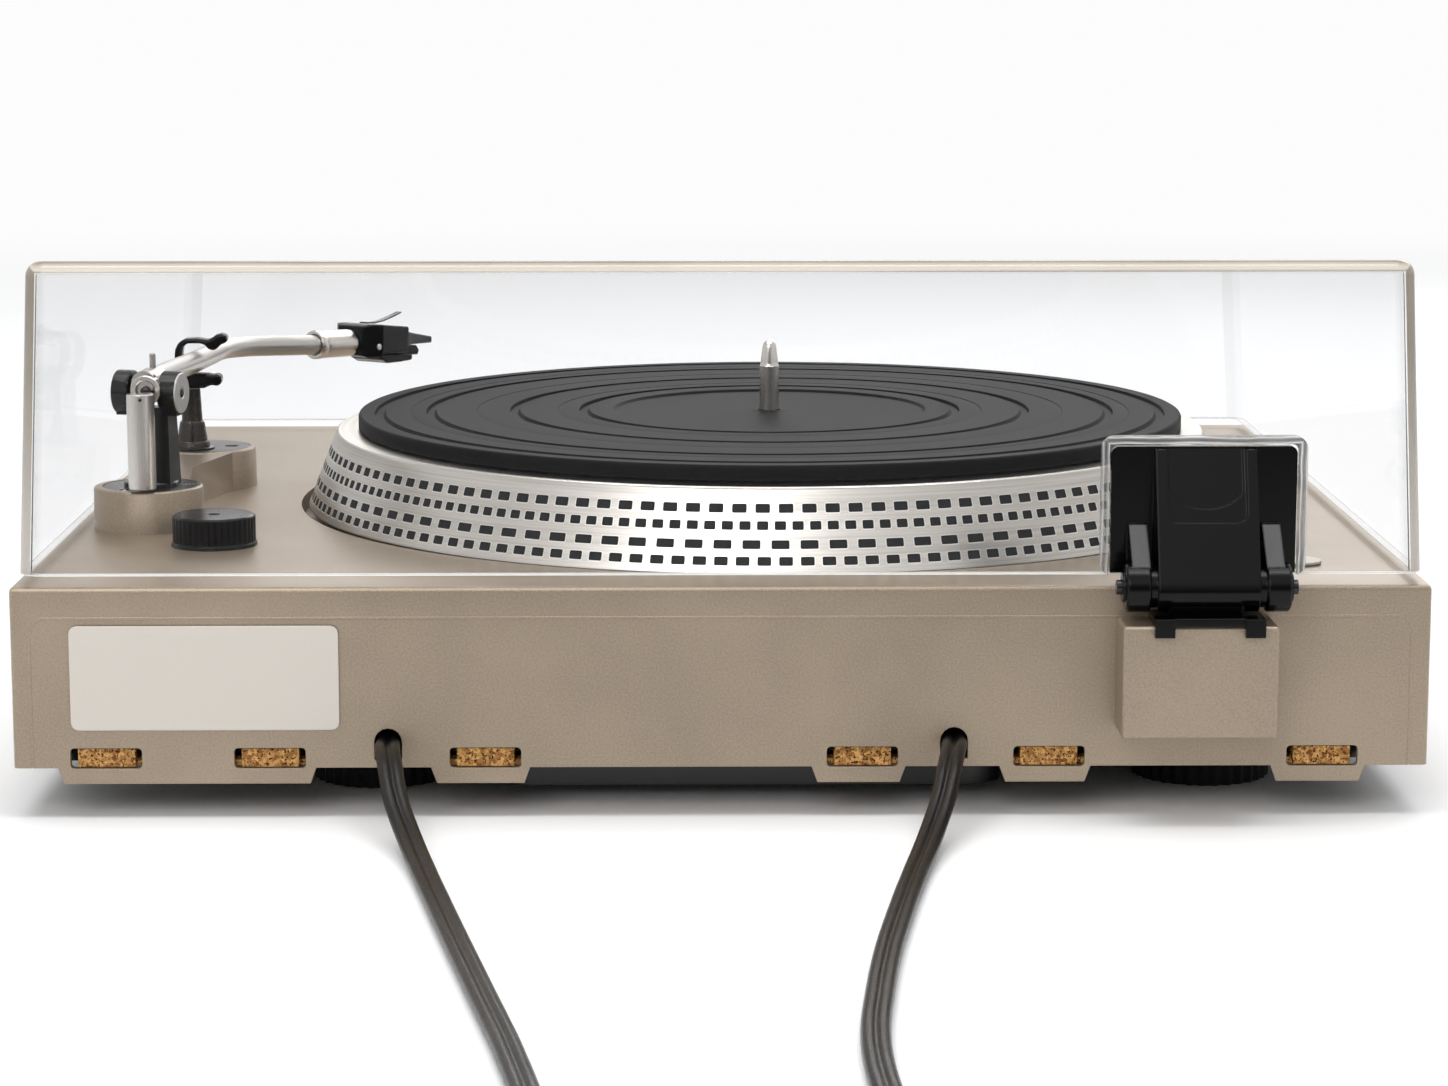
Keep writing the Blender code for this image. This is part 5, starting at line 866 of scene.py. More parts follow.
class Form:
    """A mesh in the making, in the row frame."""

    def __init__(self) -> None:
        """Start with nothing."""
        self.mesh = bmesh.new()

    def prism(self, outline: Sequence[Point], low: float, high: float, basis: Matrix = ALONG_Z,
              place: Vector = Vector()) -> Form:
        """Extrude a flat outline along the basis's third axis.

        Args:
            outline: The outline's points.
            low: Where it starts.
            high: Where it ends.
            basis: What turns the third axis from Z.
            place: Where its origin stands.

        Returns:
            The form itself.
        """
        rows = [[self.mesh.verts.new(place + basis @ Vector((a, b, level))) for a, b in outline]
                for level in (low, high)]
        self.mesh.faces.new(rows[0])
        self.mesh.faces.new(rows[1])
        self._wall(rows[0], rows[1])
        return self

    def box(self, xs: Point, ys: Point, zs: Point) -> Form:
        """A block between two corners."""
        outline = [(xs[0], ys[0]), (xs[1], ys[0]), (xs[1], ys[1]), (xs[0], ys[1])]
        return self.prism(outline, zs[0], zs[1])

    def loft(self, rings: Sequence[Sequence[Vector]]) -> Form:
        """Skin a row of rings with flat ends.

        Args:
            rings: The rings, each with as many points as the next.

        Returns:
            The form itself.
        """
        rows = [[self.mesh.verts.new(point) for point in ring] for ring in rings]
        self.mesh.faces.new(rows[0])
        self.mesh.faces.new(rows[-1])
        for low, high in zip(rows, rows[1:]):
            self._wall(low, high)
        return self

    def lathe(self, profile: Sequence[Point], sides: int = 64, place: Vector = Vector(),
              basis: Matrix = ALONG_Z) -> Form:
        """Turn a profile of (radius, height) round the basis's third axis.

        Args:
            profile: Points from one end to the other. One that doesn't start on the axis is closed to a ring.
            sides: Steps round the axis.
            place: Where the axis stands.
            basis: What turns the axis from Z.

        Returns:
            The form itself.
        """
        rows = []
        for radius, height in profile:
            count = sides if radius else 1
            rows.append([self.mesh.verts.new(place + basis @ Vector((
                radius * math.cos(math.tau * i / sides), radius * math.sin(math.tau * i / sides), height)))
                for i in range(count)])
        pairs = list(zip(rows, rows[1:]))
        if profile[0][0]:
            pairs.append((rows[-1], rows[0]))
        for low, high in pairs:
            self._wall(low, high, sides)
        return self

    def _wall(self, low: list[bmesh.types.BMVert], high: list[bmesh.types.BMVert], sides: int = 0) -> None:
        """Join two rows of corners, or a row and a single corner.

        Args:
            low: The first row.
            high: The second.
            sides: Steps round, where a row is a single corner.
        """
        sides = sides or len(low)
        for i in range(sides):
            j = (i + 1) % sides
            corners = [low[i % len(low)], low[j % len(low)], high[j % len(high)], high[i % len(high)]]
            self.mesh.faces.new(list(dict.fromkeys(corners)))

    def move(self, matrix: Matrix) -> Form:
        """Move what is made so far."""
        bmesh.ops.transform(self.mesh, matrix=matrix, verts=self.mesh.verts)
        return self

    def piece(self, name: str) -> bpy.types.Object:
        """Close the form.

        Args:
            name: The object's name.

        Returns:
            The object.
        """
        bmesh.ops.recalc_face_normals(self.mesh, faces=self.mesh.faces)
        data = bpy.data.meshes.new(name)
        self.mesh.to_mesh(data)
        self.mesh.free()
        return link(name, data)


def link(name: str, data: bpy.types.ID) -> bpy.types.Object:
    """Put an object with this data in the scene.

    Args:
        name: The object's name.
        data: Its data.

    Returns:
        The object.
    """
    made = bpy.data.objects.new(name, data)
    bpy.context.scene.collection.objects.link(made)
    return made


def arc(centre: Point, radius: float, start: float, end: float, steps: int) -> list[tuple[float, float]]:
    """Points on an arc, with its angles in degrees."""
    angles = [math.radians(start + (end - start) * i / steps) for i in range(steps + 1)]
    return [(centre[0] + radius * math.cos(a), centre[1] + radius * math.sin(a)) for a in angles]


def rounded(xs: Point, ys: Point, radius: float, steps: int = 6) -> list[tuple[float, float]]:
    """A rectangle with round corners.

    Args:
        xs: Its two ends across.
        ys: Its two ends up.
        radius: Its corners' radius.
        steps: Steps in each corner.

    Returns:
        Its points.
    """
    low_x, high_x, low_y, high_y = xs[0] + radius, xs[1] - radius, ys[0] + radius, ys[1] - radius
    return (arc((high_x, high_y), radius, 0, 90, steps) + arc((low_x, high_y), radius, 90, 180, steps)
            + arc((low_x, low_y), radius, 180, 270, steps) + arc((high_x, low_y), radius, 270, 360, steps))


def turned_x(profile: Sequence[Point], sides: int = 64, place: Vector = Vector()) -> Form:
    """A form turned round an axis along X, from a profile of (radius, distance along X) in millimetres."""
    return Form().lathe(scaled(profile), sides, place, ALONG_X)


def turned_y(profile: Sequence[Point], sides: int = 64, place: Vector = Vector()) -> Form:
    """A form turned round an axis along Y, from a profile of (radius, distance along Y) in millimetres."""
    return Form().lathe([(r * MM, -y * MM) for r, y in profile], sides, place, ALONG_Y)


def turned_z(profile: Sequence[Point], sides: int = 64, place: Vector = Vector()) -> Form:
    """A form turned round an upright axis, from a profile of (radius, height) in millimetres."""
    return Form().lathe(raised(profile), sides, place)


def block(xs: Span, ys: Span, zs: Span) -> Form:
    """A block between two corners, in millimetres."""
    return Form().box([x * MM for x in xs], [y * MM for y in ys], [above(z) for z in zs])


def disc(radius: float, low: float, high: float, sides: int = 32, place: Vector = Vector()) -> Form:
    """An upright cylinder between two heights, in millimetres."""
    return turned_z(((0, low), (radius, low), (radius, high), (0, high)), sides, place)


def swept(name: str, route: Sequence[Vector], radius: float, sides: int = 40) -> bpy.types.Object:
    """A round tube along a path.

    Args:
        name: The object's name.
        route: The path's points.
        radius: The tube's radius in metres.
        sides: Steps round it.

    Returns:
        The object.
    """
    rings = []
    side = Vector((1, 0, 0))
    for i, point in enumerate(route):
        ahead = (route[min(i + 1, len(route) - 1)] - route[max(i - 1, 0)]).normalized()
        side = (side - ahead * side.dot(ahead)).normalized()
        up = ahead.cross(side)
        turns = [math.tau * k / sides for k in range(sides)]
        rings.append([point + (side * math.cos(turn) + up * math.sin(turn)) * radius for turn in turns])
    return Form().loft(rings).piece(name)


def carve(target: bpy.types.Object, cutter: Form, change: Change = Change.CUT) -> None:
    """Change an object with another form at once, and drop the other form.

    Args:
        target: The object.
        cutter: The other form.
        change: What it does to the object.
    """
    tool = cutter.piece("tool")
    step = target.modifiers.new("change", "BOOLEAN")
    step.operation = change.value
    step.solver = "EXACT"
    step.object = tool
    depsgraph = bpy.context.evaluated_depsgraph_get()
    fresh = bpy.data.meshes.new_from_object(target.evaluated_get(depsgraph))
    target.modifiers.remove(step)
    target.data = fresh
    bpy.data.objects.remove(tool)


def soften(piece: bpy.types.Object, width: float = 0.0, sharp: float = 38.0, weld: bool = False,
           weighted: bool = True) -> None:
    """Round a piece's edges and shade it, with its flat faces kept flat.

    Args:
        piece: The piece.
        width: Width of the round edges in metres, or 0 for none.
        sharp: Angle in degrees above which an edge stays sharp in the shading.
        weld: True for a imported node, whose faces don't share their corners.
        weighted: True to let large faces pull the shading flat.
    """
    if weld:
        custom = piece.data.attributes.get("custom_normal")
        if custom:
            piece.data.attributes.remove(custom)
        joined = piece.modifiers.new("weld", "WELD")
        joined.merge_threshold = 0.000002
    if width:
        edge = piece.modifiers.new("round", "BEVEL")
        edge.width = width
        edge.segments = 2
        edge.limit_method = "ANGLE"
        edge.angle_limit = math.radians(32)
        edge.harden_normals = False
    piece.data.shade_smooth()
    if not weld:
        piece.data.set_sharp_from_angle(angle=math.radians(sharp))
    if weighted:
        shade = piece.modifiers.new("flat", "WEIGHTED_NORMAL")
        shade.keep_sharp = True


@dataclass
class Shop:
    """Hands finished pieces to the frame.

    Attributes:
        nodes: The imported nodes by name.
        made: The materials made so far by name.
    """

    nodes: dict[str, bpy.types.Object]
    made: dict[str, bpy.types.Material] = field(default_factory=dict)

    def coat(self, piece: bpy.types.Object, surface: Surface) -> None:
        """Give a piece a finish, whose material is made when it is first asked for.

        Args:
            piece: The piece.
            surface: The finish.
        """
        if surface.name not in self.made:
            self.made[surface.name] = surface.material()
        piece.data.materials.clear()
        piece.data.materials.append(self.made[surface.name])

    def dress(self, name: str, surface: Surface, width: float = 0.0003) -> None:
        """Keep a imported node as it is, with a finish and round edges.

        Args:
            name: The node's name.
            surface: Its finish.
            width: Width of its round edges in metres, or 0 for none.
        """
        node = self.nodes[name]
        self.coat(node, surface)
        soften(node, width, weld=True)
        LOG.info("%s is dressed in %s", name, surface.name)

    def add(self, piece: bpy.types.Object, body: Body, slot: Slot, surface: Surface, *replaces: str) -> None:
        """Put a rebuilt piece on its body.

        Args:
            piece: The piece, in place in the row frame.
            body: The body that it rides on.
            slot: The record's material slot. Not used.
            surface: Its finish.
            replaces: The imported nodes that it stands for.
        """
        self.coat(piece, surface)
        if replaces:
            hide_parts(*replaces)
        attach(piece, body.value)
        LOG.info("%s rides on %s", piece.name, body.value)


# Leads

@dataclass(frozen=True)
class Route:
    """A path through the row frame."""

    points: tuple[Vector, ...]

    @staticmethod
    def smooth(places: Sequence[Vector], spacing: float, steps: int = 24) -> Route:
        """A smooth curve through the places.

        Args:
            places: The places.
            spacing: The distance between the curve's points in metres.
            steps: How finely the curve is worked out between two places.

        Returns:
            The path.
        """
        ends = [places[0] * 2 - places[1], *places, places[-1] * 2 - places[-2]]
        fine = []
        for a, b, c, d in zip(ends, ends[1:], ends[2:], ends[3:]):
            for i in range(steps):
                t = i / steps
                fine.append(0.5 * (2 * b + (c - a) * t + (2 * a - 5 * b + 4 * c - d) * t * t
                                   + (3 * b - a - 3 * c + d) * t ** 3))
        fine.append(places[-1])
        return Route(tuple(fine)).evenly(spacing)

    def evenly(self, spacing: float) -> Route:
        """The same path with even steps.

        Args:
            spacing: The distance between its points in metres.

        Returns:
            The path.
        """
        lengths = [0.0]
        for a, b in zip(self.points, self.points[1:]):
            lengths.append(lengths[-1] + (b - a).length)
        steps = max(2, round(lengths[-1] / spacing))
        result = []
        at = 0
        for i in range(steps + 1):
            want = lengths[-1] * i / steps
            while at < len(self.points) - 2 and lengths[at + 1] < want:
                at += 1
            span = max(1e-9, lengths[at + 1] - lengths[at])
            result.append(self.points[at].lerp(self.points[at + 1], (want - lengths[at]) / span))
        return Route(tuple(result))

    def length(self) -> float:
        """The path's length in metres."""
        return sum((b - a).length for a, b in zip(self.points, self.points[1:]))

    def join(self, other: Route) -> Route:
        """This path followed by another."""
        return Route(self.points + other.points)


def curve_piece(name: str, route: Route, profile: bpy.types.Object | None = None,
                radius: float = 0.0) -> bpy.types.Object:
    """A curve along a route, with a profile swept along it or a round section.

    Args:
        name: The object's name.
        route: The path.
        profile: The section to sweep, if it isn't round.
        radius: The round section's radius.

    Returns:
        The curve object.
    """
    data = bpy.data.curves.new(name, "CURVE")
    data.dimensions = "3D"
    data.twist_mode = "Z_UP"
    data.use_fill_caps = True
    if profile:
        data.bevel_mode = "OBJECT"
        data.bevel_object = profile
    else:
        data.bevel_depth = radius
        data.bevel_resolution = 10
    line = data.splines.new("POLY")
    line.use_smooth = True
    line.points.add(len(route.points) - 1)
    for spot, point in zip(line.points, route.points):
        spot.co = (*point, 1.0)
    return link(name, data)


@dataclass(frozen=True)
class Coil:
    """A lead's unseen length, laid up beside the camera's view in two layers.

    Attributes:
        centre: The coil's middle in millimetres.
        outer: Its outer radius in millimetres.
        turns: Turns in each layer.
        start: Angle of its first point in degrees.
        way: 1 for anticlockwise and -1 for clockwise.
        end_height: Height of its last point above the floor in millimetres.
        pitch: Distance between two turns in millimetres.
        climb: Height of the second layer over the first in millimetres.
        low: Height of the first layer above the floor in millimetres.
        points_per_turn: How finely it is worked out.
        exit_length: Length of its straight end in millimetres.
        exit_steps: Points along that end.
        drop_start: How far along that end it starts to sink, in millimetres.
        drop_length: How far on it has sunk, in millimetres.
    """

    centre: tuple[float, float]
    outer: float
    turns: float
    start: float
    way: int
    end_height: float
    pitch: float = 8.25
    climb: float = 4.8
    low: float = 2.3
    points_per_turn: int = 64
    exit_length: float = 58
    exit_steps: int = 29
    drop_start: float = 14
    drop_length: float = 32

    def away(self) -> Vector:
        """The direction in which the lead leaves the coil."""
        last = math.radians(self.start) + self.way * math.tau * (self.turns * 2 + 0.5)
        return Vector((-math.sin(last), math.cos(last), 0)) * self.way

    def spot(self, turn: float, total: float) -> tuple[float, float]:
        """Where the lead lies in the coil.

        Args:
            turn: Turns since the coil's start.
            total: Turns in the whole coil.

        Returns:
            Its distance from the middle in millimetres, and its share of the climb.
        """
        if turn <= self.turns:
            return self.outer - self.pitch * turn, 0.0
        if turn <= self.turns + 0.5:
            part = (turn - self.turns) * 2
            reach = self.outer - self.pitch * (self.turns + 0.25 - abs(part - 0.5) / 2)
            return reach, (1 - math.cos(math.pi * part)) / 2
        return self.outer - self.pitch * (total - turn), 1.0

    def route(self) -> Route:
        """In along the floor, up a layer where the spiral reverses, out again, and down beside the coil.

        Returns:
            The path.
        """
        first = math.radians(self.start)
        total = self.turns * 2 + 0.5
        count = round(total * self.points_per_turn)
        points = []
        for i in range(count + 1):
            turn = total * i / count
            reach, climb = self.spot(turn, total)
            angle = first + self.way * math.tau * turn
            points.append(Vector((
                self.centre[0] + reach * math.cos(angle), self.centre[1] + reach * math.sin(angle),
                self.low + self.climb * climb)) * MM)
        away = self.away()
        top = points[-1]
        for i in range(1, self.exit_steps + 1):
            along = self.exit_length * MM * i / self.exit_steps
            part = min(1, max(0, (along - self.drop_start * MM) / (self.drop_length * MM)))
            spot = top + away * along
            spot.z = top.z + (self.end_height * MM - top.z) * (1 - math.cos(math.pi * part)) / 2
            points.append(spot)
        return Route(tuple(points))


@dataclass(frozen=True)
class Lead:
    """One flat lead.

    Attributes:
        name: Its name.
        places: Where it runs before its coil, in millimetres above the floor.
        coil: Its coil.
        nodes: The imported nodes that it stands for.
        end_piece: The node at its end.
        far_end: What that node is.
    """

    name: str
    places: tuple[tuple[float, float, float], ...]
    coil: Coil
    nodes: tuple[str, ...]
    end_piece: str
    far_end: FarEnd

    def route(self) -> Route:
        """The whole lead's path."""
        return Route.smooth([Vector(place) * MM for place in self.places], 4 * MM).join(self.coil.route())


SIGNAL = Lead(
    "signal_lead",
    ((101.3, 173.7, 22.6), (101.3, 182, 22.6), (100.6, 190, 21.9), (99.3, 198, 19.4), (97.9, 206, 15.6),
     (96.0, 214, 11.6), (93.6, 222, 8.2), (91.1, 231, 5.5), (88.7, 241, 3.7), (86.3, 252, 2.8),
     (83.8, 265, 2.4), (79.8, 286, 2.3), (75.3, 310, 2.3), (70.9, 333, 2.3), (66.1, 358, 2.3),
     (61.1, 384, 2.3), (57.4, 403, 2.3), (53.8, 422, 2.3), (47.9, 457, 2.3), (43.2, 490, 2.3),
     (40.7, 520, 2.3), (40.1, 548.1, 2.3)),
    Coil((89.1, 556.0), 49.0, 1.72, 180.0, -1, 4.7),
    ("signal_cord", "signal_coil"), "signal_splitter", FarEnd.CONNECTOR)
MAINS = Lead(
    "mains_lead",
    ((-70.6, 173.7, 22.8), (-70.6, 182, 22.8), (-69.6, 190, 22.0), (-68.1, 198, 19.4), (-66.5, 206, 15.6),
     (-64.6, 214, 11.6), (-62.3, 222, 8.2), (-60.0, 231, 5.5), (-57.7, 241, 3.7), (-55.5, 252, 2.8),
     (-53.2, 265, 2.4), (-49.8, 286, 2.3), (-46.2, 310, 2.3), (-42.9, 333, 2.3), (-39.9, 358, 2.3),
     (-37.3, 384, 2.3), (-35.6, 403, 2.3), (-34.7, 422, 2.3), (-34.7, 440, 2.3), (-35.4, 458, 2.3),
     (-37.2, 490, 2.3), (-38.6, 520, 2.3), (-38.9, 548.1, 2.3)),
    Coil((-90.9, 556.0), 52.0, 2.42, 0.0, 1, 7.9),
    ("mains_cord", "mains_coil"), "mains_plug", FarEnd.PLUG)


@dataclass
class Leads:
    """The two flat leads, with their coils, plugs and tails.

    Attributes:
        shop: Where the pieces go.
        half_width: Half of a lead's width in millimetres.
        half_height: Half of its height.
        core: How far out its round cores stand.
        groove_depth: Depth of the groove between the cores.
        groove_width: Width of the groove.
        tail_radius: Radius of a tail.
    """

    shop: Shop
    half_width: float = 3.8
    half_height: float = 2.2
    core: float = 1.6
    groove_depth: float = 0.95
    groove_width: float = 0.7
    tail_radius: float = 2

    def build(self) -> None:
        profile = self.twin_profile()
        for name in ("mains_plug", "signal_splitter", "mains_strain_relief", "signal_strain_relief"):
            self.shop.dress(name, SHEATH, 0.0004)
        for name in ("phono_plug_a", "phono_plug_b"):
            self.shop.dress(name, CHROME)
        self.lead(MAINS, profile)
        self.lead(SIGNAL, profile)
        end = SIGNAL.coil.route().points[-1]
        away = SIGNAL.coil.away()
        turn = math.atan2(away.y, away.x) - math.pi / 2
        frame = Matrix.Translation((end.x, end.y, 0)) @ Matrix.Rotation(turn, 4, "Z")
        for side, letter in ((-1, "a"), (1, "b")):
            self.tail(frame, end.z, side, letter)

    def twin_profile(self) -> bpy.types.Object:
        """The flat twin section: two round cores in one sheath, with a shallow groove between them.

        Returns:
            The section, which is hidden.
        """
        data = bpy.data.curves.new("twin_section", "CURVE")
        data.dimensions = "2D"
        line = data.splines.new("POLY")
        outline = []
        for i in range(48):
            angle = math.tau * i / 48
            x, y = self.half_width * math.cos(angle), self.half_height * math.sin(angle)
            bend = max(0.0, (abs(x) - self.core) / self.half_height)
            flat = self.half_height * (1 - bend ** 2) ** 0.5
            groove = self.groove_depth * math.exp(-(x / self.groove_width) ** 2)
            y = math.copysign(max(0.0, flat - groove), y) if abs(y) > 1e-6 else 0.0
            outline.append((x * MM, y * MM))
        line.points.add(len(outline) - 1)
        for spot, (x, y) in zip(line.points, outline):
            spot.co = (x, y, 0, 1)
        line.use_cyclic_u = True
        made = link("twin_section", data)
        made.hide_render = True
        made.hide_viewport = True
        return made

    def lead(self, lead: Lead, profile: bpy.types.Object) -> None:
        """One lead, from the back panel to its plug.

        Args:
            lead: The lead.
            profile: Its section.
        """
        route = lead.route()
        piece = curve_piece(lead.name, route, profile)
        self.shop.add(piece, Body.PLINTH, Slot.SHEATH, SHEATH, *lead.nodes)
        route.length()
        LOG.info("%s is %.3f m long", lead.name, route.length())

    def tail(self, frame: Matrix, height: float, side: int, letter: str) -> None:
        """A short round tail from the splitter to its phono plug.

        Args:
            frame: A frame at the lead's end whose Y runs on along it.
            height: The lead's height at its end.
            side: 1 or -1 across the splitter.
            letter: The tail's letter.
        """
        start = Vector((side * 3 * MM, 22.3 * MM, height))
        places = [start, start + Vector((0, 10.08 * MM, 0)),
                  Vector((side * 6 * MM, start.y + 37.8 * MM, 4.7 * MM)),
                  Vector((side * 8.4 * MM, start.y + 71.4 * MM, 5.35 * MM)),
                  Vector((side * 8.4 * MM, start.y + 84 * MM, 5.35 * MM))]
        route = Route.smooth([frame @ place for place in places], 3 * MM)
        name = "signal_tail_" + letter
        piece = curve_piece("dressed_" + name, route, radius=self.tail_radius * MM)
        self.shop.add(piece, Body.PLINTH, Slot.SHEATH, SHEATH, name)
        route.length()


# Pieces

@dataclass
class PlatterUnit:
    """The platter with its strobe dots, the mat with its rings, and the spindle.

    Attributes:
        shop: Where the pieces go.
        platter_profile: The platter's (radius, height) points.
        mat_low: Height of the mat's underside.
        mat_top: Height of its top.
        mat_rings: Its grooves as (outer radius, inner radius, depth).
        spindle_profile: The spindle's (radius, height) points.
    """

    shop: Shop
    platter_profile: Profile = (
        (3.9, 21.9), (146.6, 21.9), (156.9, -0.5), (160.5, -0.5), (160.5, 0.1), (150.9, 24.5), (150.5, 25.2),
        (149.9, 25.5), (3.9, 25.5))
    mat_low: float = 25.8
    mat_top: float = 31.0
    mat_rings: tuple[tuple[float, float, float], ...] = (
        (137.4, 133.6, 1.1), (125.2, 124.4, 0.35), (119.6, 116.0, 1.1), (102.2, 101.4, 0.35),
        (90.6, 87.0, 1.1), (74.0, 73.2, 0.35), (66.4, 62.8, 1.1))
    spindle_profile: Profile = (
        (0, -42.7), (5, -42.7), (5, 18.6), (12, 18.6), (12, 21.6), (3.4, 21.6), (3.4, 45.9), (3.15, 46.2),
        (3.1, 47.0), (2.75, 50.0), (2.4, 52.4), (2.2, 53.4), (1.8, 54.1), (1.2, 54.6), (0.6, 54.77),
        (0, 54.8))

    def build(self) -> None:
        """Make the pieces that turn."""
        self.platter()
        self.mat()
        self.spindle()
        self.shop.dress("rotor_magnet", MAGNET, 0)

    def platter(self) -> None:
        """The turned platter with its wide skirt."""
        piece = turned_z(self.platter_profile, 256, PLATTER).piece("platter_dressed")
        soften(piece)
        self.shop.add(piece, Body.PLATTER, Slot.PLATTER, PlatterMetal(), "platter")

    def mat(self) -> None:
        """The rubber mat with its stepped rings."""
        low, top = self.mat_low, self.mat_top
        profile = [(3.9, low), (142.6, low), (143.1, low + 0.5), (143.1, top - 1.0), (142.8, top - 0.35),
                   (142.2, top)]
        for outer, inner, depth in self.mat_rings:
            profile += [(outer, top), (outer - 0.35, top - depth), (inner + 0.9, top - depth), (inner, top)]
        profile += [(54.6, top), (53.6, top - 0.8), (7.0, top - 0.8), (6.0, top - 0.5), (3.9, top - 0.5)]
        piece = turned_z(profile, 192, PLATTER).piece("mat_dressed")
        soften(piece, sharp=24.0)
        self.shop.add(piece, Body.PLATTER, Slot.RUBBER, MatRubber(), "platter_mat")

    def spindle(self) -> None:
        """The bright centre spindle."""
        piece = turned_z(self.spindle_profile, 96, PLATTER).piece("spindle_dressed")
        soften(piece, weighted=False)
        self.shop.add(piece, Body.PLATTER, Slot.CHROME, SATIN, "spindle")


@dataclass
class DustCover:
    """The clear hood, with the pocket that takes the hinge.

    Attributes:
        shop: Where the pieces go.
        thickness: The walls' thickness in millimetres.
        bend: Radius of the bend from the walls into the top.
        inner_bend: The same on the inside.
        half_width: Half of its width at its lower edge.
        side_draft: How far each side leans in.
        back_gap: How far its lower edge lies in from the plinth's back.
        front_reach: How far in from there its front lies.
        end_draft: How far its back and its front lean in.
        corner: Radius of its upright corners.
        front_top: Height of its top at the front.
        foot: Height of its lower edge.
        pocket: Half width, lower end, upper end and corner radius of the pocket.
        hole: The same for the hole in it.
        rim_outer: The same for the rim round the pocket.
        rim_inner: The same for the rim's inside.
    """

    shop: Shop
    thickness: float = 3.0
    bend: float = 4.2
    inner_bend: float = 1.4
    half_width: float = 212.8
    side_draft: float = 3.8
    back_gap: float = 3.0
    front_reach: float = 370.0
    end_draft: float = 3.0
    corner: float = 7.0
    front_top: float = 67.0
    foot: float = 3.0
    pocket: tuple[float, float, float, float] = (29.8, 3.2, 44.8, 3.2)
    hole: tuple[float, float, float, float] = (28.6, -2, 43.3, 2.4)
    rim_outer: tuple[float, float, float, float] = (31.0, 3.1, 45.7, 4.0)
    rim_inner: tuple[float, float, float, float] = (28.5, -2, 43.2, 2.4)

    def build(self) -> None:
        """Make the hood, its pocket for the hinge and the pocket's rim."""
        piece = self.shell().piece("cover_dressed")
        outline = self.frame(*self.pocket)
        carve(piece, Form().prism(outline, -BACK_Y + 2.0 * MM, -inward(6.4), ALONG_Y), Change.UNITE)
        outline = self.frame(*self.hole)
        carve(piece, Form().prism(outline, -BACK_Y - 5.8 * MM, -BACK_Y + 2.7 * MM, ALONG_Y))
        soften(piece)
        self.shop.add(piece, Body.COVER, Slot.CLEAR, ClearCover(), "dust_cover")
        self.rim()

    def frame(self, half: float, low: float, high: float, radius: float) -> list[tuple[float, float]]:
        """A rounded outline in front of the hinge.

        Args:
            half: Half of its width in millimetres.
            low: Height of its lower end.
            high: Height of its upper end.
            radius: Its corners' radius.

        Returns:
            Its points.
        """
        return rounded((HINGE_X - half * MM, HINGE_X + half * MM), (above(low), above(high)), radius * MM)

    def ring(self, inset: float, rise: tuple[float, float], level: float) -> list[Vector]:
        """One ring round the hood.

        Args:
            inset: How far it lies inside the outer skin, in millimetres.
            rise: Its height above the plinth's top at the back and at the front, in millimetres.
            level: 0 at the lower edge and 1 at the top, for the walls' draft.

        Returns:
            The ring's points.
        """
        half = self.half_width - self.side_draft * level - inset
        near = self.back_gap + self.end_draft * level + inset
        far = self.front_reach - self.end_draft * level - inset
        corner = max(1.2, self.corner - inset)
        points = []
        for sx, sy, start in ((1, 1, 0), (-1, 1, 90), (-1, -1, 180), (1, -1, 270)):
            centre = (sx * (half - corner), -(near + corner if sy > 0 else far - corner))
            for a, b in arc(centre, corner, start, start + 90, 8):
                share = (-b - near) / (far - near)
                points.append(Vector((a * MM, inward(-b), above(rise[0] + (rise[1] - rise[0]) * share))))
        return points

    def shell(self) -> Form:
        """The hood's outer skin down to its lower edge and its inner skin up again.

        Returns:
            One closed form.
        """
        rings = []
        for inset, bend, drop in ((0.0, self.bend, 0.0), (self.thickness, self.inner_bend, self.thickness)):
            skin = []
            for step in range(7):
                angle = math.radians(90 - 15 * step)
                fall = drop + bend * (1 - math.sin(angle))
                rise = (COVER_TOP - fall, self.front_top - fall)
                skin.append(self.ring(inset + bend * (1 - math.cos(angle)), rise, 1.0))
            skin.append(self.ring(inset, (self.foot, self.foot), 0.0))
            rings += skin if inset == 0.0 else skin[::-1]
        return Form().loft(rings)

    def rim(self) -> None:
        """The thick clear rim that stands round the hinge's pocket."""
        form = Form().prism(self.frame(*self.rim_outer), -BACK_Y - 1.6 * MM, -BACK_Y + 1.9 * MM, ALONG_Y)
        piece = form.piece("pocket_rim")
        carve(piece, Form().prism(self.frame(*self.rim_inner), -BACK_Y - 5 * MM, -BACK_Y + 5 * MM, ALONG_Y))
        soften(piece, 0.8 * MM)
        self.shop.add(piece, Body.COVER, Slot.CLEAR, ClearRim())


def arm_frame(origin: Vector, heading: float, fall: float = 0.0) -> Matrix:
    """A frame whose Y runs along the arm's heading and whose X points towards the platter's side.

    Args:
        origin: Where the frame stands.
        heading: Degrees from straight ahead towards the platter.
        fall: Degrees that Y points down.

    Returns:
        The frame.
    """
    return (Matrix.Translation(origin) @ Matrix.Rotation(math.radians(180 - heading), 4, "Z")
            @ Matrix.Rotation(-math.radians(fall), 4, "X"))


PIVOT_FRAME = arm_frame(POD, 13)
REAR_FRAME = arm_frame(POD, 5.5)
TUBE_FRAME = arm_frame(POD + Vector((0, 0, above(49))), 5.5, 1.72)
SHELL_FRAME = arm_frame(TUBE_FRAME @ Vector((0, 0.128, 0)), 33, 3.3)


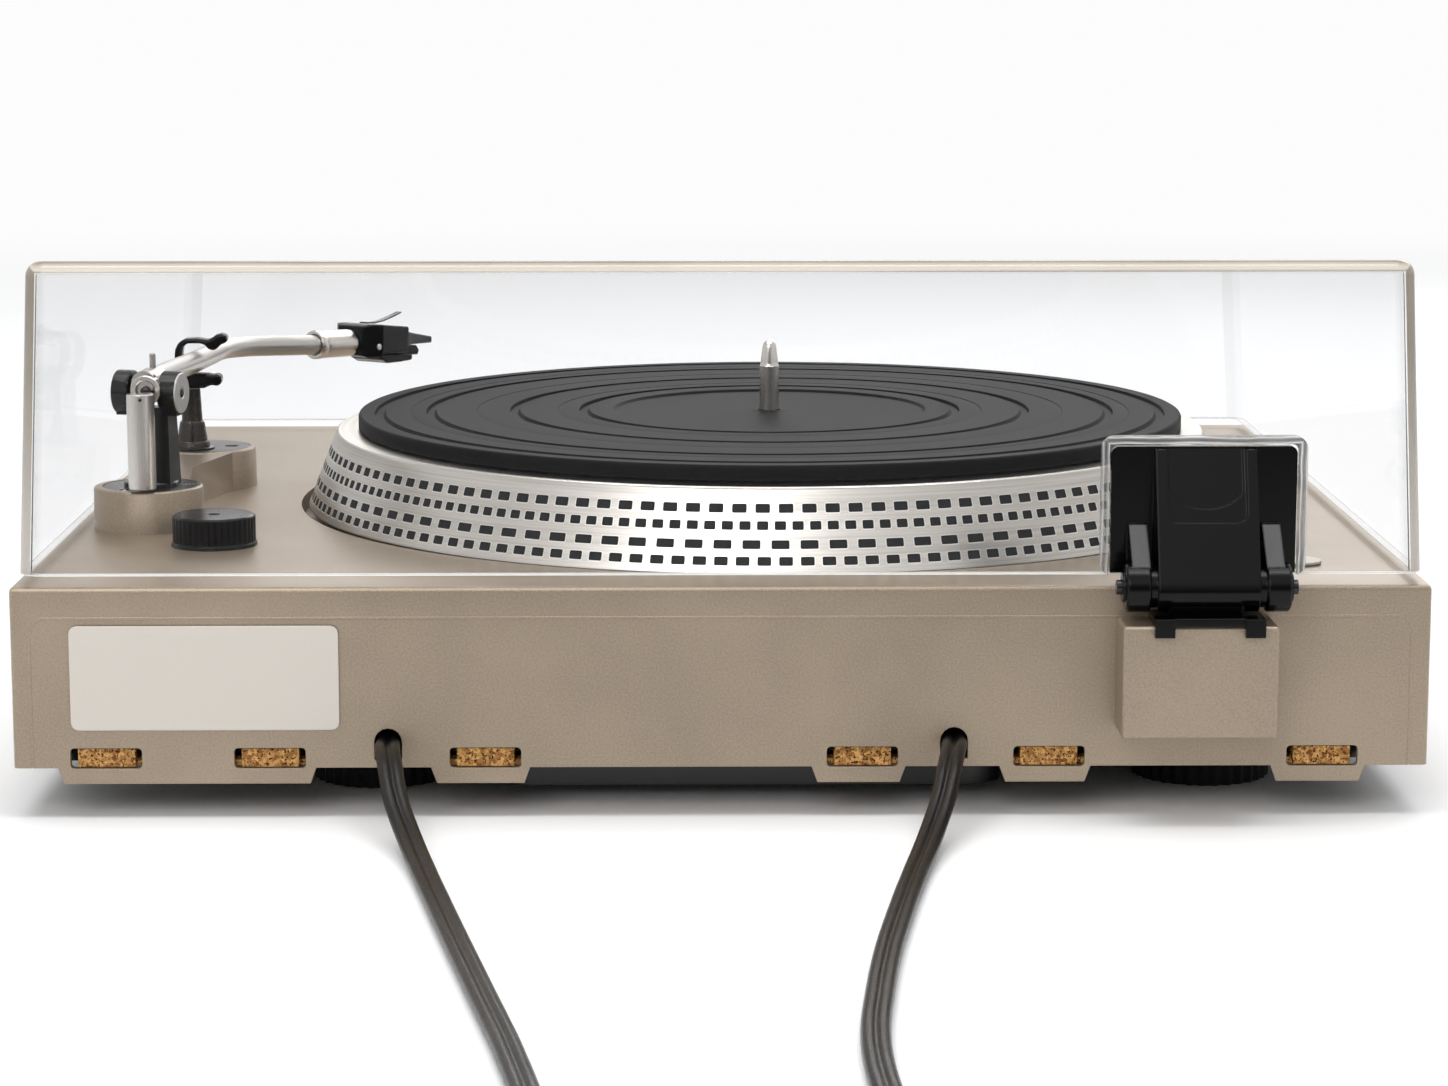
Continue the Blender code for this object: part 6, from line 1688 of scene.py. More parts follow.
@dataclass
class Tonearm:
    """The pivot with its two drums, the tube, the counterweight, the collar and the headshell.

    Attributes:
        shop: Where the pieces go.
        leg: The pillar's leg as (height, inner side, outer side, half of its depth).
        foot: The pillar's foot.
        shaft: The pillar's shaft down into the plinth.
        yoke: The block that carries the drums.
        axle: Height of the axle between the drums.
        drum: A drum as (radius, distance along the axle).
        stub: The axle's stub beside a drum.
        cap: The bright disc on a drum's end.
        screw: The screw in that disc.
        screw_slot: The slot in that screw.
        clamp_ring: The clamp's open ring as (radius, distance along).
        clamp_bore: The clamp's bore for the tube.
        hanger: The block between the ring and the weight.
        thread_turns: Turns that show on the balance rod.
        thread_pitch: Their pitch.
        pin: The thin pin.
        weight_profile: The counterweight.
        weight_spot: Where it hangs, beside and behind the pivot.
        weight_hole_shade: A black disc painted as the shade in the small hole in the weight, as (radius,
            distance along).
        tube_places: The tube's middle as (beside, ahead of the pivot, height).
        tube_ends: Where the tube runs on in the headshell's frame.
        tube_radius: The tube's radius.
        collar_profile: The collar as (radius, distance along).
        shell_rings: The headshell as (distance along, half width, underside, top).
        neck: The headshell's neck in the collar as (radius, distance along).
        side_screw: The headshell's side screw as (radius, distance across).
        cartridge_side: The cartridge's side shape as (distance along, height).
        stylus_side: The same of the stylus's block.
        lift_side: The finger lift's underside as (distance along, height).
        lift_thickness: The finger lift's thickness.
    """

    shop: Shop
    leg: tuple[tuple[float, float, float, float], ...] = (
        (14.2, -2.4, 8.6, 5.2), (16.0, -2.2, 8.5, 5.0), (38.0, -1.4, 7.9, 4.0))
    foot: Profile = ((0, 14.2), (9, 14.2), (9, 15.2), (8.6, 15.6), (0, 15.6))
    shaft: Cylinder = (3.2, -28, 15)
    yoke: Block = ((-10.6, 10.6), (-3, 3), (37.6, 40.3))
    axle: float = 45
    drum: Profile = ((0, 5.2), (6.9, 5.2), (7.25, 5.6), (7.25, 10.5), (7.1, 10.8), (6.7, 10.9), (0, 10.9))
    stub: Profile = ((0, 4.2), (1.2, 4.2), (1.2, 6.0), (0, 6.0))
    cap: Profile = (
        (0, 11.0), (6.7, 11.0), (6.7, 11.3), (6.45, 11.55), (2.1, 11.55), (1.9, 11.25), (0, 11.25))
    screw: Profile = ((0, 11.3), (1.5, 11.3), (1.5, 11.55), (1.2, 11.75), (0, 11.75))
    screw_slot: Block = ((11.5, 12.5), (-2, 2), (44.7, 45.3))
    clamp_ring: Profile = (
        (0, -4.0), (5.0, -4.0), (5.0, -9.4), (4.7, -9.8), (3.5, -9.8), (3.2, -9.5), (3.2, -5.0), (0, -5.0))
    clamp_bore: Profile = ((0, -9.0), (4.05, -9.0), (4.05, 12.0), (0, 12.0))
    hanger: Block = ((-1.5, 3.3), (-12.6, -6.0), (42.6, 45.4))
    thread_turns: int = 9
    thread_pitch: float = 0.45
    pin: Profile = ((0, 51.6), (1.05, 51.6), (1.05, 56.9), (0.8, 57.3), (0, 57.4))
    weight_profile: Profile = (
        (0, 14.95), (4.2, 14.95), (4.55, 15.3), (4.55, 46.0), (4.4, 46.3), (4.1, 46.4), (0, 46.4))
    weight_spot: tuple[float, float] = (0.9, -15.9)
    weight_hole_shade: Profile = ((0, -19.0), (0.55, -19.0), (0.55, -20.5), (0, -20.5))
    tube_places: tuple[tuple[float, float, float], ...] = (
        (-0.7, -7.8, 49.2), (0.5, 8, 48.7), (1.8, 42, 47.2), (3.4, 75, 45.8), (4.2, 92, 45.2),
        (5.8, 112, 45.0), (8.6, 126, 45.4), (14.6, 138, 44.9), (21.6, 147.2, 44.2), (29.2, 155.6, 43.4))
    tube_ends: tuple[float, ...] = (46, 52, 61.7)
    tube_radius: float = 3.75
    collar_profile: Profile = (
        (4.1, 46.6), (5.0, 46.6), (5.45, 47.1), (5.5, 48.6), (5.2, 49.6), (4.85, 50.0), (4.85, 50.4),
        (5.25, 50.9), (5.25, 66.8), (5.0, 67.6), (4.6, 68.0), (4.1, 68.0))
    shell_rings: tuple[tuple[float, float, float, float], ...] = (
        (68.3, 5.6, -4.4, 6.2), (70.6, 8.0, -5.4, 7.2), (75.8, 9.5, -5.4, 7.2), (77.2, 9.6, -4.1, 7.1),
        (92.6, 9.5, -4.0, 6.0), (93.2, 9.2, -1.2, 3.9), (97.5, 8.4, -1.1, 3.3), (112.4, 6.0, -1.1, 1.4))
    neck: Profile = ((0, 62.0), (3.4, 62.0), (3.4, 69.5), (0, 69.5))
    side_screw: Profile = ((0, 9.0), (1.25, 9.0), (1.25, 9.5), (1.0, 9.75), (0, 9.75))
    cartridge_side: Profile = (
        (77.8, -4.4), (92.2, -4.4), (92.7, -1.5), (100.4, -1.5), (102.2, -3.4), (101.4, -5.2), (92.4, -5.2),
        (92.4, -7.6), (82.6, -7.9), (78.8, -6.2))
    stylus_side: Profile = ((92.7, -5.5), (101.2, -5.5), (100.9, -7.3), (97.6, -7.7), (92.7, -7.6))
    lift_side: Profile = ((86, 6.5), (92, 6.2), (98, 7.0), (104, 8.4), (109, 9.9))
    lift_thickness: float = 0.55

    def build(self) -> None:
        """Make every piece of the arm."""
        self.pillar()
        self.caps()
        self.clamp()
        self.balance()
        self.weight()
        self.tube()
        self.collar()
        self.headshell()
        self.slab("cartridge_dressed", self.cartridge_side, 7.6, "cartridge")
        self.slab("stylus_dressed", self.stylus_side, 5.2, "stylus")
        self.lift()
        self.shop.dress("arm_trip_lever", STEEL)

    def pillar(self) -> None:
        """The black pillar: a foot, a tapering leg, the yoke and the two drums."""
        rings = [[Vector((x * MM, y * MM, above(z))) for x, y in
                  ((inner, -half), (outer, -half), (outer, half), (inner, half))]
                 for z, inner, outer, half in self.leg]
        parts = [turned_z(self.foot), disc(*self.shaft), block(*self.yoke)]
        height = Vector((0, 0, above(self.axle)))
        for sign in (-1, 1):
            parts.append(turned_x([(r, sign * x) for r, x in self.drum], 96, height))
            parts.append(turned_x([(r, sign * x) for r, x in self.stub], 24, height))
        piece = Form().loft(rings).move(PIVOT_FRAME).piece("arm_pillar_dressed")
        for part in parts:
            carve(piece, part.move(PIVOT_FRAME), Change.UNITE)
        soften(piece, 0.25 * MM)
        self.shop.add(piece, Body.PIVOT, Slot.BLACK, BLACK, "arm_pillar")

    def caps(self) -> None:
        """The bright disc on the end of the drum nearer the platter, with its slotted bearing screw."""
        height = Vector((0, 0, above(self.axle)))
        piece = turned_x(self.cap, 72, height).move(PIVOT_FRAME).piece("bearing_cap_dressed")
        soften(piece)
        self.shop.add(piece, Body.PIVOT, Slot.STEEL, CAP, "bearing_cap")
        piece = turned_x(self.screw, 32, height).move(PIVOT_FRAME).piece("bearing_screw")
        carve(piece, block(*self.screw_slot).move(PIVOT_FRAME))
        soften(piece)
        self.shop.add(piece, Body.PIVOT, Slot.STEEL, GUNMETAL)

    def clamp(self) -> None:
        """The round-topped block that holds the tube, and the open ring that the weight hangs from."""
        outline = [(-4.6 * MM, above(43.2)), (4.6 * MM, above(43.2))]
        outline += arc((0.6 * MM, above(48.6)), 4.0 * MM, 0, 90, 10)
        outline += arc((-0.6 * MM, above(48.6)), 4.0 * MM, 90, 180, 10)
        piece = Form().prism(outline, -8 * MM, 5.6 * MM, ALONG_Y).move(REAR_FRAME).piece("tube_clamp_dressed")
        ring = turned_y(self.clamp_ring, 72, Vector((self.weight_spot[0] * MM, 0, above(46.6))))
        carve(piece, ring.move(REAR_FRAME), Change.UNITE)
        carve(piece, block(*self.hanger).move(REAR_FRAME), Change.UNITE)
        carve(piece, turned_y(self.clamp_bore, 48).move(TUBE_FRAME))
        soften(piece, 0.2 * MM)
        self.shop.add(piece, Body.TONEARM, Slot.STEEL, SATIN, "tube_clamp")

    def balance(self) -> None:
        """The threaded rod in the open ring, and the thin pin on the clamp."""
        thread = [(0, -5.2)]
        for i in range(self.thread_turns):
            y = -5.3 - i * self.thread_pitch
            thread += [(1.35, y), (1.7, y - 0.2)]
        thread += [(1.3, -9.4), (0, -9.4)]
        centre = Vector((self.weight_spot[0] * MM, 0, above(46.6))) + Vector((0, 0, -0.4 * MM))
        piece = turned_y(thread, 32, centre).move(REAR_FRAME).piece("balance_thread")
        soften(piece)
        self.shop.add(piece, Body.TONEARM, Slot.STEEL, GUNMETAL)
        piece = turned_z(self.pin, 32, Vector((0, 5.6 * MM, 0))).move(REAR_FRAME).piece("arm_pin_dressed")
        soften(piece)
        self.shop.add(piece, Body.TONEARM, Slot.STEEL, STEEL, "arm_pin")

    def weight(self) -> None:
        """The satin cylinder that hangs behind the pivot, with a black disc painted as the shade in the small
        hole near its top.
        """
        place = Vector((self.weight_spot[0] * MM, self.weight_spot[1] * MM, 0))
        piece = turned_z(self.weight_profile, 96, place).move(REAR_FRAME).piece("weight_dressed")
        soften(piece)
        self.shop.add(piece, Body.TONEARM, Slot.CHROME, SATIN, "counterweight")
        # No hole is cut: a small black disc stands in for the shade inside it.
        hole = turned_y(self.weight_hole_shade, 24, Vector((1.9 * MM, 0, above(44.8))))
        piece = hole.move(REAR_FRAME).piece("weight_hole_shade")
        soften(piece)
        self.shop.add(piece, Body.TONEARM, Slot.BLACK, BLACK)

    def tube(self) -> None:
        """The S-shaped tube, straight from the clamp over the rest and turned in towards the headshell."""
        route = [Vector((POD.x - side * MM, POD.y - ahead * MM, above(rise)))
                 for side, ahead, rise in self.tube_places]
        route += [SHELL_FRAME @ Vector((0, y * MM, 0)) for y in self.tube_ends]
        piece = swept("arm_tube_dressed", Route.smooth(route, 2 * MM).points, self.tube_radius * MM)
        soften(piece)
        self.shop.add(piece, Body.TONEARM, Slot.CHROME, TUBE, "arm_tube")

    def collar(self) -> None:
        """The wide locking collar with its raised rear ring."""
        piece = turned_y(self.collar_profile, 72).move(SHELL_FRAME).piece("collar_dressed")
        soften(piece)
        self.shop.add(piece, Body.COLLAR, Slot.CHROME, SATIN, "headshell_collar")

    def headshell(self) -> None:
        """The deep black headshell that thins to a plate over the cartridge, and its side screw."""
        rings = [[Vector((x * MM, y * MM, z * MM)) for x, z in
                  ((-half, low), (half, low), (half, high), (-half, high))]
                 for y, half, low, high in self.shell_rings]
        piece = Form().loft(rings).move(SHELL_FRAME).piece("headshell_dressed")
        carve(piece, turned_y(self.neck, 32).move(SHELL_FRAME), Change.UNITE)
        soften(piece, 0.5 * MM)
        self.shop.add(piece, Body.TONEARM, Slot.BLACK, MOULDED, "headshell")
        screw = turned_x(self.side_screw, 24, Vector((0, 74.6 * MM, -1.3 * MM)))
        piece = screw.move(SHELL_FRAME).piece("headshell_screw")
        slot = Form().box((9.5 * MM, 10.5 * MM), (72 * MM, 77 * MM), (-1.5 * MM, -1.1 * MM))
        carve(piece, slot.move(SHELL_FRAME))
        soften(piece)
        self.shop.add(piece, Body.TONEARM, Slot.STEEL, STEEL)

    def slab(self, name: str, side: Sequence[Point], half: float, node: str) -> None:
        """A block with a side shape in the headshell's frame.

        Args:
            name: The piece's name.
            side: Its side shape as (distance along, height) in millimetres.
            half: Half of its width in millimetres.
            node: The node that it stands for.
        """
        form = Form().prism(scaled(side), -half * MM, half * MM, ALONG_X)
        piece = form.move(SHELL_FRAME).piece(name)
        soften(piece, 0.35 * MM)
        self.shop.add(piece, Body.TONEARM, Slot.BLACK, MOULDED, node)

    def lift(self) -> None:
        """The thin finger lift that rises forward from the headshell's outer side."""
        outline = list(self.lift_side) + [(y, z + self.lift_thickness) for y, z in reversed(self.lift_side)]
        form = Form().prism(scaled(outline), -9.3 * MM, -6.6 * MM, ALONG_X)
        piece = form.move(SHELL_FRAME).piece("finger_lift_dressed")
        soften(piece, 0.15 * MM)
        self.shop.add(piece, Body.TONEARM, Slot.STEEL, GUNMETAL, "finger_lift")


@dataclass
class ArmRest:
    """The painted base with its plates and screws, and the rest's ringed pillar with its hook.

    Attributes:
        shop: Where the pieces go.
        pivot_place: Middle of the pod under the pivot.
        rest_place: Middle of the pod under the rest.
        pillar_profile: The rest's pillar.
        pivot_pod: The pivot's pod.
        rest_pod: The rest's pod.
        screw_angles: Where the screws stand round the pivot, in degrees.
        screw_reach: How far from the pivot they stand.
        screw_profile: A screw.
        screw_slot: The slot in a screw.
        screw_hole: The hole round a screw.
        pivot_well: Where the pivot's plate is let in.
        rest_well: Where the rest's plate is let in.
        shaft_hole: The hole for the arm pillar's shaft.
        pod_plate: The plate round the pivot.
        rest_plate: The plate under the rest.
        hook_outline: The hook as (beside the pod's middle towards the platter, height).
        hook_half: Half of the hook's width.
    """

    shop: Shop
    pivot_place: Vector = field(default_factory=lambda: POD + Vector((1.0 * MM, 0, 0)))
    rest_place: Vector = field(default_factory=lambda: Vector((0.1834, -0.0315, 0)))
    pillar_profile: Profile = (
        (0, 14.2), (7.4, 14.2), (7.7, 14.4), (7.7, 14.7), (7.2, 14.9), (6.4, 15.1), (6.1, 16.4), (5.7, 16.9),
        (5.4, 17.1), (4.4, 23.4), (4.0, 23.9), (3.7, 24.2), (3.1, 35.6), (0, 35.7))
    pivot_pod: Profile = (
        (0, -0.6), (18.4, -0.6), (18.2, 0.3), (18.0, 13.3), (17.6, 13.8), (17.0, 14.0), (0, 14.0))
    rest_pod: Profile = (
        (0, -0.6), (19.0, -0.6), (18.8, 0.3), (18.6, 13.3), (18.2, 13.8), (17.6, 14.0), (0, 14.0))
    screw_angles: tuple[int, ...] = (60, 195, 300)
    screw_reach: float = 12.6
    screw_profile: Profile = ((0, 12.95), (2.2, 12.95), (2.2, 13.6), (1.9, 13.85), (0, 13.85))
    screw_slot: Block = ((-2.6, 2.6), (-0.35, 0.35), (13.45, 15))
    screw_hole: Cylinder = (2.5, 12.9, 15)
    pivot_well: Cylinder = (16.2, 13.1, 15.0)
    rest_well: Cylinder = (16.8, 13.1, 15.0)
    shaft_hole: Cylinder = (3.6, -2, 15.0)
    pod_plate: Profile = ((3.4, 13.15), (16.1, 13.15), (16.1, 13.7), (15.7, 13.95), (3.4, 13.95))
    rest_plate: Profile = ((0, 13.15), (16.7, 13.15), (16.7, 13.8), (16.3, 14.1), (0, 14.1))
    hook_outline: Profile = (
        (-4.2, 36.0), (-5.9, 38.6), (-6.9, 41.5), (-7.2, 46.0), (-6.9, 49.6), (-5.6, 52.2), (-3.2, 53.5),
        (1.0, 53.7), (4.2, 53.2), (5.6, 53.3), (7.6, 54.8), (9.6, 55.3), (11.2, 54.8), (11.7, 53.4),
        (11.2, 52.0), (9.8, 51.6), (8.6, 50.8), (7.8, 49.7), (6.2, 49.35), (4.8, 49.9), (3.6, 51.3),
        (2.0, 51.85), (-2.2, 51.85), (-3.9, 50.9), (-4.4, 48.6), (-4.4, 44.8), (-3.9, 42.6), (-2.4, 41.4),
        (0.0, 41.1), (2.4, 41.1), (4.6, 41.0), (6.2, 40.5), (7.6, 41.1), (9.0, 40.4), (9.5, 38.9),
        (8.9, 37.2), (7.4, 36.6), (6.0, 37.2), (4.8, 36.7), (3.0, 35.9))
    hook_half: float = 3

    def build(self) -> None:
        """Make the rest, the screws and the base."""
        place = REST + Vector((2.0 * MM, 0, 0))
        piece = turned_z(self.pillar_profile, 72, place).piece("rest_pillar_dressed")
        soften(piece)
        self.shop.add(piece, Body.PLINTH, Slot.BLACK, GUNMETAL, "rest_pillar")
        self.hook()
        self.screws()
        self.pods()
        self.plates()

    def screw_places(self) -> list[tuple[float, Vector]]:
        """Where the pod's screws stand.

        Returns:
            Each screw's angle in radians and its middle.
        """
        turns = [math.radians(angle) for angle in self.screw_angles]
        return [(turn, POD + Vector((math.cos(turn), math.sin(turn), 0)) * self.screw_reach * MM)
                for turn in turns]

    def screws(self) -> None:
        """The slotted screws in the pod's plate."""
        for index, (turn, centre) in enumerate(self.screw_places()):
            piece = turned_z(self.screw_profile, 28, centre).piece(f"pod_screw_{index}")
            frame = Matrix.Translation(centre) @ Matrix.Rotation(turn * 1.7, 4, "Z")
            carve(piece, block(*self.screw_slot).move(frame))
            soften(piece)
            self.shop.add(piece, Body.PLINTH, Slot.STEEL, STEEL)

    def pods(self) -> None:
        """The painted base: round pods under the pivot and the rest, and the waist between them."""
        near, far = self.pivot_place, self.rest_place
        piece = turned_z(self.pivot_pod, 192, near).piece("arm_base_dressed")
        carve(piece, turned_z(self.rest_pod, 192, far), Change.UNITE)
        waist = [(near.x + 12 * MM, near.y - 8 * MM), (near.x - 12.5 * MM, near.y - 8 * MM),
                 (near.x - 8.6 * MM, near.y - 44 * MM), (far.x - 13 * MM, far.y + 10 * MM),
                 (far.x - 8 * MM, far.y), (far.x + 12 * MM, far.y)]
        carve(piece, Form().prism(waist, above(-0.6), above(13.6)), Change.UNITE)
        carve(piece, disc(*self.pivot_well, 96, POD))
        carve(piece, disc(*self.rest_well, 96, far))
        carve(piece, disc(*self.shaft_hole, 32, POD))
        soften(piece, weighted=False)
        self.shop.add(piece, Body.PLINTH, Slot.PAINT, POD_PAINT, "arm_base")

    def plates(self) -> None:
        """The dark plate round the pivot and the grey one under the rest."""
        piece = turned_z(self.pod_plate, 96, POD).piece("pod_plate_dressed")
        for _, centre in self.screw_places():
            carve(piece, disc(*self.screw_hole, 32, centre))
        soften(piece)
        self.shop.add(piece, Body.PLINTH, Slot.BLACK, DARK_PLATE, "pod_plate")
        far = self.rest_place
        piece = turned_z(self.rest_plate, 96, far).piece("rest_plate_dressed")
        slot = rounded((far.x - 12.6 * MM, far.x - 7.6 * MM), (far.y - 2.0 * MM, far.y + 2.0 * MM), 1.9 * MM)
        carve(piece, Form().prism(slot, above(13.5), above(15)))
        soften(piece)
        self.shop.add(piece, Body.PLINTH, Slot.STEEL, GREY, "rest_plate")

    def hook(self) -> None:
        """The black hook round the tube, with a long tongue over it and a knob on its lower lip."""
        middle = POD.x - 3.7 * MM
        outline = [(middle - side * MM, above(z)) for side, z in self.hook_outline]
        half = self.hook_half * MM
        piece = Form().prism(outline, -REST.y - half, -REST.y + half, ALONG_Y).piece("arm_rest_dressed")
        soften(piece, 0.9 * MM, sharp=50)
        self.shop.add(piece, Body.PLINTH, Slot.BLACK, MOULDED, "arm_rest_clip")


@dataclass
class HingeArm:
    """The hinge's moving half: a plate in the cover's pocket, a scooped bracket, and lugs on round ends.

    Attributes:
        shop: Where the piece goes.
        place: The hinge's middle on the plinth's back upper edge.
        axis: The middle of its pin.
        side: The bracket's sides as (distance out from the back, height), up to its round end.
        half: Half of the bracket's width.
        scoop: The inner scoop as (across, up from the bracket's upper edge).
        plate_low: Height of the plate's lower edge.
        plate_half: Half of the plate's width.
        lug: A lug as (distance out, height).
        end: A round end as (radius, distance from the middle).
        under: The hollow under the bracket as (distance out, height).
        inner: Half of the width between the bracket's cheeks.
        hollow_radius: Radius of the hollow between them.
        pin_radius: Radius of the pin's bore.
        pin_half: Half of that bore's length.
    """

    shop: Shop
    place: Vector = field(default_factory=lambda: Vector((HINGE_X, BACK_Y, TOP_Z)))
    axis: Vector = field(default_factory=lambda: Vector((HINGE_X, 0.191, 0.0725)))
    side: Profile = ((-1.0, 42.0), (3.5, 42.0), (17.5, 4.0))
    half: float = 15.2
    scoop: Profile = ((-11.2, 12), (-11.2, -12.5), (-9.6, -14.4), (-6.8, -16.4), (-3.4, -17.6), (0, -18),
                      (3.4, -17.6), (6.8, -16.4), (9.6, -14.4), (11.2, -12.5), (11.2, 12))
    plate_low: float = 4.1
    plate_half: float = 27.9
    lug: Profile = ((-1.2, 19.2), (3.0, 19.2), (15.0, 7.4), (11, 1.5), (-1.2, 9.0))
    end: Profile = ((0, 14.0), (6.1, 14.0), (6.1, 17.3), (6.9, 17.3), (7.4, 17.8), (7.4, 24.0), (6.9, 24.6),
                    (4.6, 24.8), (4.4, 25.5), (0, 25.5))
    under: Profile = ((1.2, 3.7), (1.2, -14), (16.8, -14), (16.2, 1.9), (16.2, 3.7))
    inner: float = 11.6
    hollow_radius: float = 5.2
    pin_radius: float = 2.5
    pin_half: float = 30

    def slab(self, side: Sequence[Point], low: float, high: float) -> Form:
        """A block pushed along X.

        Args:
            side: Its side shape as (distance out from the back, height above the top) in millimetres.
            low: Its lower end from the hinge's middle in millimetres.
            high: Its upper end.

        Returns:
            The form.
        """
        return Form().prism(scaled(side), low * MM, high * MM, ALONG_X, self.place)

    def bore(self, radius: float, half: float, sides: int) -> Form:
        """A cylinder round the pin, in millimetres."""
        return turned_x(((0, -half), (radius, -half), (radius, half), (0, half)), sides, self.axis)

    def build(self) -> None:
        """Make the arm."""
        side = [*self.side, *arc((11, 1.5), 7.3, 0, -180, 20), (-1.0, 8.8)]
        piece = self.slab(side, -self.half, self.half).piece("hinge_arm_dressed")
        self.carve_scoop(piece)
        plate = [(-self.plate_half, self.plate_low), (self.plate_half, self.plate_low),
                 *arc((25.7, 40.2), 2.3, 0, 90, 8), *arc((-25.7, 40.2), 2.3, 90, 180, 8)]
        carve(piece, Form().prism(scaled(plate), -0.6 * MM, 2.4 * MM, ALONG_Y, self.place), Change.UNITE)
        for sign in (-1, 1):
            carve(piece, self.slab(self.lug, *sorted((sign * 17.3, sign * 22.8))), Change.UNITE)
            carve(piece, turned_x([(r, sign * x) for r, x in self.end], 72, self.axis), Change.UNITE)
        carve(piece, self.bore(self.hollow_radius, self.inner, 48))
        carve(piece, self.slab(self.under, -self.inner, self.inner))
        carve(piece, self.bore(self.pin_radius, self.pin_half, 32))
        soften(piece, 0.4 * MM)
        self.shop.add(piece, Body.COVER, Slot.BLACK, MOULDED, "hinge_arm")

    def carve_scoop(self, piece: bpy.types.Object) -> None:
        """Sink a rounded field and a deeper scoop into the bracket's slanted face.

        Args:
            piece: The bracket.
        """
        face = (Matrix.Translation(self.place + Vector((0, 3.5 * MM, 42 * MM)))
                @ Matrix.Rotation(math.atan2(14.0, 38.0), 4, "X"))
        outline = rounded((-11.9 * MM, 11.9 * MM), (-22.4 * MM, 12 * MM), 3.2 * MM, 8)
        carve(piece, Form().prism(outline, -4 * MM, 1.5 * MM, ALONG_Y).move(face))
        carve(piece, Form().prism(scaled(self.scoop), -4 * MM, 2.6 * MM, ALONG_Y).move(face))


@dataclass
class AntiSkateKnob:
    """The ribbed black knob beside the arm.

    Attributes:
        shop: Where the piece goes.
        place: The knob's middle.
        ribs: How many ribs go round it.
        radius: Its radius over the ribs.
        groove: Depth between the ribs.
        rib_span: The ribs' lower and upper ends.
        shaft: Its shaft down into the plinth.
        foot: Its foot.
        top: Its top.
    """

    shop: Shop
    place: Vector = field(default_factory=lambda: Vector((0.163, 0.100, 0.0)))
    ribs: int = 40
    radius: float = 13.35
    groove: float = 0.75
    rib_span: Span = (0.9, 9.4)
    shaft: Cylinder = (2.6, -9, 0.2)
    foot: Profile = ((0, -0.2), (13.7, -0.2), (13.9, 0.1), (13.7, 1.0), (13.2, 1.4), (0, 1.4))
    top: Profile = (
        (0, 9.2), (13.3, 9.2), (13.2, 9.6), (12.5, 10.0), (11.8, 9.9), (2.0, 9.9), (1.7, 9.5), (0, 9.4))

    def build(self) -> None:
        """Make the knob."""
        outline = []
        for i in range(self.ribs * 10):
            angle = math.tau * i / (self.ribs * 10)
            reach = self.radius - self.groove * max(0.0, math.cos(angle * self.ribs)) ** 2
            outline.append((reach * MM * math.cos(angle), reach * MM * math.sin(angle)))
        form = Form().prism(outline, *map(above, self.rib_span), place=self.place)
        piece = form.piece("anti_skate_dressed")
        carve(piece, turned_z(self.foot, 160, self.place), Change.UNITE)
        carve(piece, turned_z(self.top, 160, self.place), Change.UNITE)
        carve(piece, disc(*self.shaft, 32, self.place), Change.UNITE)
        soften(piece, sharp=30.0)
        self.shop.add(piece, Body.KNOB, Slot.BLACK, MOULDED, "anti_skate_knob")


PLAIN_NODES: dict[str, Surface] = {
    "hinge_pin": BLACK, "motor_stator": STEEL, "control_board": BOARD, "bearing_sleeve": BRASS,
    "transformer": STEEL, "top_plug": LABEL, "front_panel": FRONT, "strobe_lamp_housing": BLACK,
    "bottom_cover": BLACK, "label_plate": LABEL, "top_chassis": PAINT, "back_panel": PAINT,
    "hinge_housing": PAINT, "hinge_base": MOULDED, "start_key": FRONT, "stop_key": FRONT, "speed_key": FRONT,
    "pitch_knob": FRONT, "foot_rear_right": RUBBER, "foot_rear_left": RUBBER, "foot_front_left": RUBBER,
    "foot_front_right": RUBBER}


@dataclass
class Plinth:
    """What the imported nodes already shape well, with finishes and round edges.

    Attributes:
        shop: Where the pieces go.
        fold_outer: The fold's outer edge as (half width, top, bend).
        fold_inner: Its inner edge.
        fold_foot: Height of its lower ends.
    """

    shop: Shop
    fold_outer: tuple[float, float, float] = (209.6, -9.0, 5.2)
    fold_inner: tuple[float, float, float] = (208.7, -9.9, 4.2)
    fold_foot: float = -55.5

    def build(self) -> None:
        """Dress every plain node, and make the fold."""
        for name, finish in PLAIN_NODES.items():
            self.shop.dress(name, finish)
        self.shop.dress("cork_strip", CorkGrain(), 0.0002)
        self.seam()

    def seam(self) -> None:
        """The raised fold that runs round the top and the sides of the back panel."""
        outline = []
        for (half, top, bend), way in ((self.fold_outer, 1), (self.fold_inner, -1)):
            centre = (half - bend, top - bend)
            points = [(half, self.fold_foot), *arc(centre, bend, 0, 90, 10),
                      *arc((-centre[0], centre[1]), bend, 90, 180, 10), (-half, self.fold_foot)]
            outline += points[::way]
        form = Form().prism(raised(outline), -BACK_Y - 0.15 * MM, -BACK_Y + 1.5 * MM, ALONG_Y)
        piece = form.piece("panel_fold")
        soften(piece, 0.14 * MM)
        self.shop.add(piece, Body.PLINTH, Slot.PAINT, POD_PAINT)


# Studio

@dataclass(frozen=True)
class SoftBox:
    """A soft light.

    Attributes:
        name: Its name.
        place: Where it hangs.
        target: The point that it looks at.
        size: Its width and height in metres.
        power: Its power in watts.
    """

    name: str
    place: tuple[float, float, float]
    target: tuple[float, float, float]
    size: tuple[float, float]
    power: float

    def build(self) -> None:
        """Hang the light."""
        data = bpy.data.lights.new(self.name, "AREA")
        data.shape = "RECTANGLE"
        data.size, data.size_y = self.size
        data.energy = self.power
        lamp = link(self.name, data)
        place = Vector(self.place)
        turn = (Vector(self.target) - place).to_track_quat("-Z", "Y").to_matrix()
        lamp.matrix_world = Matrix.Translation(place) @ turn.to_4x4()


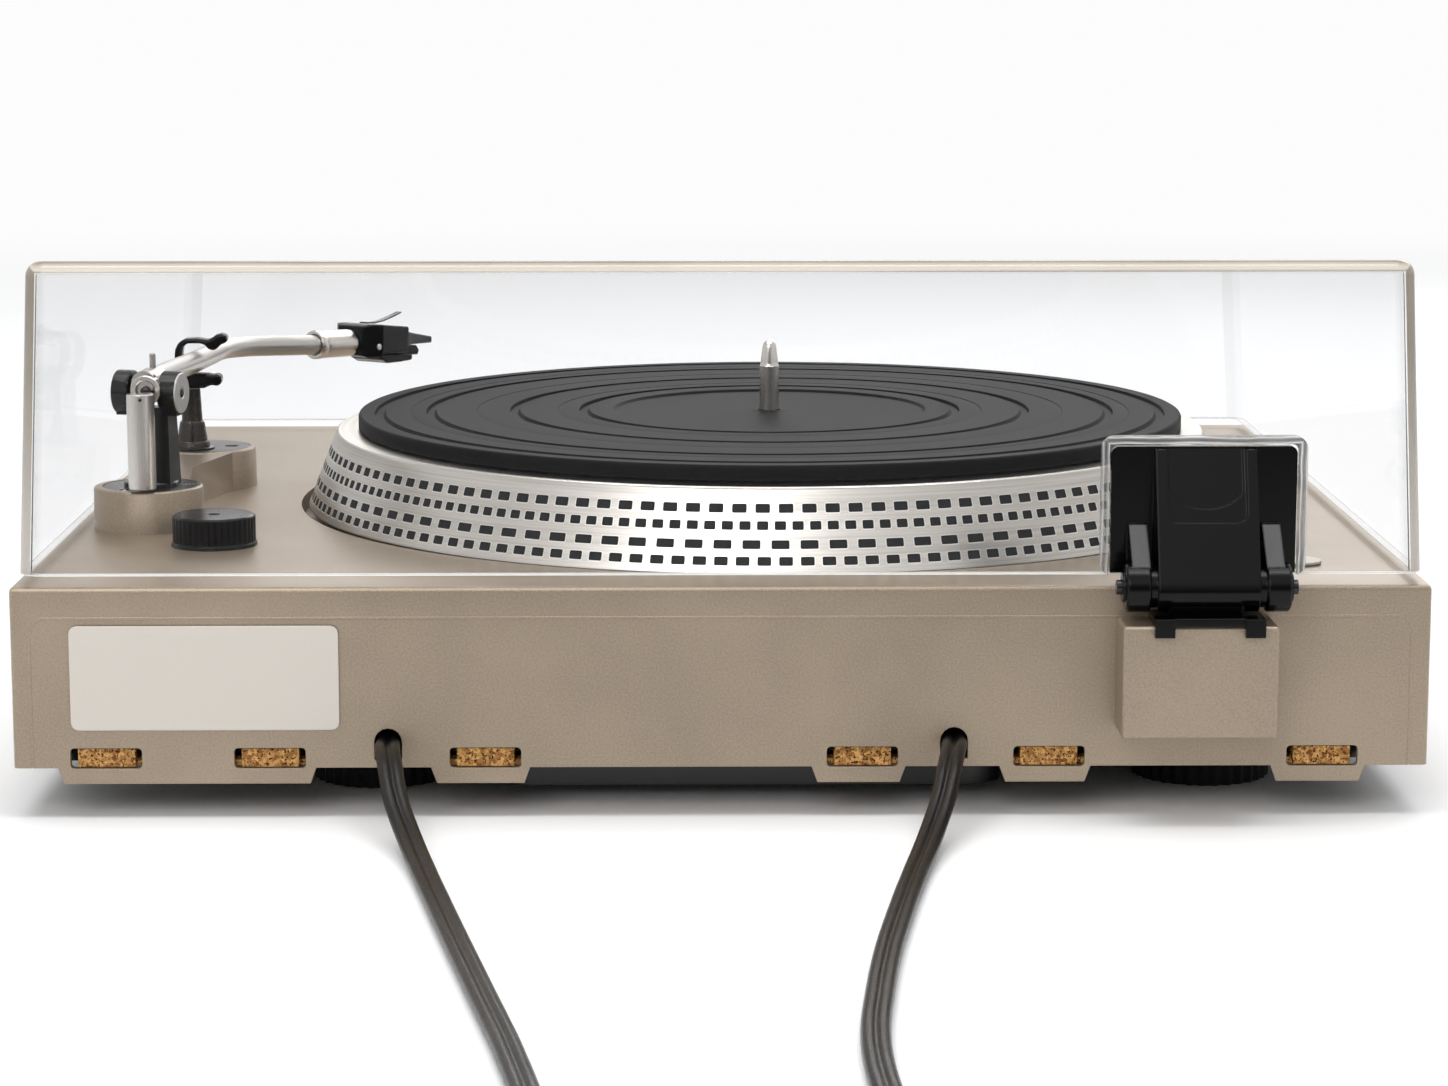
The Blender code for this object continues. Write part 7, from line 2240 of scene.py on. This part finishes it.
@dataclass
class Studio:
    """The camera, the light and the floor.

    Attributes:
        shop: Where the floor's finish comes from.
        eye: The camera's place.
        yaw: Its turn towards -X in radians.
        pitch: Its fall in radians.
        roll: Its roll in radians.
        lens: Focal length in millimetres.
        sensor: Width of the sensor in millimetres.
        frame: Width and height of the picture in pixels.
        boxes: The soft lights.
        floor_reach: How far the floor runs in metres.
        floor_drop: How far it lies under the feet in metres.
    """

    shop: Shop
    eye: Vector = field(default_factory=lambda: Vector((0.01025, 1.26297, 0.262785)))
    yaw: float = 0.0101
    pitch: float = 0.1633
    roll: float = -0.0004
    lens: float = 90.64
    sensor: float = 36.0
    frame: tuple[int, int] = (1448, 1086)
    boxes: tuple[SoftBox, ...] = (
        SoftBox("top_box", (0.0, 0.1, 1.5), (0.0, 0.0, 0.0), (1.6, 1.2), 14.0),
        SoftBox("strip", (0.0, 0.35, 1.3), (0.0, 0.15, 0.1), (1.5, 0.1), 3.2),
        SoftBox("rear_box", (0.5, 1.9, 1.1), (0.0, 0.1, 0.05), (1.4, 0.9), 13.0),
        SoftBox("far_box", (-0.4, -1.5, 0.9), (0.0, 0.0, 0.05), (1.6, 0.8), 9.0))
    floor_reach: float = 30.0
    floor_drop: float = 0.0002

    def build(self) -> None:
        """Set up the whole studio."""
        self.camera()
        self.surround()
        for box in self.boxes:
            box.build()
        self.floor()

    def camera(self) -> None:
        """Set up the camera that matches the photo."""
        data = bpy.data.cameras.new("photo_camera")
        data.lens = self.lens
        data.sensor_width = self.sensor
        data.clip_start = 0.01
        camera = link("photo_camera", data)
        level = math.cos(self.pitch)
        ahead = Vector((-math.sin(self.yaw) * level, -math.cos(self.yaw) * level, -math.sin(self.pitch)))
        turn = ahead.to_track_quat("-Z", "Y").to_matrix() @ Matrix.Rotation(self.roll, 3, "Z")
        camera.matrix_world = Matrix.Translation(self.eye) @ turn.to_4x4()
        scene = bpy.context.scene
        scene.camera = camera
        scene.view_settings.view_transform = "Standard"
        scene.render.resolution_x, scene.render.resolution_y = self.frame

    def surround(self) -> None:
        """A white world that lights softly, and that shiny pieces see darker straight behind the camera."""
        world = bpy.data.worlds.new("studio")
        bpy.context.scene.world = world
        graph = Graph(world)
        path = graph.node("ShaderNodeLightPath")
        ahead = graph.parts(graph.node("ShaderNodeTexCoord").outputs["Generated"])[1]
        lit = graph.background((0.96, 0.98, 1.0, 1.0), 0.55)
        shine = graph.background((1.0, 0.99, 0.98, 1.0), graph.ramp(ahead, 0.86, 0.985, 0.95, 0.15))
        seen = graph.background((0.98, 0.98, 0.98, 1.0), 1.0)
        unseen = graph.blend(path.outputs["Is Glossy Ray"], lit, shine)
        graph.close(graph.blend(path.outputs["Is Camera Ray"], unseen, seen))

    def floor(self) -> None:
        """The pale floor that the turntable stands on."""
        form = Form()
        corners = [form.mesh.verts.new((x * self.floor_reach, y * self.floor_reach, -self.floor_drop))
                   for x, y in ((-1, -1), (1, -1), (1, 1), (-1, 1))]
        form.mesh.faces.new(corners)
        piece = form.piece("floor")
        self.shop.coat(piece, PaleFloor())
        piece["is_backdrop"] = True


def corners() -> list[list[float]]:
    """The shown object's low and high corners as plain numbers."""
    return [[float(value) for value in corner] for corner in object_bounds()]


def main() -> None:
    """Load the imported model, dress it and set up the studio."""
    logging.basicConfig(level=logging.INFO)
    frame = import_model()
    shop = Shop(frame["nodes"])
    for part in (Studio, Leads, Plinth, PlatterUnit, Tonearm, ArmRest, HingeArm, AntiSkateKnob, DustCover):
        part(shop).build()


if __name__ == "__main__":
    main()
